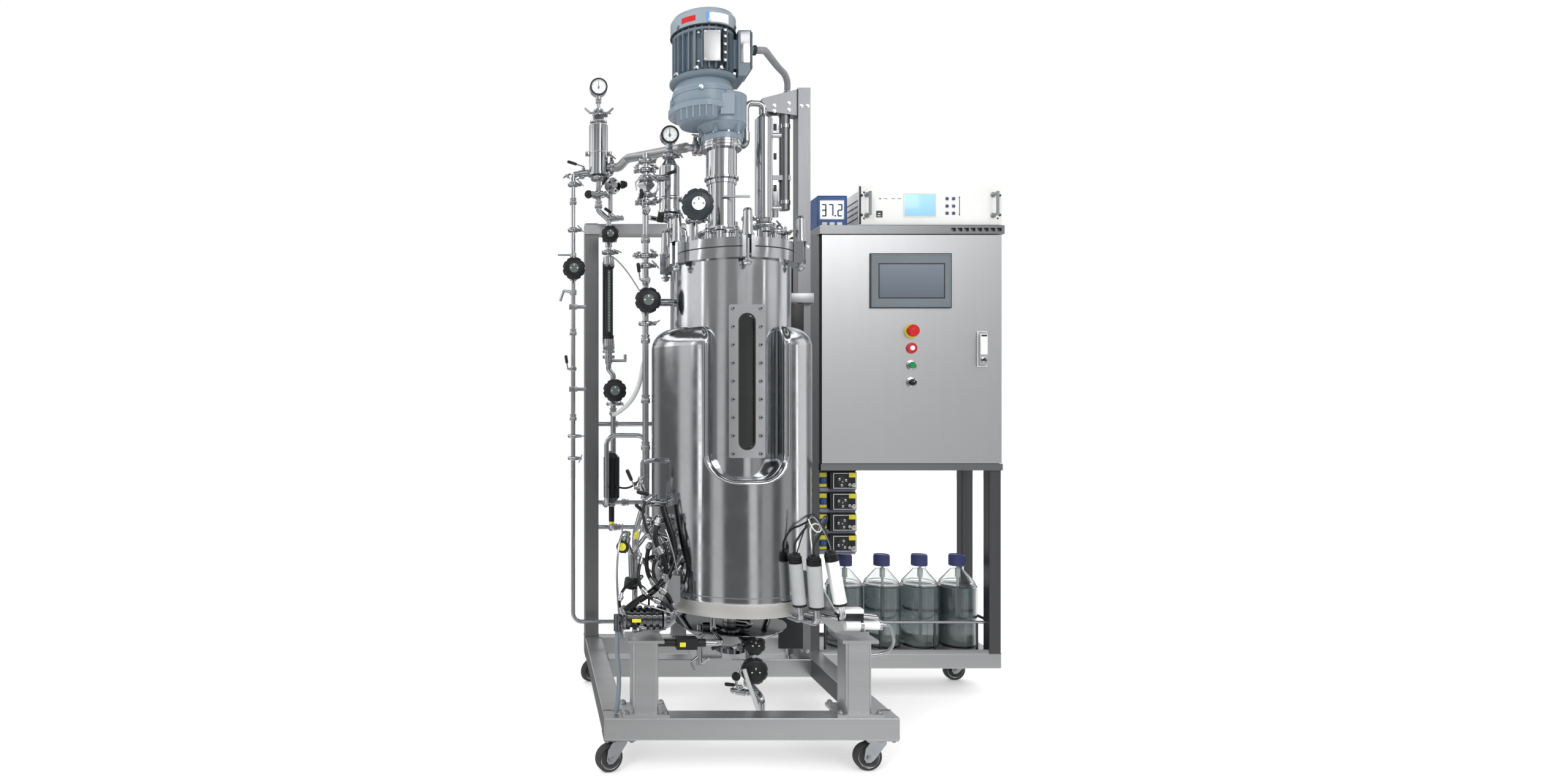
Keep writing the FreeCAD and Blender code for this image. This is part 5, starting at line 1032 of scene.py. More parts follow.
def build_wing_tree(tree):
    given = add(tree, "NodeGroupInput")

    def scaled(label, by):
        return maths(tree, "MULTIPLY", given.outputs[label], by)

    boss = add(tree, "GeometryNodeMeshCone", {
        "Vertices": 20, "Radius Bottom": given.outputs["Boss"], "Radius Top": scaled("Boss", 0.75),
        "Depth": scaled("Boss", 1.5)})
    bolt = add(tree, "GeometryNodeMeshCylinder", {
        "Vertices": 12, "Radius": scaled("Boss", 0.42), "Depth": scaled("Boss", 6.0)})
    wing = add(tree, "GeometryNodeMeshUVSphere", {"Segments": 16, "Rings": 8, "Radius": scaled("Span", 0.5)})
    shapes = []
    for side in (-1, 1):
        away = add(tree, "ShaderNodeCombineXYZ", {"X": scaled("Span", 0.52 * side), "Z": scaled("Boss", 1.3)})
        shapes.append(add(tree, "GeometryNodeTransform", {
            "Geometry": wing.outputs["Mesh"], "Translation": away.outputs[0], "Rotation": (0, side * 0.45, 0),
            "Scale": (0.95, 0.26, 0.72)}).outputs[0])
    chance = add(tree, "FunctionNodeRandomValue", {"Seed": 4}, data_type="FLOAT")
    chance.inputs["Min"].default_value, chance.inputs["Max"].default_value = -1.3, 1.3
    spin = add(tree, "ShaderNodeCombineXYZ", {"Z": chance.outputs["Value"]})
    twist = add(tree, "FunctionNodeEulerToRotation", {"Euler": spin.outputs[0]})
    turned = add(tree, "FunctionNodeRotateRotation", {"Rotation": facing(tree), "Rotate By": twist.outputs[0]},
                 rotation_space="LOCAL")
    whole = joined_shapes(tree, shapes + [boss.outputs["Mesh"], bolt.outputs["Mesh"]])
    close_tree(tree, given, given.outputs["Points"], whole, smooth=True, Rotation=turned.outputs[0])


build_wing_tree(WING_NUT[0])
wing_spots = []
bands = bmesh.new()


def band(spot, radius, way):
    turn_shape(bands, [(radius - 3, -5), (radius - 2.5, -6.2), (radius + 0.2, -6.2), (radius + 2.2, -2.4),
                       (radius + 2.2, 2.4), (radius + 0.2, 6.2), (radius - 2.5, 6.2), (radius - 3, 5),
                       (radius - 3, -5)], spot, way, 40)


for low, high in solids_of("tri_clamps"):
    middle = (low + high) / 2
    if high.z - low.z < 16:
        radius = (high.x - low.x - 12) / 2
        band(at(low.x + radius, high.y - radius, middle.z), radius, "z")
        wing_spots.append((at(high.x - 5, high.y - radius - 19, middle.z), (0, -1, 0)))
    else:
        radius = (high.z - low.z - 12) / 2
        band(at(middle.x, high.y - radius, low.z + radius), radius, "x")
        wing_spots.append((at(middle.x, high.y - radius - 19, high.z - 5), (0, -1, 0)))
for x, y, z, radius in ((*EXHAUST_LINE, 1868, 31), (*INLET_LINE, 1617, 31), (*SPARGE_LINE, 1686, 16),
                        (*SPARGE_LINE, 1589, 16), (*SPARGE_LINE, 1430, 16)):
    band(at(x, y, z), radius, "z")
    for side in (-1, 1):
        bar_shape(bands, at(x + side * (radius + 8) - 7, y - 10, z - 7),
                  at(x + side * (radius + 8) + 7, y + 8, z + 7), 2.0)
piece_from("clamp_bands", bands, "polished_stainless", angle=28)
for x, y, z, side in ((*SPARGE_LINE, 1686, -1), (*SPARGE_LINE, 1589, 1), (*SPARGE_LINE, 1430, -1),
                      (*EXHAUST_LINE, 1716, 1), (*STEAM_LINE, 1840 - 60, 1)):
    wing_spots += [(at(x + side * 24, y - 12, z), (side, -0.6, 0.3)),
                   (at(x - side * 20, y - 16, z + 4), (-side * 0.5, -1, 0.2))]
grown("clamp_wing_nuts", wing_spots, WING_NUT, {"Boss": 5.2 * MM, "Span": 17 * MM}, "polished_stainless")
print(len(wing_spots), "wing nuts")

# %% [markdown]
# ## Pressure gauges
# A gauge is a white dial in a dark rim behind glass. Its scale runs over 270 degrees, with long marks at the
# numbers and short ones between. The marks are one short bar repeated round an arc by a node tree, with the count,
# radius and bar size as inputs.

# %% A node tree for marks round an arc
ARC_MARKS = new_tree("arc_marks", "Points", "Marks", {
    "Count": 11, "Radius": 0.02, "Long": 0.004, "Wide": 0.001, "Sweep": 4.712})
MARK_DEEP = 0.0003


def build_mark_tree(tree):
    given = add(tree, "NodeGroupInput")
    count, radius = given.outputs["Count"], given.outputs["Radius"]
    copies = add(tree, "GeometryNodeDuplicateElements", {
        "Geometry": given.outputs["Points"], "Amount": count}, domain="POINT")
    share = maths(tree, "DIVIDE", copies.outputs["Duplicate Index"], maths(tree, "SUBTRACT", count, 1.0))
    turn = maths(tree, "MULTIPLY", maths(tree, "SUBTRACT", share, 0.5), given.outputs["Sweep"])
    away = add(tree, "ShaderNodeCombineXYZ", {
        "X": maths(tree, "MULTIPLY", maths(tree, "SINE", turn, 0.0), radius),
        "Z": maths(tree, "MULTIPLY", maths(tree, "COSINE", turn, 0.0), radius)})
    size = add(tree, "ShaderNodeCombineXYZ", {
        "X": given.outputs["Wide"], "Y": MARK_DEEP, "Z": given.outputs["Long"]})
    bar = add(tree, "GeometryNodeMeshCube", {"Size": size.outputs[0]})
    shift = add(tree, "GeometryNodeSetPosition", {
        "Geometry": copies.outputs["Geometry"], "Offset": away.outputs[0]})
    spin = add(tree, "FunctionNodeEulerToRotation", {
        "Euler": add(tree, "ShaderNodeCombineXYZ", {"Y": turn}).outputs[0]})
    close_tree(tree, given, shift.outputs[0], bar.outputs["Mesh"], Rotation=spin.outputs[0])


build_mark_tree(ARC_MARKS[0])


def marks(name, spot, count, radius, long, wide, sweep, finish="dark_plastic"):
    return grown(name, [(spot, (0, 0, 1))], ARC_MARKS, {
        "Count": count, "Radius": radius * MM, "Long": long * MM, "Wide": wide * MM,
        "Sweep": math.radians(sweep)}, finish)


def lettering(name, signs, finish, thick=0.00012):
    """Flat raised characters facing the front: each sign is (text, place, height in millimetres)."""
    parts = bmesh.new()
    for text, place, height in signs:
        curve = bpy.data.curves.new(name, "FONT")
        curve.body, curve.size = text, height * MM * 1.4
        curve.align_x, curve.align_y = "CENTER", "CENTER"
        curve.extrude, curve.resolution_u = thick, 3
        flat = mesh_of(name, curve)
        flat.transform(Matrix.Translation(place) @ Matrix.Rotation(math.radians(90), 4, "X"))
        parts.from_mesh(flat)
        bpy.data.meshes.remove(flat)
    piece_from(name, parts, finish, angle=20)


# %% Dials, marks, numbers, rims and glass
# The dials glow a little though they are no lamps: painted light, so their white stays bright inside the deep rims.
FINISH["glowing_gauge_face"] = glowing("white_gauge_enamel", "#f4f5f4", "#f4f5f4", 0, 1, 0.35)
for name, x, y, z, radius, top in (("exhaust", *EXHAUST_LINE, 2100, 31, 4), ("inlet", *INLET_LINE, 1814, 28, 6)):
    build(name + "_dial", "glowing_gauge_face",
          (turn_shape, [(radius - 4.4, 0), (radius - 4.4, 0.8)], at(x, y - 6, z), "-y", 48),
          slot="white_plastic")
    build(name + "_gauge_rim", "dark_plastic",
          (turn_shape, [(radius - 6, 0), (radius - 1, 0), (radius - 0.1, -1.5), (radius - 0.1, -7),
                        (radius - 0.2, -7.4),
                     (radius - 0.2, -12), (radius - 3.8, -12), (radius - 3.8, -1.5), (radius - 6, 0)],
                     at(x, y - 15.5, z), "-y", 56), angle=30)
    marks(name + "_long_marks", at(x, y - 7, z), top + 1, radius * 0.72, 4.2, 0.9, 270)
    marks(name + "_short_marks", at(x, y - 7, z), top * 5 + 1, radius * 0.76, 2.0, 0.45, 270)
    signs = []
    for k in range(0, top + 1, 2):
        angle = math.radians(-135 + 270 * k / top)
        signs.append((str(k), at(x + radius * 0.5 * math.sin(angle), y - 7, z + radius * 0.5 * math.cos(angle)), 3.6))
    lettering(name + "_gauge_numbers", signs + [("bar", at(x, y - 7, z - radius * 0.62), 2.6)], "dark_plastic")
    build(name + "_gauge_glass", "gauge_pane",
          (turn_shape, [(0, 0), (radius - 3.6, 0), (radius - 3.6, 1.2), (0, 1.9)], at(x, y - 11, z), "-y", 48),
          slot="borosilicate_glass")
    build(name + "_gauge_socket", "brushed_z",
          (turn_shape, [(9, 0), (10.4, 1.5), (10.4, 9), (9, 10.5)], at(x, y, z - radius - 24), "z", 6),
          (turn_shape, [(7.5, 0), (7.5, 10)], at(x, y, z - radius - 13), "z", 24), slot="polished_stainless")
print("two gauges dressed")

# %% [markdown]
# ## Diaphragm valves and their handwheels
# Every diaphragm valve has a square bonnet flange held by four screws, a steel collar where the spindle comes
# out, and a fluted black knob with an insert in its face: white on the lid's knob, black on the sample and drain
# knobs, and on the others a grey-green disc that is a painted reflection on the black dome. The insert rides on
# the knob, so it turns with it.

# %% Bonnets, collars and knob inserts
VALVES = {"steam": (152, 706, 1456, 39), "air": (277, 706, 1575, 30), "water": (293, 706, 1034, 40),
          "sparge": (346, 256, 1290, 38), "lid": (471, 152, 1546, 45), "sample": (642, 196, 298, 31),
          "drain": (642, 196, 222, 38)}
bonnets, collars, bonnet_screws = bmesh.new(), bmesh.new(), []
for name, (x, y, z, radius) in VALVES.items():
    bar_shape(bonnets, at(x - 25, y + 4.5, z - 25), at(x + 25, y + 11, z + 25), 2.2)
    bar_shape(bonnets, at(x - 24, y + 13, z - 24), at(x + 24, y + 19, z + 24), 2.2)
    bonnet_screws += [(at(x + i * 19, y + 4.5, z + j * 19), (0, -1, 0)) for i in (-1, 1) for j in (-1, 1)]
    turn_shape(collars, [(13, -1), (14.5, 1), (14.5, 3.4)], at(x, y + 0.5, z), "-y", 32)
    insert = bmesh.new()
    face = y - 26
    turn_shape(insert, [(radius * 0.42, -3), (radius * 0.42, 0.4), (radius * 0.38, 1.3), (radius * 0.16, 1.3),
                        (radius * 0.14, 0.5)], at(x, face, z), "-y", 40)
    # Grey-green slate on most knobs is a painted reflection; the lid's white insert is real.
    pale = {"lid": "white_plastic", "sample": "black_plastic", "drain": "black_plastic"}.get(name, "slate_plastic")
    piece_from(name + "_knob_insert", insert, pale,
               body=body_of[name + "_handwheel"], angle=30)
    arrow = bmesh.new()
    for side in (-1, 1):
        bar_shape(arrow, at(x + side * radius * 0.29 - 2.2, face - 1.9, z - 1.6),
                  at(x + side * radius * 0.29 + 2.2, face - 1.2, z + 1.6), 0.2)
    bar_shape(arrow, at(x - 1.4, face - 1.9, z + radius * 0.2), at(x + 1.4, face - 1.2, z + radius * 0.36), 0.2)
    piece_from(name + "_knob_marks", arrow, "dark_plastic" if name == "lid" else "ivory_plastic",
               body=body_of[name + "_handwheel"])
piece_from("valve_bonnets", bonnets, "polished_stainless")
piece_from("spindle_collars", collars, "bright_zinc")
screws("bonnet_screws", bonnet_screws, 8, 4)
print(len(VALVES), "valves dressed")

# %% [markdown]
# ## Small ball valves on the vessel's side
# Left of the jacket a stack of quarter-turn valves takes condensate, cooling water and samples. A small ball
# valve is three turned parts in line, a stem across it and a flat lever in a rubber sleeve, so one function makes
# them all from a place, the way of the line and the way of the lever.

# %% A function for a small ball valve
valve_steel, valve_sleeves = bmesh.new(), bmesh.new()


def rod_shape(shape, start, end, radius, steps=14):
    """A plain round rod between two points given in layout millimetres."""
    start, end = at(*start), at(*end)
    length = (end - start).length / MM
    turn_shape(shape, [(radius * 0.8, 0), (radius, radius * 0.2), (radius, length - radius * 0.2),
                       (radius * 0.8, length)], start, tuple((end - start).normalized()), steps)


def rods(shape, *runs):
    for start, end, radius in runs:
        rod_shape(shape, start, end, radius)


def ball_valve(place, way, stem, lever, big=1.0, sleeve=True):
    way, stem, lever = (Vector(v).normalized() for v in (way, stem, lever))
    middle = at(*place)
    outline = [(8, -34), (8, -30), (11, -29), (11, -24), (8.5, -23), (8.5, -18), (12.5, -16), (12.5, 16),
               (8.5, 18), (8.5, 23), (11, 24), (11, 29), (8, 30), (8, 34)]
    turn_shape(valve_steel, [(r * big, h * big) for r, h in outline], middle, tuple(way), 20)
    turn_shape(valve_steel, [(6 * big, 0), (6 * big, 20 * big), (3 * big, 21 * big), (3 * big, 27 * big)],
               middle, tuple(stem), 14)
    root = middle + stem * 24 * MM * big
    tip = root + lever * 58 * MM * big + stem * 9 * MM * big
    turn_shape(valve_steel, [(2.6 * big, 0), (2.6 * big, 60 * big)], root, tuple((tip - root).normalized()), 8)
    if sleeve:
        start = root.lerp(tip, 0.42)
        turn_shape(valve_sleeves, [(4, 0), (5, 2), (5.4, 30 * big), (4, 34 * big)],
                   start, tuple((tip - root).normalized()), 12)


CLUSTER = [
    # place, way of the line, way of the stem, way of the lever
    ((352, 168, 705), (-0.9, -0.4, 0.1), (0.2, -0.5, 0.8), (-1, -0.1, 0.1)),
    ((346, 150, 655), (-0.8, -0.5, -0.2), (-0.3, -0.8, 0.4), (-0.8, 0, 0.7)),
    ((366, 140, 610), (-0.9, -0.3, 0.3), (0, -1, 0.3), (-0.3, 0, 1)),
    ((360, 132, 566), (-0.7, -0.5, -0.4), (0.2, -0.9, 0.2), (-0.9, -0.1, -0.3)),
    ((378, 120, 524), (-0.5, -0.6, 0.5), (-0.6, -0.7, -0.2), (0.2, -0.2, 1)),
    ((322, 180, 745), (-0.2, -0.2, 1.0), (-0.9, -0.3, 0), (-0.3, -0.1, 1)),
]
for one in CLUSTER:
    ball_valve(*one)
rods(valve_steel,
     ((372, 190, 700), (352, 168, 705), 8), ((384, 172, 652), (346, 150, 655), 8),
     ((388, 165, 606), (366, 140, 610), 8), ((392, 158, 560), (360, 132, 566), 8),
     ((408, 146, 512), (378, 120, 524), 8), ((322, 180, 745), (322, 180, 820), 7),
     ((322, 180, 820), (362, 236, 822), 7))
ball_valve((268, 128, 600), (0.2, 0, 1), (-0.6, -0.8, 0), (0.1, 0, 1), 0.9, sleeve=False)
rod_shape(valve_steel, (268, 128, 600), (286, 136, 560), 8)
rod_shape(valve_steel, (286, 136, 566), (346, 150, 640), 6)
turn_shape(valve_sleeves, [(17, 0), (19, 2), (19, 26), (16, 30)], at(280, 128, 470), (0.15, 0, 1), 28)
rod_shape(valve_steel, (285, 129, 498), (284, 136, 566), 9)
disc = bmesh.new()
turn_shape(valve_sleeves, [(15, 0), (17, 2), (17, 12)], at(258, 104, 590), (-0.35, -0.9, 0.15), 28)
turn_shape(disc, [(11, 0), (11, 2.2), (8, 3.4)], at(253.9, 93.4, 591.8), (-0.35, -0.9, 0.15), 28)
turn_shape(disc, [(6.5, 0), (7.5, 16), (5.5, 20)], at(300, 148, 606), (0.1, -0.2, 1), 20)
turn_shape(disc, [(8.6, 0), (9.2, 1), (9.2, 22), (8, 24)], at(*TRAP_LINE, 566), "z", 28)
piece_from("position_tips", disc, "yellow_plastic")
rod_shape(valve_steel, (300, 148, 560), (300, 148, 607), 5)
print(len(CLUSTER), "ball valves beside the jacket")

# %% Ball valves, clips and levers elsewhere on the lines
OTHERS = [
    ((241, 726, 1722), (1, 0, 0), (0, -0.9, 0.4), (0.5, -0.2, 0.8)),
    ((300, 748, 1640), (1, 0, 0.1), (0, -1, 0.2), (-0.8, 0, 0.5)),
    ((346, 282, 1560), (0, -1, 0), (-0.6, -0.4, 0.6), (0, 0, 1)),
    ((388, 300, 1662), (1, 0, 0), (0, -1, 0), (0.9, 0, 0.3)),
    ((346, 282, 1350), (0, -1, 0.1), (-0.9, 0, 0.3), (0, -0.1, 1)),
    ((600, 176, 166), (0.8, -0.4, 0), (0, -0.3, 0.9), (-1, -0.1, 0)),
    ((560, 206, 300), (1, 0.2, 0), (0, -0.9, 0.3), (-0.8, -0.1, -0.4)),
    ((152, 728, 1110), (0, -1, 0), (-1, 0, 0), (0, 0, 1)),
]
for one in OTHERS:
    ball_valve(*one, big=0.82)
rods(valve_steel,
     ((600, 176, 166), (652, 190, 160), 7), ((560, 206, 300), (628, 224, 298), 8),
     ((346, 298, 1560), (346, 262, 1560), 7), ((346, 298, 1350), (346, 262, 1350), 7),
     ((352, 300, 1662), (420, 300, 1662), 7), ((*AIR_LINE, 1640), (330, 748, 1640), 7))
clips = bmesh.new()
for z in (1330, 1040):
    bar_shape(clips, at(138, 741, z - 9), at(166, 762, z + 9), 2.0)
    bar_shape(clips, at(160, 748, z - 6), at(198, 760, z + 6), 1.5)
piece_from("pipe_clips", clips, "brushed_x")
screws("pipe_clip_screws", [(at(152, 741, z), (0, -1, 0)) for z in (1330, 1040)], 8, 4)
ball_valve((188, 748, 1798), (1, 0, 0.12), (0, -0.3, 1), (-1, 0, 0.15))
rods(valve_steel,
     ((283, 750, 1632), (283, 750, 1746), 8), ((206, 744, 1721), (244, 748, 1708), 5),
     ((*STEAM_LINE, 1796), (222, 750, 1806), 8), ((360, 318, 1548), (424, 366, 1548), 7))
turn_shape(valve_steel, [(12, -14), (12, -8), (28, -7), (28, 7), (12, 8), (12, 14)], at(290, 742, 1753),
           (0.35, -0.9, 0.1), 36)
for k in range(5):
    turn = math.radians(72 * k)
    turn_shape(valve_sleeves, [(0, 0), (3.6, 0), (3.6, 1.2), (0, 1.4)],
               at(290 + 4.6 + 19 * math.cos(turn), 742 - 8.4 + 6 * math.cos(turn), 1753 + 19 * math.sin(turn)),
               (0.35, -0.9, 0.1), 12)
turn_shape(valve_sleeves, [(0, 0), (13, 0), (14, 3), (13, 12), (8, 22), (0, 24)], at(318, 738, 1756), (1, -0.2, 0.05),
           24)
turn_shape(valve_sleeves, [(12, 0), (14.5, 4), (13, 12), (6, 16)], at(208, 736, 1721), (-0.5, -0.8, 0), 24)
turn_shape(valve_steel, [(0, -24), (9, -22), (26, -2), (26, 2), (9, 22), (0, 24)], at(346, 292, 1640), "z", 4)
for side in (-1, 1):
    rod_shape(valve_steel, (346 + side * 8, 276, 1668), (346 + side * 34, 268, 1640), 2.6)
    rod_shape(valve_steel, (346 + side * 34, 268, 1640), (346 + side * 30, 268, 1618), 2.2)
turn_shape(valve_sleeves, [(9, 0), (10, 3), (10, 26), (7, 30)], at(392, 318, 1534), (0.1, -0.3, 1), 20)
rods(valve_steel,
     ((488, 202, 352), (488, 202, 232), 8), ((488, 202, 262), (462, 190, 246), 4),
     ((462, 190, 246), (470, 188, 222), 4), ((488, 202, 236), (506, 190, 252), 4),
     ((506, 190, 252), (514, 180, 262), 3))
turn_shape(valve_steel, [(15, 0), (15, 8), (12, 10), (12, 34), (15, 36), (15, 44)], at(560, 194, 322),
           (0.75, -0.1, -0.6), 28)
turn_shape(valve_sleeves, [(10, 0), (12, 3), (12, 12), (8, 16)], at(586, 168, 214), (-0.3, -0.9, 0), 20)
turn_shape(valve_steel, [(29, 0), (30, 2), (30, 5), (15, 42), (17, 44), (17, 49)], at(*EXHAUST_LINE, 1974), "z", 48)
for side in (-1, 1):
    rod_shape(valve_steel, (241 + side * 12, 742, 2012), (241 + side * 30, 730, 2004), 3.4)
    rod_shape(valve_steel, (241 + side * 30, 730, 2004), (241 + side * 50, 724, 2020), 3.8)
piece_from("ball_valves", valve_steel, "polished_stainless")
# The outlet cone under the vessel is in the darker polished steel: painted shade.
build("outlet_cone", "dark_chrome",
      (turn_shape, [(160, 0), (160, 3), (150, 10), (96, 44), (58, 62), (44, 70), (44, 84)], at(*VESSEL_AXIS, 343),
       "-z", 64))
piece_from("lever_sleeves", valve_sleeves, "black_plastic")

# %% [markdown]
# ## Unions and ferrules along the lines
# A welded line still has joints: hexagon unions, short collars and pairs of ferrules. Each is a turned ring on the
# pipe's own axis, a little proud of it.

# %% Unions and weld collars
unions = bmesh.new()
HEX_UNION = [(12, 0), (13.5, 2), (13.5, 13), (12, 15), (10.5, 15.2), (10.5, 20), (12.5, 20.4), (12.5, 25)]
for x, y, z, big, steps in ((*AIR_LINE, 1486, 1.5, 6), (*AIR_LINE, 1196, 1.5, 6), (*WATER_LINE, 960, 1.0, 6),
                            (*WATER_LINE, 1060, 1.0, 6), (*TRAP_LINE, 808, 1.15, 6), (*TRAP_LINE, 640, 1.0, 6),
                            (*SPARGE_LINE, 1000, 1.0, 6), (*SPARGE_LINE, 860, 1.0, 28), (*STEAM_LINE, 1240, 0.9, 6),
                            (*STEAM_LINE, 940, 0.9, 28), (*EXHAUST_LINE, 1688, 1.0, 6), (*AIR_LINE, 1600, 1.0, 28),
                            (*SPARGE_LINE, 1480, 1.0, 28), (*SPARGE_LINE, 1180, 1.0, 28),
                            (*DRAIN_LINE, 322, 1.25, 28), (*DRAIN_LINE, 176, 1.25, 28), (*VESSEL_AXIS, 356, 1.7, 32),
                            (*STEAM_LINE, 1700, 0.9, 28)):
    turn_shape(unions, [(r * big, h * big) for r, h in HEX_UNION], at(x, y, z - 12 * big), "z", steps)
for x, y, z, way in ((300, 820, 545, "x"), (330, 820, 634, "x"), (470, 820, 916, "x"), (290, 820, 916, "x"),
                     (470, 820, 634, "x")):
    turn_shape(unions, [(r * 0.95, h) for r, h in HEX_UNION], at(x, y, z), way, 6)
piece_from("line_unions", unions, "brushed_x")
leads = [
    ("trap_lead", [(300, 736, 700), (330, 700, 690), (350, 560, 720), (352, 420, 760), (350, 330, 800)], 3.5,
     "black_rubber"),
    ("capillary", [(281, 738, 1508), (300, 700, 1490), (326, 560, 1420), (338, 420, 1350), (342, 330, 1312)], 2.2,
     "polished_stainless"),
    ("air_lead_left", [(268, 118, 630), (250, 90, 640), (232, 60, 560), (236, 46, 470), (240, 44, 420)], 3.2,
     "polished_stainless"),
    ("air_lead_low", [(286, 110, 480), (310, 80, 500), (330, 70, 470), (322, 62, 436)], 3.0, "black_rubber"),
    ("cluster_hose_a", [(330, 120, 720), (300, 110, 700), (316, 96, 650), (330, 104, 620)], 4.0, "black_rubber"),
    ("cluster_hose_b", [(352, 100, 560), (330, 84, 540), (344, 70, 490), (372, 74, 460), (392, 96, 452)], 4.5,
     "black_rubber"),
    ("cluster_hose_c", [(322, 150, 640), (300, 140, 620), (296, 130, 560), (330, 110, 520), (366, 100, 500)], 3.5,
     "polished_stainless"),
    ("cluster_hose_e", [(300, 60, 560), (286, 40, 520), (300, 30, 476), (340, 24, 458), (372, 32, 446),
                        (388, 50, 424)], 5.0, "gloss_rubber"),
    ("cluster_hose_f", [(330, 110, 590), (310, 70, 540), (330, 40, 500), (356, 36, 482), (378, 44, 466),
                        (384, 62, 440)], 6.0, "gloss_rubber"),
    ("cluster_hose_g", [(300, 80, 510), (262, 50, 500), (236, 30, 470), (240, 22, 430), (268, 20, 398),
                        (300, 26, 388)], 4.0, "gloss_rubber"),
    ("cluster_hose_h", [(352, 96, 660), (338, 84, 620), (352, 76, 586), (376, 70, 548), (368, 66, 512)], 7.0,
     "gloss_rubber"),
    ("cluster_hose_i", [(286, 66, 480), (276, 38, 462), (300, 22, 446), (344, 18, 440), (380, 30, 424)], 2.4,
     "polished_stainless"),
    ("cluster_hose_j", [(372, 90, 640), (388, 76, 600), (394, 70, 560), (404, 74, 520)], 2.4, "polished_stainless"),
    ("cluster_hose_d", [(364, 100, 610), (380, 84, 580), (372, 80, 540), (390, 90, 500), (400, 110, 470)], 4.5,
     "black_rubber"),
]
ferrules = bmesh.new()
for name, points, radius, finish in leads:
    wire(name, points, radius, finish)
    if radius < 3.5:
        continue
    run = [Vector(p) for p in points]
    spots = [(run[0], run[1] - run[0]), (run[-1], run[-2] - run[-1])]
    spots += [((run[k - 1] + run[k] * 2 + run[k + 1]) / 4, run[k + 1] - run[k - 1]) for k in range(2, len(run) - 2)]
    for spot, way in spots:
        wide = radius + 1.2
        turn_shape(ferrules, [(wide, -11), (wide, -4), (wide + 2.6, -3), (wide + 2.6, 5), (wide, 6), (wide, 11)],
                   at(*spot), tuple(way.normalized()), 18)
piece_from("hose_ferrules", ferrules, "polished_stainless")
# The drain elbow under the vessel is in the darker polished steel: painted shade.
wire("drain_elbow", ((500, 204, 344), (530, 198, 350), (566, 192, 330), (604, 190, 286)), 12, "dark_chrome")
print("unions and leads done")

# %% [markdown]
# ## The flow meter, the actuator and the probes
# The meter's dark tube carries a pale ladder of marks. The actuator on the left leg is a ribbed casting with a
# label, a ring at each end and four screws in one end. Each probe has a black ribbed cap.

# %% Scale, actuator and probe details
build("meter_scale", "slate_plastic",
      (bar_shape, at(272.6, 734.2, 1240), at(281.4, 735.4, 1456), 0.3),
      slot="black_plastic")
rungs = bmesh.new()
for k in range(21):
    place, half = at(277, 733.9, 1248 + k * 10), 3.4 if k % 5 == 0 else 2.0
    bar_shape(rungs, place - Vector((half, 0.2, 0.4)) * MM, place + Vector((half, 0.2, 0.4)) * MM, 0)
piece_from("meter_marks", rungs, "ivory_plastic")
meter_cap = bmesh.new()
turn_shape(meter_cap, [(17, 0), (18, 1.5), (18, 10), (16, 12)], at(*AIR_LINE, 1218), "z", 36)
turn_shape(meter_cap, [(17, 0), (18, 1.5), (18, 10), (16, 12)], at(*AIR_LINE, 1464), "z", 36)
for z in (1216, 1478):
    turn_shape(meter_cap, [(3, 0), (3, 30)], at(263, 742, z - 12), "z", 10)
piece_from("meter_collars", meter_cap, "black_plastic")
build("actuator_label", "yellow_plastic",
      (bar_shape, at(272, 16.6, 403), at(296, 18.6, 412), 0.4))
build("actuator_ends", "cast_aluminium",
      (turn_shape, [(27, 0), (33, 3), (33.5, 8), (30, 12)], at(248, 50, 408), "x", 40),
      (turn_shape, [(28, 0), (33.5, 4), (33.5, 10), (29, 12)], at(354, 50, 408), "x", 40),
      slot="bright_zinc")
screws("actuator_screws", [(at(246.8, 50 + 24 * math.cos(a), 408 + 24 * math.sin(a)), (-1, 0, 0))
                           for a in (math.pi / 4 + k * math.pi / 2 for k in range(4))], 6, 3)
build("coil_label", "yellow_plastic", (bar_shape, at(404, 43.2, 330), at(420, 44.2, 342), 0.3))
caps = bmesh.new()
for (x, y, z), top, radius in (((728, 46, 440), (716, 44, 556), 18), ((770, 34, 436), (762, 32, 552), 20),
                               ((830, 24, 448), (806, 22, 566), 18)):
    way = (Vector(top) - Vector((x, y, z))).normalized()
    start = Vector(top) + way * 2
    outline = [(0, 0), (radius * 0.95, 0)]
    for k in range(4):
        outline += [(radius * 0.98, k * 4.4 + 0.4), (radius * 0.98, k * 4.4 + 3.0), (radius * 0.86, k * 4.4 + 3.6),
                    (radius * 0.86, k * 4.4 + 4.2)]
    outline += [(radius * 0.7, 21), (radius * 0.3, 22), (radius * 0.26, 28), (0, 28)]
    turn_shape(caps, outline, at(*start), tuple(way), 32)
    low = Vector((x, y, z)) - way * 2
    turn_shape(caps, [(radius * 0.8, 0), (radius * 1.04, 2), (radius * 1.04, 8)], at(*low), tuple(way), 32)
piece_from("probe_caps", caps, "black_plastic")
print("meter, actuator and probes dressed")

# %% [markdown]
# ## The control cabinet's door
# The touch panel is a moulded bezel with an inner step, then a dark border and a lit screen. Each button has a
# threaded chrome ring, and the emergency stop stands on a yellow disc. The lock is a swing handle with a keyhole,
# flush in its trough.

# %% Touch panel, buttons and lock
panel_low, panel_high = (layout(p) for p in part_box("touch_panel"))
sx0, sx1, sz0, sz1 = panel_low.x + 26, panel_high.x - 22, panel_low.z + 31, panel_high.z - 33
front = panel_low.y
FINISH["lit_screen"] = glowing("lit_screen", "#6c757f", "#565e68", at(0, 0, sz0).z, at(0, 0, sz1).z, 0.14)


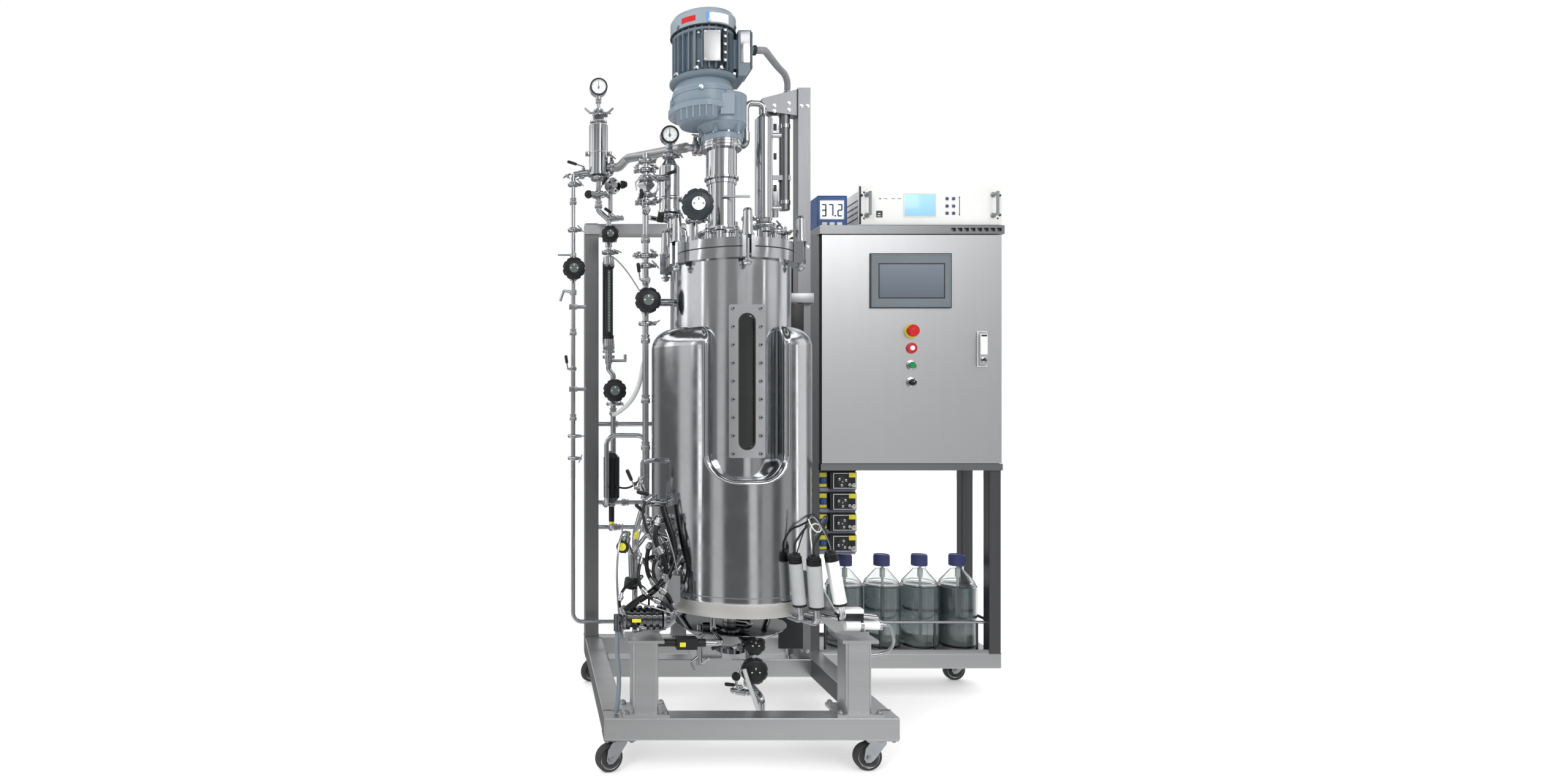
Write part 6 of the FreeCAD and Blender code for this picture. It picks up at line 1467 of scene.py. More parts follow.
def frame_shape(shape, low, high, border, front_y, deep, ease=0.6):
    """A rectangular frame of four bars, seen from the front."""
    (x0, z0), (x1, z1) = low, high
    for a, b in (((x0, z0), (x1, z0 + border)), ((x0, z1 - border), (x1, z1)),
                 ((x0, z0 + border), (x0 + border, z1 - border)), ((x1 - border, z0 + border), (x1, z1 - border))):
        bar_shape(shape, at(a[0], front_y, a[1]), at(b[0], front_y + deep, b[1]), ease)


build("touch_screen", "lit_screen",
      (bar_shape, at(sx0 + 3, front + 0.1, sz0 + 3), at(sx1 - 3, front + 0.8, sz1 - 3), 0),
      slot="panel_grey", body="door")
build("screen_border", "dark_plastic",
      (frame_shape, (sx0, sz0), (sx1, sz1), 4, front - 0.1, 1.0, 0.2),
      slot="panel_grey", body="door")
build("bezel_step", "panel_grey",
      (frame_shape, (panel_low.x + 5, panel_low.z + 5), (panel_high.x - 5, panel_high.z - 5), 2.4, front - 0.5, 1.0,
       0.4),
      body="door")
build("bezel_rim", "dark_plastic",
      (frame_shape, (panel_low.x - 0.2, panel_low.z - 0.2), (panel_high.x + 0.2, panel_high.z + 0.2), 2.6,
       front - 0.3, 1.2, 0.3),
      slot="panel_grey", body="door")
signs = bmesh.new()
for k in range(3):
    turn_shape(signs, [(0, 0), (1.6, 0), (1.4, 0.5), (0, 0.6)],
               at(panel_high.x - 11, front - 0.1, panel_low.z + 60 + k * 12), "-y", 16)
piece_from("panel_lamps", signs, "green_plastic", body="door")
build("panel_gasket", "black_rubber",
      (frame_shape, (panel_low.x - 0.8, panel_low.z - 0.8), (panel_high.x + 0.8, panel_high.z + 0.8), 5, 614.4, 1.6,
       0.3),
      body="door")

# %% Rings and marks of the buttons
BUTTON_X, BUTTON_TOP, BUTTON_STEP, DOOR_FACE, CAP_FACE = 1283, 1233, 57.5, 616, 607.6
chrome = bmesh.new()
for k in range(4):
    z = BUTTON_TOP - BUTTON_STEP * k
    outline = [(11.4, 0), (17.6, 0), (17.6, 1.4), (15.4, 2.2)]
    for thread in range(3):
        outline += [(14.4, 2.2 + thread * 0.5), (14.0, 2.4 + thread * 0.5)]
    rise = 1.0 if k else 0.2
    outline += [(14.2, 3.4 + 1.6 * rise - 0.9 * (not k)), (11.4, 3.6 + 2.2 * rise - 0.9 * (not k))]
    if k != 1:
        turn_shape(chrome, outline + [outline[0]], at(BUTTON_X, DOOR_FACE, z), "-y", 40)
build("stop_button_collar", "red_plastic",
      (turn_shape, [(11.4, 0), (18.2, 0), (18.2, 3.6), (17, 5.2), (13.6, 5.8), (11.4, 5.8), (11.4, 0)],
       at(BUTTON_X, DOOR_FACE, BUTTON_TOP - BUTTON_STEP), "-y", 48),
      body="door")
piece_from("button_rings", chrome, "polished_stainless", body="door", angle=25)
build("emergency_disc", "yellow_plastic",
      (turn_shape, [(15.6, 0), (24, 0), (24, 0.8), (15.6, 0.8), (15.6, 0)], at(BUTTON_X, DOOR_FACE, BUTTON_TOP), "-y",
       48),
      slot="red_plastic", body="door")
build("emergency_dome", "red_plastic",
      (turn_shape, [(0, -6), (17.4, -6), (19.6, -3), (19.4, 0), (16, 3.2), (8, 5.0), (0, 5.4)],
       at(BUTTON_X, 599, BUTTON_TOP), "-y", 48),
      body="emergency_stop")
twist = bmesh.new()
for turn in (0, 120, 240):
    spoke = Vector((math.cos(math.radians(turn)), 0, math.sin(math.radians(turn))))
    side = Vector((-spoke.z, 0, spoke.x))
    tip, tail = at(BUTTON_X, 594.4, BUTTON_TOP) + spoke * 11 * MM, at(BUTTON_X, 594.4, BUTTON_TOP) + spoke * 5 * MM
    corners = [tail + side * 0.8 * MM, tail - side * 0.8 * MM, tip - side * 2.2 * MM, tip + side * 2.2 * MM]
    low = [twist.verts.new(c + Vector((0, 2.4 * MM, 0))) for c in corners]
    high = [twist.verts.new(c - Vector((0, 0.1 * MM, 0))) for c in corners]
    twist.faces.new(low)
    twist.faces.new(high)
    for i in range(4):
        twist.faces.new((low[i], low[(i + 1) % 4], high[(i + 1) % 4], high[i]))
piece_from("emergency_marks", twist, "white_plastic", body="emergency_stop")
for name, k, ring_finish, cap_finish, slot in (("stop_button", 1, "red_plastic", "white_plastic", "red_plastic"),
                                               ("start_button", 2, "green_plastic", "green_plastic",
                                                "green_plastic")):
    z = BUTTON_TOP - BUTTON_STEP * k
    build(name + "_ring", ring_finish,
          (turn_shape, [(8.4, -2), (10.9, -2), (10.9, 0.6), (9.6, 1.2), (8.4, 0.8), (8.4, -2)],
           at(BUTTON_X, CAP_FACE, z), "-y", 36),
          slot=slot, body=name)
    build(name + "_face", cap_finish,
          (turn_shape, [(0, -1), (8.3, -1), (8.3, 0), (7.6, 0.6), (0, 0.35)], at(BUTTON_X, CAP_FACE - 0.2, z), "-y",
           36),
          slot=slot, body=name)
build("key_switch_knob", "black_plastic",
      (turn_shape, [(10.8, 0), (10.8, 1.4), (9.6, 2.0)], at(BUTTON_X, CAP_FACE - 0.2, 1060.5), "-y", 36),
      (bar_shape, at(1274.4, 594.4, 1057), at(1291.6, 606, 1064), 1.2),
      body="key_switch")
build("key_switch_mark", "white_plastic",
      (bar_shape, at(1282.2, 594.2, 1061), at(1283.8, 595.2, 1064.4), 0.1),
      slot="black_plastic", body="key_switch")
print("four controls dressed")

# %% The swing handle
build("lock_rim", "white_paint",
      (frame_shape, (1501.6, 1112.5), (1534.4, 1231.5), 2.6, 610.4, 2.2, 0.8),
      slot="bright_zinc", body="door")
build("lock_grip", "white_paint",
      (bar_shape, at(1506, 597.6, 1152), at(1530, 602, 1222), 3.4),
      slot="bright_zinc", body="door_handle")
build("lock_hub", "polished_stainless",
      (turn_shape, [(11, 0), (11.6, 0.8), (11.6, 2.4), (10.4, 3.4)], at(1518, 601, 1136), "-y", 40),
      slot="bright_zinc", body="door_handle")
# The keyhole is a dark bar: painted shade in the hole. A second dark bar lies across the grip's top.
build("lock_keyhole", "dark_plastic",
      (bar_shape, at(1513.4, 597.0, 1131.4), at(1522.6, 598.4, 1140.6), 0.4),
      (bar_shape, at(1508.5, 597.1, 1213), at(1527.5, 598.0, 1219), 0.4),
      slot="bright_zinc", body="door_handle")
print("swing handle from 1118 to 1226 mm")

# %% [markdown]
# ## Inside the cabinet
# With the door open one sees the mounting plate: wiring runs in slotted ducts, whose fingers are one small bar
# repeated along the duct by a node tree. Terminals and breakers clip side by side on rails. The blocks of the
# construction carry the large units.

# %% A node tree that repeats one bar along a line
BAR_ROW = new_tree("row_of_bars", "Points", "Bars", {
    "Count": 10, "Step": (0.01, 0, 0), "Size": (0.005, 0.02, 0.03)})


def build_row_tree(tree):
    given = add(tree, "NodeGroupInput")
    copies = add(tree, "GeometryNodeDuplicateElements", {
        "Geometry": given.outputs["Points"], "Amount": given.outputs["Count"]}, domain="POINT")
    away = add(tree, "ShaderNodeVectorMath", {
        0: given.outputs["Step"], "Scale": copies.outputs["Duplicate Index"]}, operation="SCALE")
    line = add(tree, "GeometryNodeSetPosition", {
        "Geometry": copies.outputs["Geometry"], "Offset": away.outputs[0]})
    bar = add(tree, "GeometryNodeMeshCube", {"Size": given.outputs["Size"]})
    close_tree(tree, given, line.outputs[0], bar.outputs["Mesh"])


build_row_tree(BAR_ROW[0])


def rows(name, starts, count, step, size, finish):
    """Rows of equal bars: where each row starts, how many bars, the step and a bar's size, in millimetres."""
    return grown(name, [(at(*start), (0, 0, 1)) for start in starts], BAR_ROW, {
        "Count": count, "Step": Vector(step) * MM, "Size": Vector(size) * MM}, finish)


rows("duct_fingers", [(1036, y, z) for y in (782, 826) for z in (1060, 1240, 1340)], 60, (8.2, 0, 0), (5, 1.4, 44),
     "ivory_plastic")
covers = bmesh.new()
for z in (1038, 1218, 1318):
    bar_shape(covers, at(1028, 780, z), at(1530, 828, z + 3), 0.4)
for z in (1083, 1263, 1363):
    bar_shape(covers, at(1026, 779, z), at(1532, 829, z + 3), 0.8)
piece_from("duct_covers", covers, "ivory_plastic")
rows("rail_breakers", [(1380, 792, 1460)], 7, (19, 0, 0), (17.4, 62, 82), "ivory_plastic")
rows("breaker_levers", [(1380, 757, 1464)], 7, (19, 0, 0), (9, 10, 15), "dark_plastic")
rows("rail_terminals", [(1100, 806, 1139)], 26, (6.4, 0, 0), (5.4, 38, 48), "cast_aluminium")
rows("rail_terminals_blue", [(1290, 806, 1139)], 12, (6.4, 0, 0), (5.4, 38, 48), "dark_blue_plastic")
print("cabinet interior filled")

# %% [markdown]
# ## The gas analyser's front
# A 19 inch front has two fixing slots at each side, a display, six keys, a status line, a service socket and a row
# of lamps. All of it lies within a couple of millimetres of the sheet, so the pieces are thin bars with eased edges.

# %% Display, keys, socket and screws of the analyser
FACE = 630.0
FINISH["blue_display"] = glowing("backlit_display", "#9cc6df", "#8ab8d6", at(0, 0, 1622).z, at(0, 0, 1696).z, 0.3,
                                 1.6)
FINISH["pale_display"] = glowing("pale_display", "#eef3f4", "#e3eaec", at(0, 0, 1622).z, at(0, 0, 1688).z, 0.55, 1.2)
build("analyser_display", "blue_display",
      (bar_shape, at(1265, FACE - 1.0, 1622), at(1370, FACE + 0.5, 1696), 0.6),
      slot="white_paint")
build("analyser_display_edge", "ivory_plastic",
      (frame_shape, (1262, 1619), (1373, 1699), 3.2, FACE - 1.8, 2.2, 0.8),
      slot="white_paint")
keys = bmesh.new()
for x in (1409, 1431):
    for z in (1681, 1656, 1632):
        bar_shape(keys, at(x - 5, FACE - 2.6, z - 5), at(x + 5, FACE + 0.5, z + 5), 1.4)
piece_from("analyser_keys", keys, "dark_blue_plastic")
line = bmesh.new()
bar_shape(line, at(1450, FACE - 0.7, 1628), at(1452.4, FACE + 0.3, 1685), 0.3)
for z in (1627, 1686):
    turn_shape(line, [(0, 0), (2.6, 0), (2.2, 0.8), (0, 0.9)], at(1451.2, FACE, z), "-y", 20)
piece_from("analyser_status_line", line, "blue_paint")
build("analyser_socket", "dark_plastic",
      (bar_shape, at(1170, FACE - 1.8, 1618), at(1191, FACE + 0.5, 1640), 1.2))
build("analyser_socket_tongue", "bright_zinc",
      (bar_shape, at(1175, FACE - 2.4, 1628), at(1186, FACE - 1.2, 1632), 0.3),
      (bar_shape, at(1173, FACE - 2.1, 1621), at(1188, FACE - 1.4, 1624), 0.3))
dashes = bmesh.new()
for x0, x1 in ((1196, 1208), (1222, 1234), (1242, 1254)):
    bar_shape(dashes, at(x0, FACE - 0.4, 1680), at(x1, FACE + 0.2, 1682), 0.1)
piece_from("analyser_dashes", dashes, "panel_grey")
build("analyser_lamp", "green_plastic",
      (turn_shape, [(0, 0), (2.6, 0), (2.6, 0.8), (1.4, 1.8), (0, 2.0)], at(1183, FACE, 1681), "-y", 20))
slots = bmesh.new()
for x in (1120, 1587):
    for z in (1626, 1692):
        turn_shape(slots, [(4.4, 0), (4.4, 2.2), (3.2, 3.0)], at(x, FACE, z), "-y", 24)
piece_from("analyser_rack_screws", slots, "dark_plastic")
feet_marks = bmesh.new()
for x in (1138, 1564.6):
    for z in (1624, 1694):
        turn_shape(feet_marks, [(9, 0), (9, 2), (7, 3.4)], at(x, FACE, z), "-y", 28)
piece_from("analyser_handle_feet", feet_marks, "brushed_x")
# The vents are dark bars laid on the sheet: painted shade in the openings.
rows("analyser_side_vents", [(1131.6, 700, z) for z in (1630, 1650, 1670, 1690)], 9, (0, 14, 0), (0.8, 9, 5),
     "dark_plastic")
rows("analyser_top_vents", [(1320, 745, 1721.1)], 22, (8, 0, 0), (3, 60, 0.5), "dark_plastic")
rows("analyser_back_vents", [(1320, 846.1, z) for z in (1630, 1650, 1670, 1690)], 22, (8, 0, 0), (4, 0.6, 10),
     "dark_plastic")

# %% The blue display unit
build("display_window", "pale_display",
      (bar_shape, at(998, 681.4, 1624), at(1078, 682.4, 1686), 0),
      slot="blue_paint")
build("display_edge", "ivory_plastic",
      (frame_shape, (996, 1622), (1080, 1688), 2.4, 679.4, 2.6, 0.5),
      slot="blue_paint")
SEGMENTS = {"3": "abcdg", "7": "abc", "2": "abdeg"}
bars = {"a": (-5, 13, 5, 17), "b": (3, 0, 7, 15), "c": (3, -15, 7, 0), "d": (-5, -17, 5, -13), "e": (-7, -15, -3, 0),
        "f": (-7, 0, -3, 15), "g": (-5, -2, 5, 2)}
digits = bmesh.new()
for place, digit in ((1011, "3"), (1035, "7"), (1066, "2")):
    for segment in SEGMENTS[digit]:
        x0, z0, x1, z1 = bars[segment]
        bar_shape(digits, at(place + x0 * 1.3, 680.9, 1654 + z0 * 1.3), at(place + x1 * 1.3, 681.5, 1654 + z1 * 1.3),
                  0.2)
bar_shape(digits, at(1047, 680.9, 1632), at(1053, 681.5, 1638), 0.2)
piece_from("display_digits", digits, "dark_blue_plastic")
# The tall black bar at the front's left edge is painted shade in the gap beside the body; the small black squares sit
# at the handle feet.
build("analyser_side_shade_and_feet", "black_plastic",
      (bar_shape, at(1112.2, 628.8, 1595), at(1118.4, 630.4, 1723), 0.3),
      (bar_shape, at(1126, 628.8, 1612), at(1131, 630.4, 1617), 0.3),
      (bar_shape, at(1126, 628.8, 1700), at(1131, 630.4, 1705), 0.3),
      (bar_shape, at(1578, 628.8, 1612), at(1583, 630.4, 1617), 0.3),
      (bar_shape, at(1578, 628.8, 1700), at(1583, 630.4, 1705), 0.3),
      slot="white_paint")
buttons = bmesh.new()
for x in (1012, 1038, 1064):
    bar_shape(buttons, at(x - 9, 677.4, 1600), at(x + 9, 680.5, 1612), 1.6)
piece_from("display_buttons", buttons, "white_plastic")
build("display_hood", "blue_paint", (frame_shape, (987, 1590), (1089, 1703), 2.2, 678.9, 2.0, 0.8))
print("both instruments dressed")

# %% [markdown]
# ## Peristaltic pumps
# Each pump has a control strip with a round knob at the left and a head at the right: a rotor with rollers behind
# a clear cover, a clip above and two tube stubs. The same pump repeats four times, so one loop builds all four
# from their top edges.

# %% Four pumps
PUMP_TOP, PUMP_STEP = 760, 71
pump = {name: bmesh.new() for name in ("yellow", "knob", "cover", "rotor", "steel", "grey", "tube", "dark")}
for k in range(4):
    top = PUMP_TOP - PUMP_STEP * k
    bar_shape(pump["yellow"], at(982.5, 648.6, top - 21), at(1009, 650.4, top - 6), 0.5)
    bar_shape(pump["yellow"], at(982.5, 648.6, top - 54), at(1009, 650.4, top - 44), 0.5)
    bar_shape(pump["dark"], at(982.5, 648.8, top - 44), at(1009, 650.3, top - 21), 0.4)
    turn_shape(pump["knob"], [(10.5, 0), (10.5, 5), (9, 8), (4, 9)], at(996, 649.4, top - 32.5), "-y", 32)
    bar_shape(pump["knob"], at(994.4, 638.6, top - 41), at(997.6, 641.6, top - 25), 0.8)
    bar_shape(pump["grey"], at(981, 648.4, top - 70.5), at(1107, 651, top - 57), 0.8)
    frame_shape(pump["cover"], (1026, top - 59), (1104, top - 6), 2.6, 633.8, 4.0, 1.0)
    bar_shape(pump["yellow"], at(1079, 632.6, top - 21), at(1104, 636.4, top - 5), 1.0)
    turn_shape(pump["rotor"], [(19, 0), (19, 3), (8, 4.4)], at(1056, 636.4, top - 35), "-y", 36)
    for spoke in range(3):
        angle = math.radians(120 * spoke + 20 + 17 * k)
        turn_shape(pump["steel"], [(4.6, 0), (4.6, 5.4), (3.6, 6.2)],
                   at(1056 + 13 * math.cos(angle), 635.6, top - 35 + 13 * math.sin(angle)), "-y", 20)
    turn_shape(pump["steel"], [(0, 0), (3, 0), (3, 6.4), (0, 6.8)], at(1056, 635.6, top - 35), "-y", 16)
    for x in (1082, 1096):
        turn_shape(pump["tube"], [(4.2, 0), (5.2, 2), (5.2, 7), (3.4, 8), (3.4, 13)], at(x, 640, top - 46), "-y", 20)
FINISH["violet_grey"] = moulded("moulded_violet_grey", "#7c8299", 0.4)
for name, finish, slot in (("yellow", "yellow_plastic", "black_plastic"), ("knob", "blue_paint", "blue_paint"),
                           ("cover", "clear_hose", "white_plastic"), ("rotor", "dark_plastic", "black_plastic"),
                           ("steel", "bright_zinc", "bright_zinc"), ("grey", "violet_grey", "blue_grey_plastic"),
                           ("tube", "ivory_plastic", "white_plastic"),
                           ("dark", "dark_blue_plastic", "dark_blue_plastic")):
    piece_from("pump_" + name, pump[name], finish)
for k in range(4):
    top = PUMP_TOP - PUMP_STEP * k
    wire(f"pump_tube_{k}", [
        (1082, 628, top - 46), (1082, 616, top - 47), (1090, 612, top - 52 - 3 * k), (1096, 616, top - 47),
        (1096, 628, top - 46)], 2.6, "clear_hose")
print("four pumps,", PUMP_STEP, "mm apart")

# %% [markdown]
# ## Feed bottles
# The bottles are clear and filled to the shoulder with medium, a little darker than water. Their caps are moulded
# with fine grip ribs: one rib grows on 36 points round each cap. A pale dip tube goes down from each cap.

# %% Cap ribs, medium and dip tubes
# The medium is light up to 205 mm from the floor and darker from 262 mm up to the shoulder: painted light and shade
# on a liquid of one colour.
FINISH["medium"] = glowing("culture_medium", "#6c777b", "#a3abac", at(0, 0, 205).z, at(0, 0, 262).z, 0.0)
shader = FINISH["medium"].node_tree.nodes["Principled BSDF"]
shader.inputs["Transmission Weight"].default_value = 0.6
shader.inputs["IOR"].default_value = 1.34
BOTTLE_X, BOTTLE_STEP, BOTTLE_Y, SHELF_TOP = 1100, 132, 738, 148
ribs, skirts, medium, dips = [], bmesh.new(), bmesh.new(), bmesh.new()
for k in range(4):
    x, y, z = BOTTLE_X + BOTTLE_STEP * k, BOTTLE_Y, SHELF_TOP
    for rib in range(36):
        angle = math.radians(10 * rib)
        ribs.append((at(x + 26 * math.cos(angle), y + 26 * math.sin(angle), z + 280), (0, 0, 1)))
    turn_shape(skirts, [(24, 275), (26.9, 275), (27.2, 276), (27.2, 279), (26.2, 280), (24, 280), (24, 275)],
               at(x, y, z), "z", 48)
    turn_shape(medium, [(56.6, 3.4), (61.1, 7.5), (61.1, 198), (60.2, 203), (58, 203.6)], at(x, y, z), "z", 56)
    turn_shape(dips, [(4, 12), (4.4, 20), (4.4, 299)], at(x + 2, y - 2, z), "z", 16)
    turn_shape(dips, [(4.6, 232), (9, 234), (9, 262), (7.5, 266), (4.6, 266), (4.6, 232)], at(x + 2, y - 2, z), "z",
               20)
rows("cap_ribs", [tuple(layout(place) + Vector((0, 0, 14))) for place, aim in ribs], 1, (0, 0, 1), (1.9, 1.9, 30),
     "dark_blue_plastic")
piece_from("cap_skirts", skirts, "dark_blue_plastic")
piece_from("feed_medium", medium, "medium")
piece_from("dip_tubes", dips, "white_plastic")
print(len(ribs), "ribs on four caps")

# %% Level switch and probe leads
build("level_switch_housing", "white_plastic", (bar_shape, at(822, 22, 424), at(893, 54, 437), 4.0))
build("level_switch_body", "dark_steel", (bar_shape, at(823, 23, 405), at(893, 53, 424), 3.0), slot="black_plastic")
pins = bmesh.new()
for y, z in ((28, 416), (40, 419), (50, 413)):
    rod_shape(pins, (891, y, z), (932, y, z - 4), 5.4)
turn_shape(pins, [(15, 0), (17.5, 2), (17.5, 9), (15, 11)], at(884, 38, 391), "x", 32)
turn_shape(pins, [(0, 0), (11, 0), (14, 2), (14, 8), (0, 10)], at(936, 38, 391), "x", 32)
piece_from("level_switch_pins", pins, "polished_stainless")
for name, finish, points in (
        ("probe_loop_a", "bright_zinc", [(806, 22, 578), (804, 24, 606), (790, 32, 640), (776, 38, 668),
                                         (758, 44, 688), (748, 44, 664), (756, 40, 622), (762, 32, 566)]),
        ("probe_loop_b", "ivory_plastic",
         [(760, 32, 566), (754, 34, 622), (750, 40, 650), (768, 46, 668), (790, 42, 652), (776, 36, 634),
          (756, 34, 650), (748, 36, 676)]),
        ("probe_loop_c", "dark_steel", [(716, 44, 570), (726, 42, 612), (744, 46, 652), (752, 46, 690),
                                        (770, 40, 690), (780, 36, 664), (802, 26, 630), (808, 22, 580)])):
    wire(name, points, 1.7, finish)
print("level switch and leads done")

# %% [markdown]
# ## Weld beads
# The frames are welded square tube. A welder's bead is a row of small overlapping ripples along each joint, about
# six millimetres wide. The node tree below resamples a joint's line into steps, puts a flattened ball on each
# step and jitters its size a little with a fixed seed.

# %% A node tree for weld beads
WELD = new_tree("weld_beads", "Lines", "Beads", {"Ripple": 0.003, "Radius": 0.003})


def build_weld_tree(tree):
    given = add(tree, "NodeGroupInput")
    curve = add(tree, "GeometryNodeMeshToCurve", {"Mesh": given.outputs["Lines"]})
    steps = add(tree, "GeometryNodeResampleCurve", {"Curve": curve.outputs[0], "Length": given.outputs["Ripple"]},
                mode="LENGTH")
    points = add(tree, "GeometryNodeCurveToPoints", {"Curve": steps.outputs[0]}, mode="EVALUATED")
    ball = add(tree, "GeometryNodeMeshIcoSphere", {"Radius": given.outputs["Radius"], "Subdivisions": 2})
    flat = add(tree, "GeometryNodeTransform", {"Geometry": ball.outputs["Mesh"], "Scale": (1.0, 1.0, 0.55)})
    jitter = add(tree, "FunctionNodeRandomValue", {"Seed": 11}, data_type="FLOAT")
    jitter.inputs["Min"].default_value, jitter.inputs["Max"].default_value = 0.85, 1.1
    close_tree(tree, given, points.outputs[0], flat.outputs[0], smooth=True,
               Rotation=points.outputs["Rotation"], Scale=jitter.outputs["Value"])


build_weld_tree(WELD[0])


def beads(name, lines, radius=2.2, ripple=2.6):
    """Weld beads along straight joints: each line is a pair of layout points."""
    tree, inputs = WELD
    seed = bpy.data.meshes.new(name + "_lines")
    seed.from_pydata([at(*p) for pair in lines for p in pair], [(2 * k, 2 * k + 1) for k in range(len(lines))], [])
    mesh = mesh_of(name + "_lines", seed, tree, {
        inputs["Ripple"]: ripple * MM, inputs["Radius"]: radius * MM, inputs["Finish"]: FINISH["weld_steel"]})
    print(name, len(lines), "joints,", len(mesh.polygons), "faces")
    return piece_of(name, mesh, "weld_steel")


def square(x0, x1, y0, y1, z):
    return [((x0, y0, z), (x1, y0, z)), ((x1, y0, z), (x1, y1, z)), ((x1, y1, z), (x0, y1, z)),
            ((x0, y1, z), (x0, y0, z))]


FINISH["weld_steel"] = electropolished("weld_bead_steel", "#b5b3ae", 0.3, wave_mm=8, wave_depth=0.05, grain=0.1)
joints = [((256, 60, 154), (256, 60, 96)), ((918, 60, 154), (918, 60, 96)), ((196, 60, 154.5), (256, 60, 154.5)),
          ((918, 60, 154.5), (978, 60, 154.5)), ((256, 532, 154.5), (256, 592, 154.5)),
          ((918, 532, 154.5), (918, 592, 154.5)), ((196, 790, 154.5), (256, 790, 154.5)),
          ((918, 790, 154.5), (978, 790, 154.5)), ((256, 532, 98), (256, 532, 152)),
          ((918, 532, 98), (918, 532, 152)), ((978.4, 626, 143), (978.4, 626, 96)),
          ((1550, 626, 144.4), (1590, 626, 144.4)), ((1550, 666, 144.4), (1590, 666, 144.4))]
joints += square(196, 246, 800, 847.4, 154.6) + square(510, 560, 800, 847.4,
                                                       154.6) + square(938, 978, 626, 666, 154.6)
joints += square(1550, 1587.6, 810, 847.4, 144.6) + square(938, 978, 810, 847.4, 154.6)
joints += [((196, 799.6, 1593), (246, 799.6, 1593)), ((510, 799.6, 1593), (560, 799.6, 1593)),
           ((246, 802, 1592.6), (246, 848, 1592.6)), ((510, 802, 1592.6), (510, 848, 1592.6))]
for x, y in ((308, 50), (876, 50), (592, 562)):
    joints += square(x - 33, x + 33, y - 33, y + 33, 162.6) + square(x - 33, x + 33, y - 33, y + 33, 349.4)
for x, y in ((308, 50), (876, 50)):
    joints += [((x - 62, y - 47.6, 154.6), (x + 62, y - 47.6, 154.6)), ((x - 62, y - 47, 155), (x - 62, y + 8, 155)),
               ((x + 62, y - 47, 155), (x + 62, y + 8, 155))]
beads("frame_welds", joints)

# %% [markdown]
# ## Casters, feet and frame details
# The casters bolt on with four screws each through their plates. A wheel has a hub cap on each side and a grease
# ring, and the axle ends in a nut at each side. They ride on the fork or the wheel that carries them.

# %% Caster bolts, axle nuts and hub caps
CASTERS = {"front_left": (238, 42, 200), "front_right": (936, 42, 180), "rear_left": (238, 808, 215),
           "rear_right": (1548, 808, 180)}
plate_bolts = []
for name, (x, y, heading) in CASTERS.items():
    turn = math.radians(heading)
    ahead, side = Vector((math.cos(turn), math.sin(turn), 0)), Vector((-math.sin(turn), math.cos(turn), 0))
    axle = at(x, y, 37.5) + ahead * 28 * MM
    fork, wheel = "fork_" + name, "wheel_" + name
    plate_bolts += [(at(x + i * 33, y + j * 27, 90), (0, 0, -1)) for i in (-1, 1) for j in (-1, 1)]
    screws(f"axle_nuts_{name}", [(axle + side * 17.4 * MM, tuple(side)), (axle - side * 17.4 * MM, tuple(-side))], 13,
           6, body=fork, stud=4)
    hubs = bmesh.new()
    for way in (side, -side):
        turn_shape(hubs, [(6, 11.6), (11, 11.6), (12.6, 12.6), (12.6, 13.6), (6, 13.7), (6, 11.6)], axle, tuple(way),
                   32)
        turn_shape(hubs, [(25.4, 8.2), (26.6, 8.2), (27.4, 11.6), (28.6, 12.2), (28.6, 8.0), (25.4, 8.2)], axle,
                   tuple(way), 48)
    piece_from(f"wheel_rings_{name}", hubs, "bright_zinc", body=wheel, angle=30)
    build(f"swivel_race_{name}", "bright_zinc",
          (turn_shape, [(8, 0), (22, 0), (24.5, 2.0), (24.5, 4.6), (21, 6.4), (8, 6.4), (8, 0)], at(x, y, 82.8), "z",
           48),
          body=fork, angle=30)
    build(f"tread_band_{name}", "grey_tread",
          (turn_shape, [(36.6, -5.4), (37.6, -4.6), (37.6, 4.6), (36.6, 5.4), (36.6, -5.4)], axle, tuple(side), 72),
          body=wheel, angle=30)
screws("caster_bolts", plate_bolts, 10, 5)
print("four casters dressed")

# %% Leg foot screws, shelf lip, frame plugs and the lantern's rod
foot_spots = []
for x, y in ((308, 50), (876, 50), (592, 562)):
    foot_spots += [(at(x + i * 52, y + j * 40, 162),
                    (0, 0, 1)) for i in (-1, 1) for j in (-1, 1) if not (y == 562 and abs(j * 40) > 28)]
screws("foot_screws", foot_spots, 13, 8, stud=4)
build("shelf_lips", "brushed_x",
      (bar_shape, at(980, 627, 147.5), at(1549, 629.5, 158), 0.6),
      (bar_shape, at(980, 846.5, 147.5), at(1549, 849, 158), 0.6),
      slot="brushed_stainless")
plugs = bmesh.new()
for x, y in ((221, 825), (535, 825)):
    bar_shape(plugs, at(x - 22, y - 22, 1632.6), at(x + 22, y + 22, 1635), 1.0)
bar_shape(plugs, at(940, 812, 1586), at(976, 848, 1588.8), 1.0)
piece_from("frame_plugs", plugs, "black_plastic")
lantern = bmesh.new()
rod_shape(lantern, (560, 228, 1590), (640, 228, 1590), 3.4)
turn_shape(lantern, [(41.5, -6), (44, -5), (44, 5), (41.5, 6), (39, 6), (39, -6), (41.5, -6)],
           at(*LANTERN_AXIS, 1640), "z", 48)
for z in (1506, 1734):
    turn_shape(lantern, [(40.2, -4), (43.5, -3), (43.5, 3), (40.2, 4), (38.5, 4), (38.5, -4), (40.2, -4)],
               at(*LANTERN_AXIS, z), "z", 48)
piece_from("lantern_rings", lantern, "polished_stainless")
mast_screws = [(at(x, 532, z), (0, -1, 0)) for x in (886, 906) for z in (180, 900, 1200, 1500, 1960)]
screws("mast_screws", mast_screws, 8, 4)
arm_screws = [(at(x, 540, z), (0, -1, 0)) for x, z in ((848, 1972), (800, 1964), (848, 1950), (800, 1946))]
screws("arm_screws", arm_screws, 8, 4)
hoops = bmesh.new()
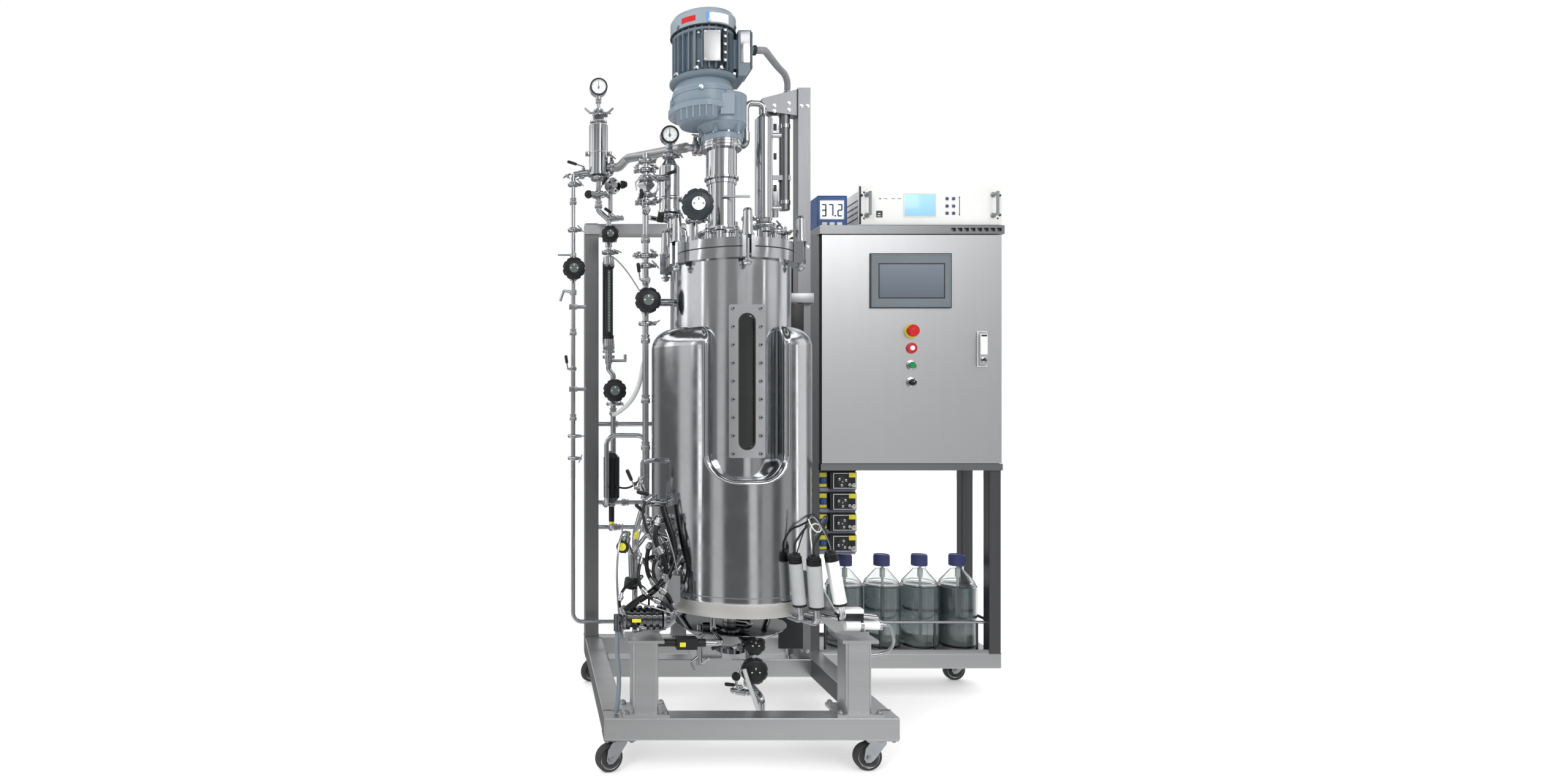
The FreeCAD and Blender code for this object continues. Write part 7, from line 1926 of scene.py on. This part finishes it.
for z in (1650, 1900):
    turn_shape(hoops, [(17.2, -7), (19, -6), (19, 6), (17.2, 7), (16, 7), (16, -7), (17.2, -7)], at(839, 560, z), "z",
               40)
piece_from("hanger_bands", hoops, "polished_stainless")
print("feet, plugs and mast dressed")

# %% The cabinet's outside: back panel screws, cable duct and vents, and pieces round the mast and the vessel
back_screws = [(at(x, 844.8, z), (0, 1, 0)) for x in (1000, 1284, 1568) for z in (784, 1172, 1540)]
screws("cabinet_back_screws", back_screws, 10, 5)
side_screws = [(at(1588.6, y, z), (1, 0, 0)) for y in (660, 830) for z in (790, 1540)]
screws("cabinet_side_screws", side_screws, 8, 4)
build("cabinet_back_panel", "brushed_z",
      (bar_shape, at(990, 846, 776), at(1578, 849.6, 1548), 0.6))
# The vents are dark bars laid on the panel: painted shade in the openings.
rows("cabinet_back_vents", [(1180, 849.4, z) for z in (1440, 1456, 1472, 1488)], 12, (18, 0, 0), (12, 1.0, 5),
     "dark_plastic")
rows("cabinet_low_vents", [(1180, 849.4, z) for z in (830, 846, 862)], 12, (18, 0, 0), (12, 1.0, 5), "dark_plastic")
# The side sheet takes the darker steel: painted shade.
build("cabinet_side_sheet", "shaded_frame_steel",
      (bar_shape, at(976.4, 639, 768), at(978.2, 847, 1586), 0.4),
      slot="brushed_stainless")
build("mast_cable_duct", "black_plastic", (bar_shape, at(846, 512, 1150), at(888, 531.5, 1311), 1.5))
build("mast_bracket", "brushed_x",
      (bar_shape, at(846, 508, 1315), at(920, 531.5, 1346), 1.5),
      slot="brushed_stainless")
strap, slots = bmesh.new(), bmesh.new()
bar_shape(strap, at(793, 548, 1600), at(816, 552, 1934), 1.0)
# The strap's slots are black bars on it: painted shade in the holes.
for z in (1696, 1800, 1896):
    bar_shape(slots, at(799, 547.2, z - 11), at(810, 549, z + 11), 0.4)
piece_from("condenser_strap", strap, "polished_stainless")
piece_from("condenser_strap_slots", slots, "black_plastic")
gusset = bmesh.new()
outline = [(349, 422), (387, 519), (409, 517), (409, 449), (396, 436)]
faces = [[gusset.verts.new(at(x, y, z)) for x, z in outline] for y in (66, 70)]
gusset.faces.new(faces[0])
gusset.faces.new(faces[1])
for k in range(len(outline)):
    gusset.faces.new((faces[0][k], faces[0][k - 1], faces[1][k - 1], faces[1][k]))
piece_from("leg_gusset", gusset, "brushed_z")
build("valve_screen_plate", "dark_plastic",
      (bar_shape, at(752, 326, 246), at(826, 330, 352), 1.0))
wire("drain_hose", ((606, 158, 236), (612, 150, 206), (630, 142, 160), (646, 134, 108)), 6, "clear_hose")
wire("riser_hose", ((372, 132, 700), (380, 122, 660), (398, 112, 620), (402, 100, 560), (372, 70, 508),
                    (322, 44, 470), (276, 30, 452), (250, 36, 424)), 9, "gloss_rubber")
wire("drain_hook", ((596, 170, 236), (584, 160, 214), (580, 156, 190), (590, 152, 176), (600, 152, 190)), 4,
     "polished_stainless")
print("cabinet's outside dressed")
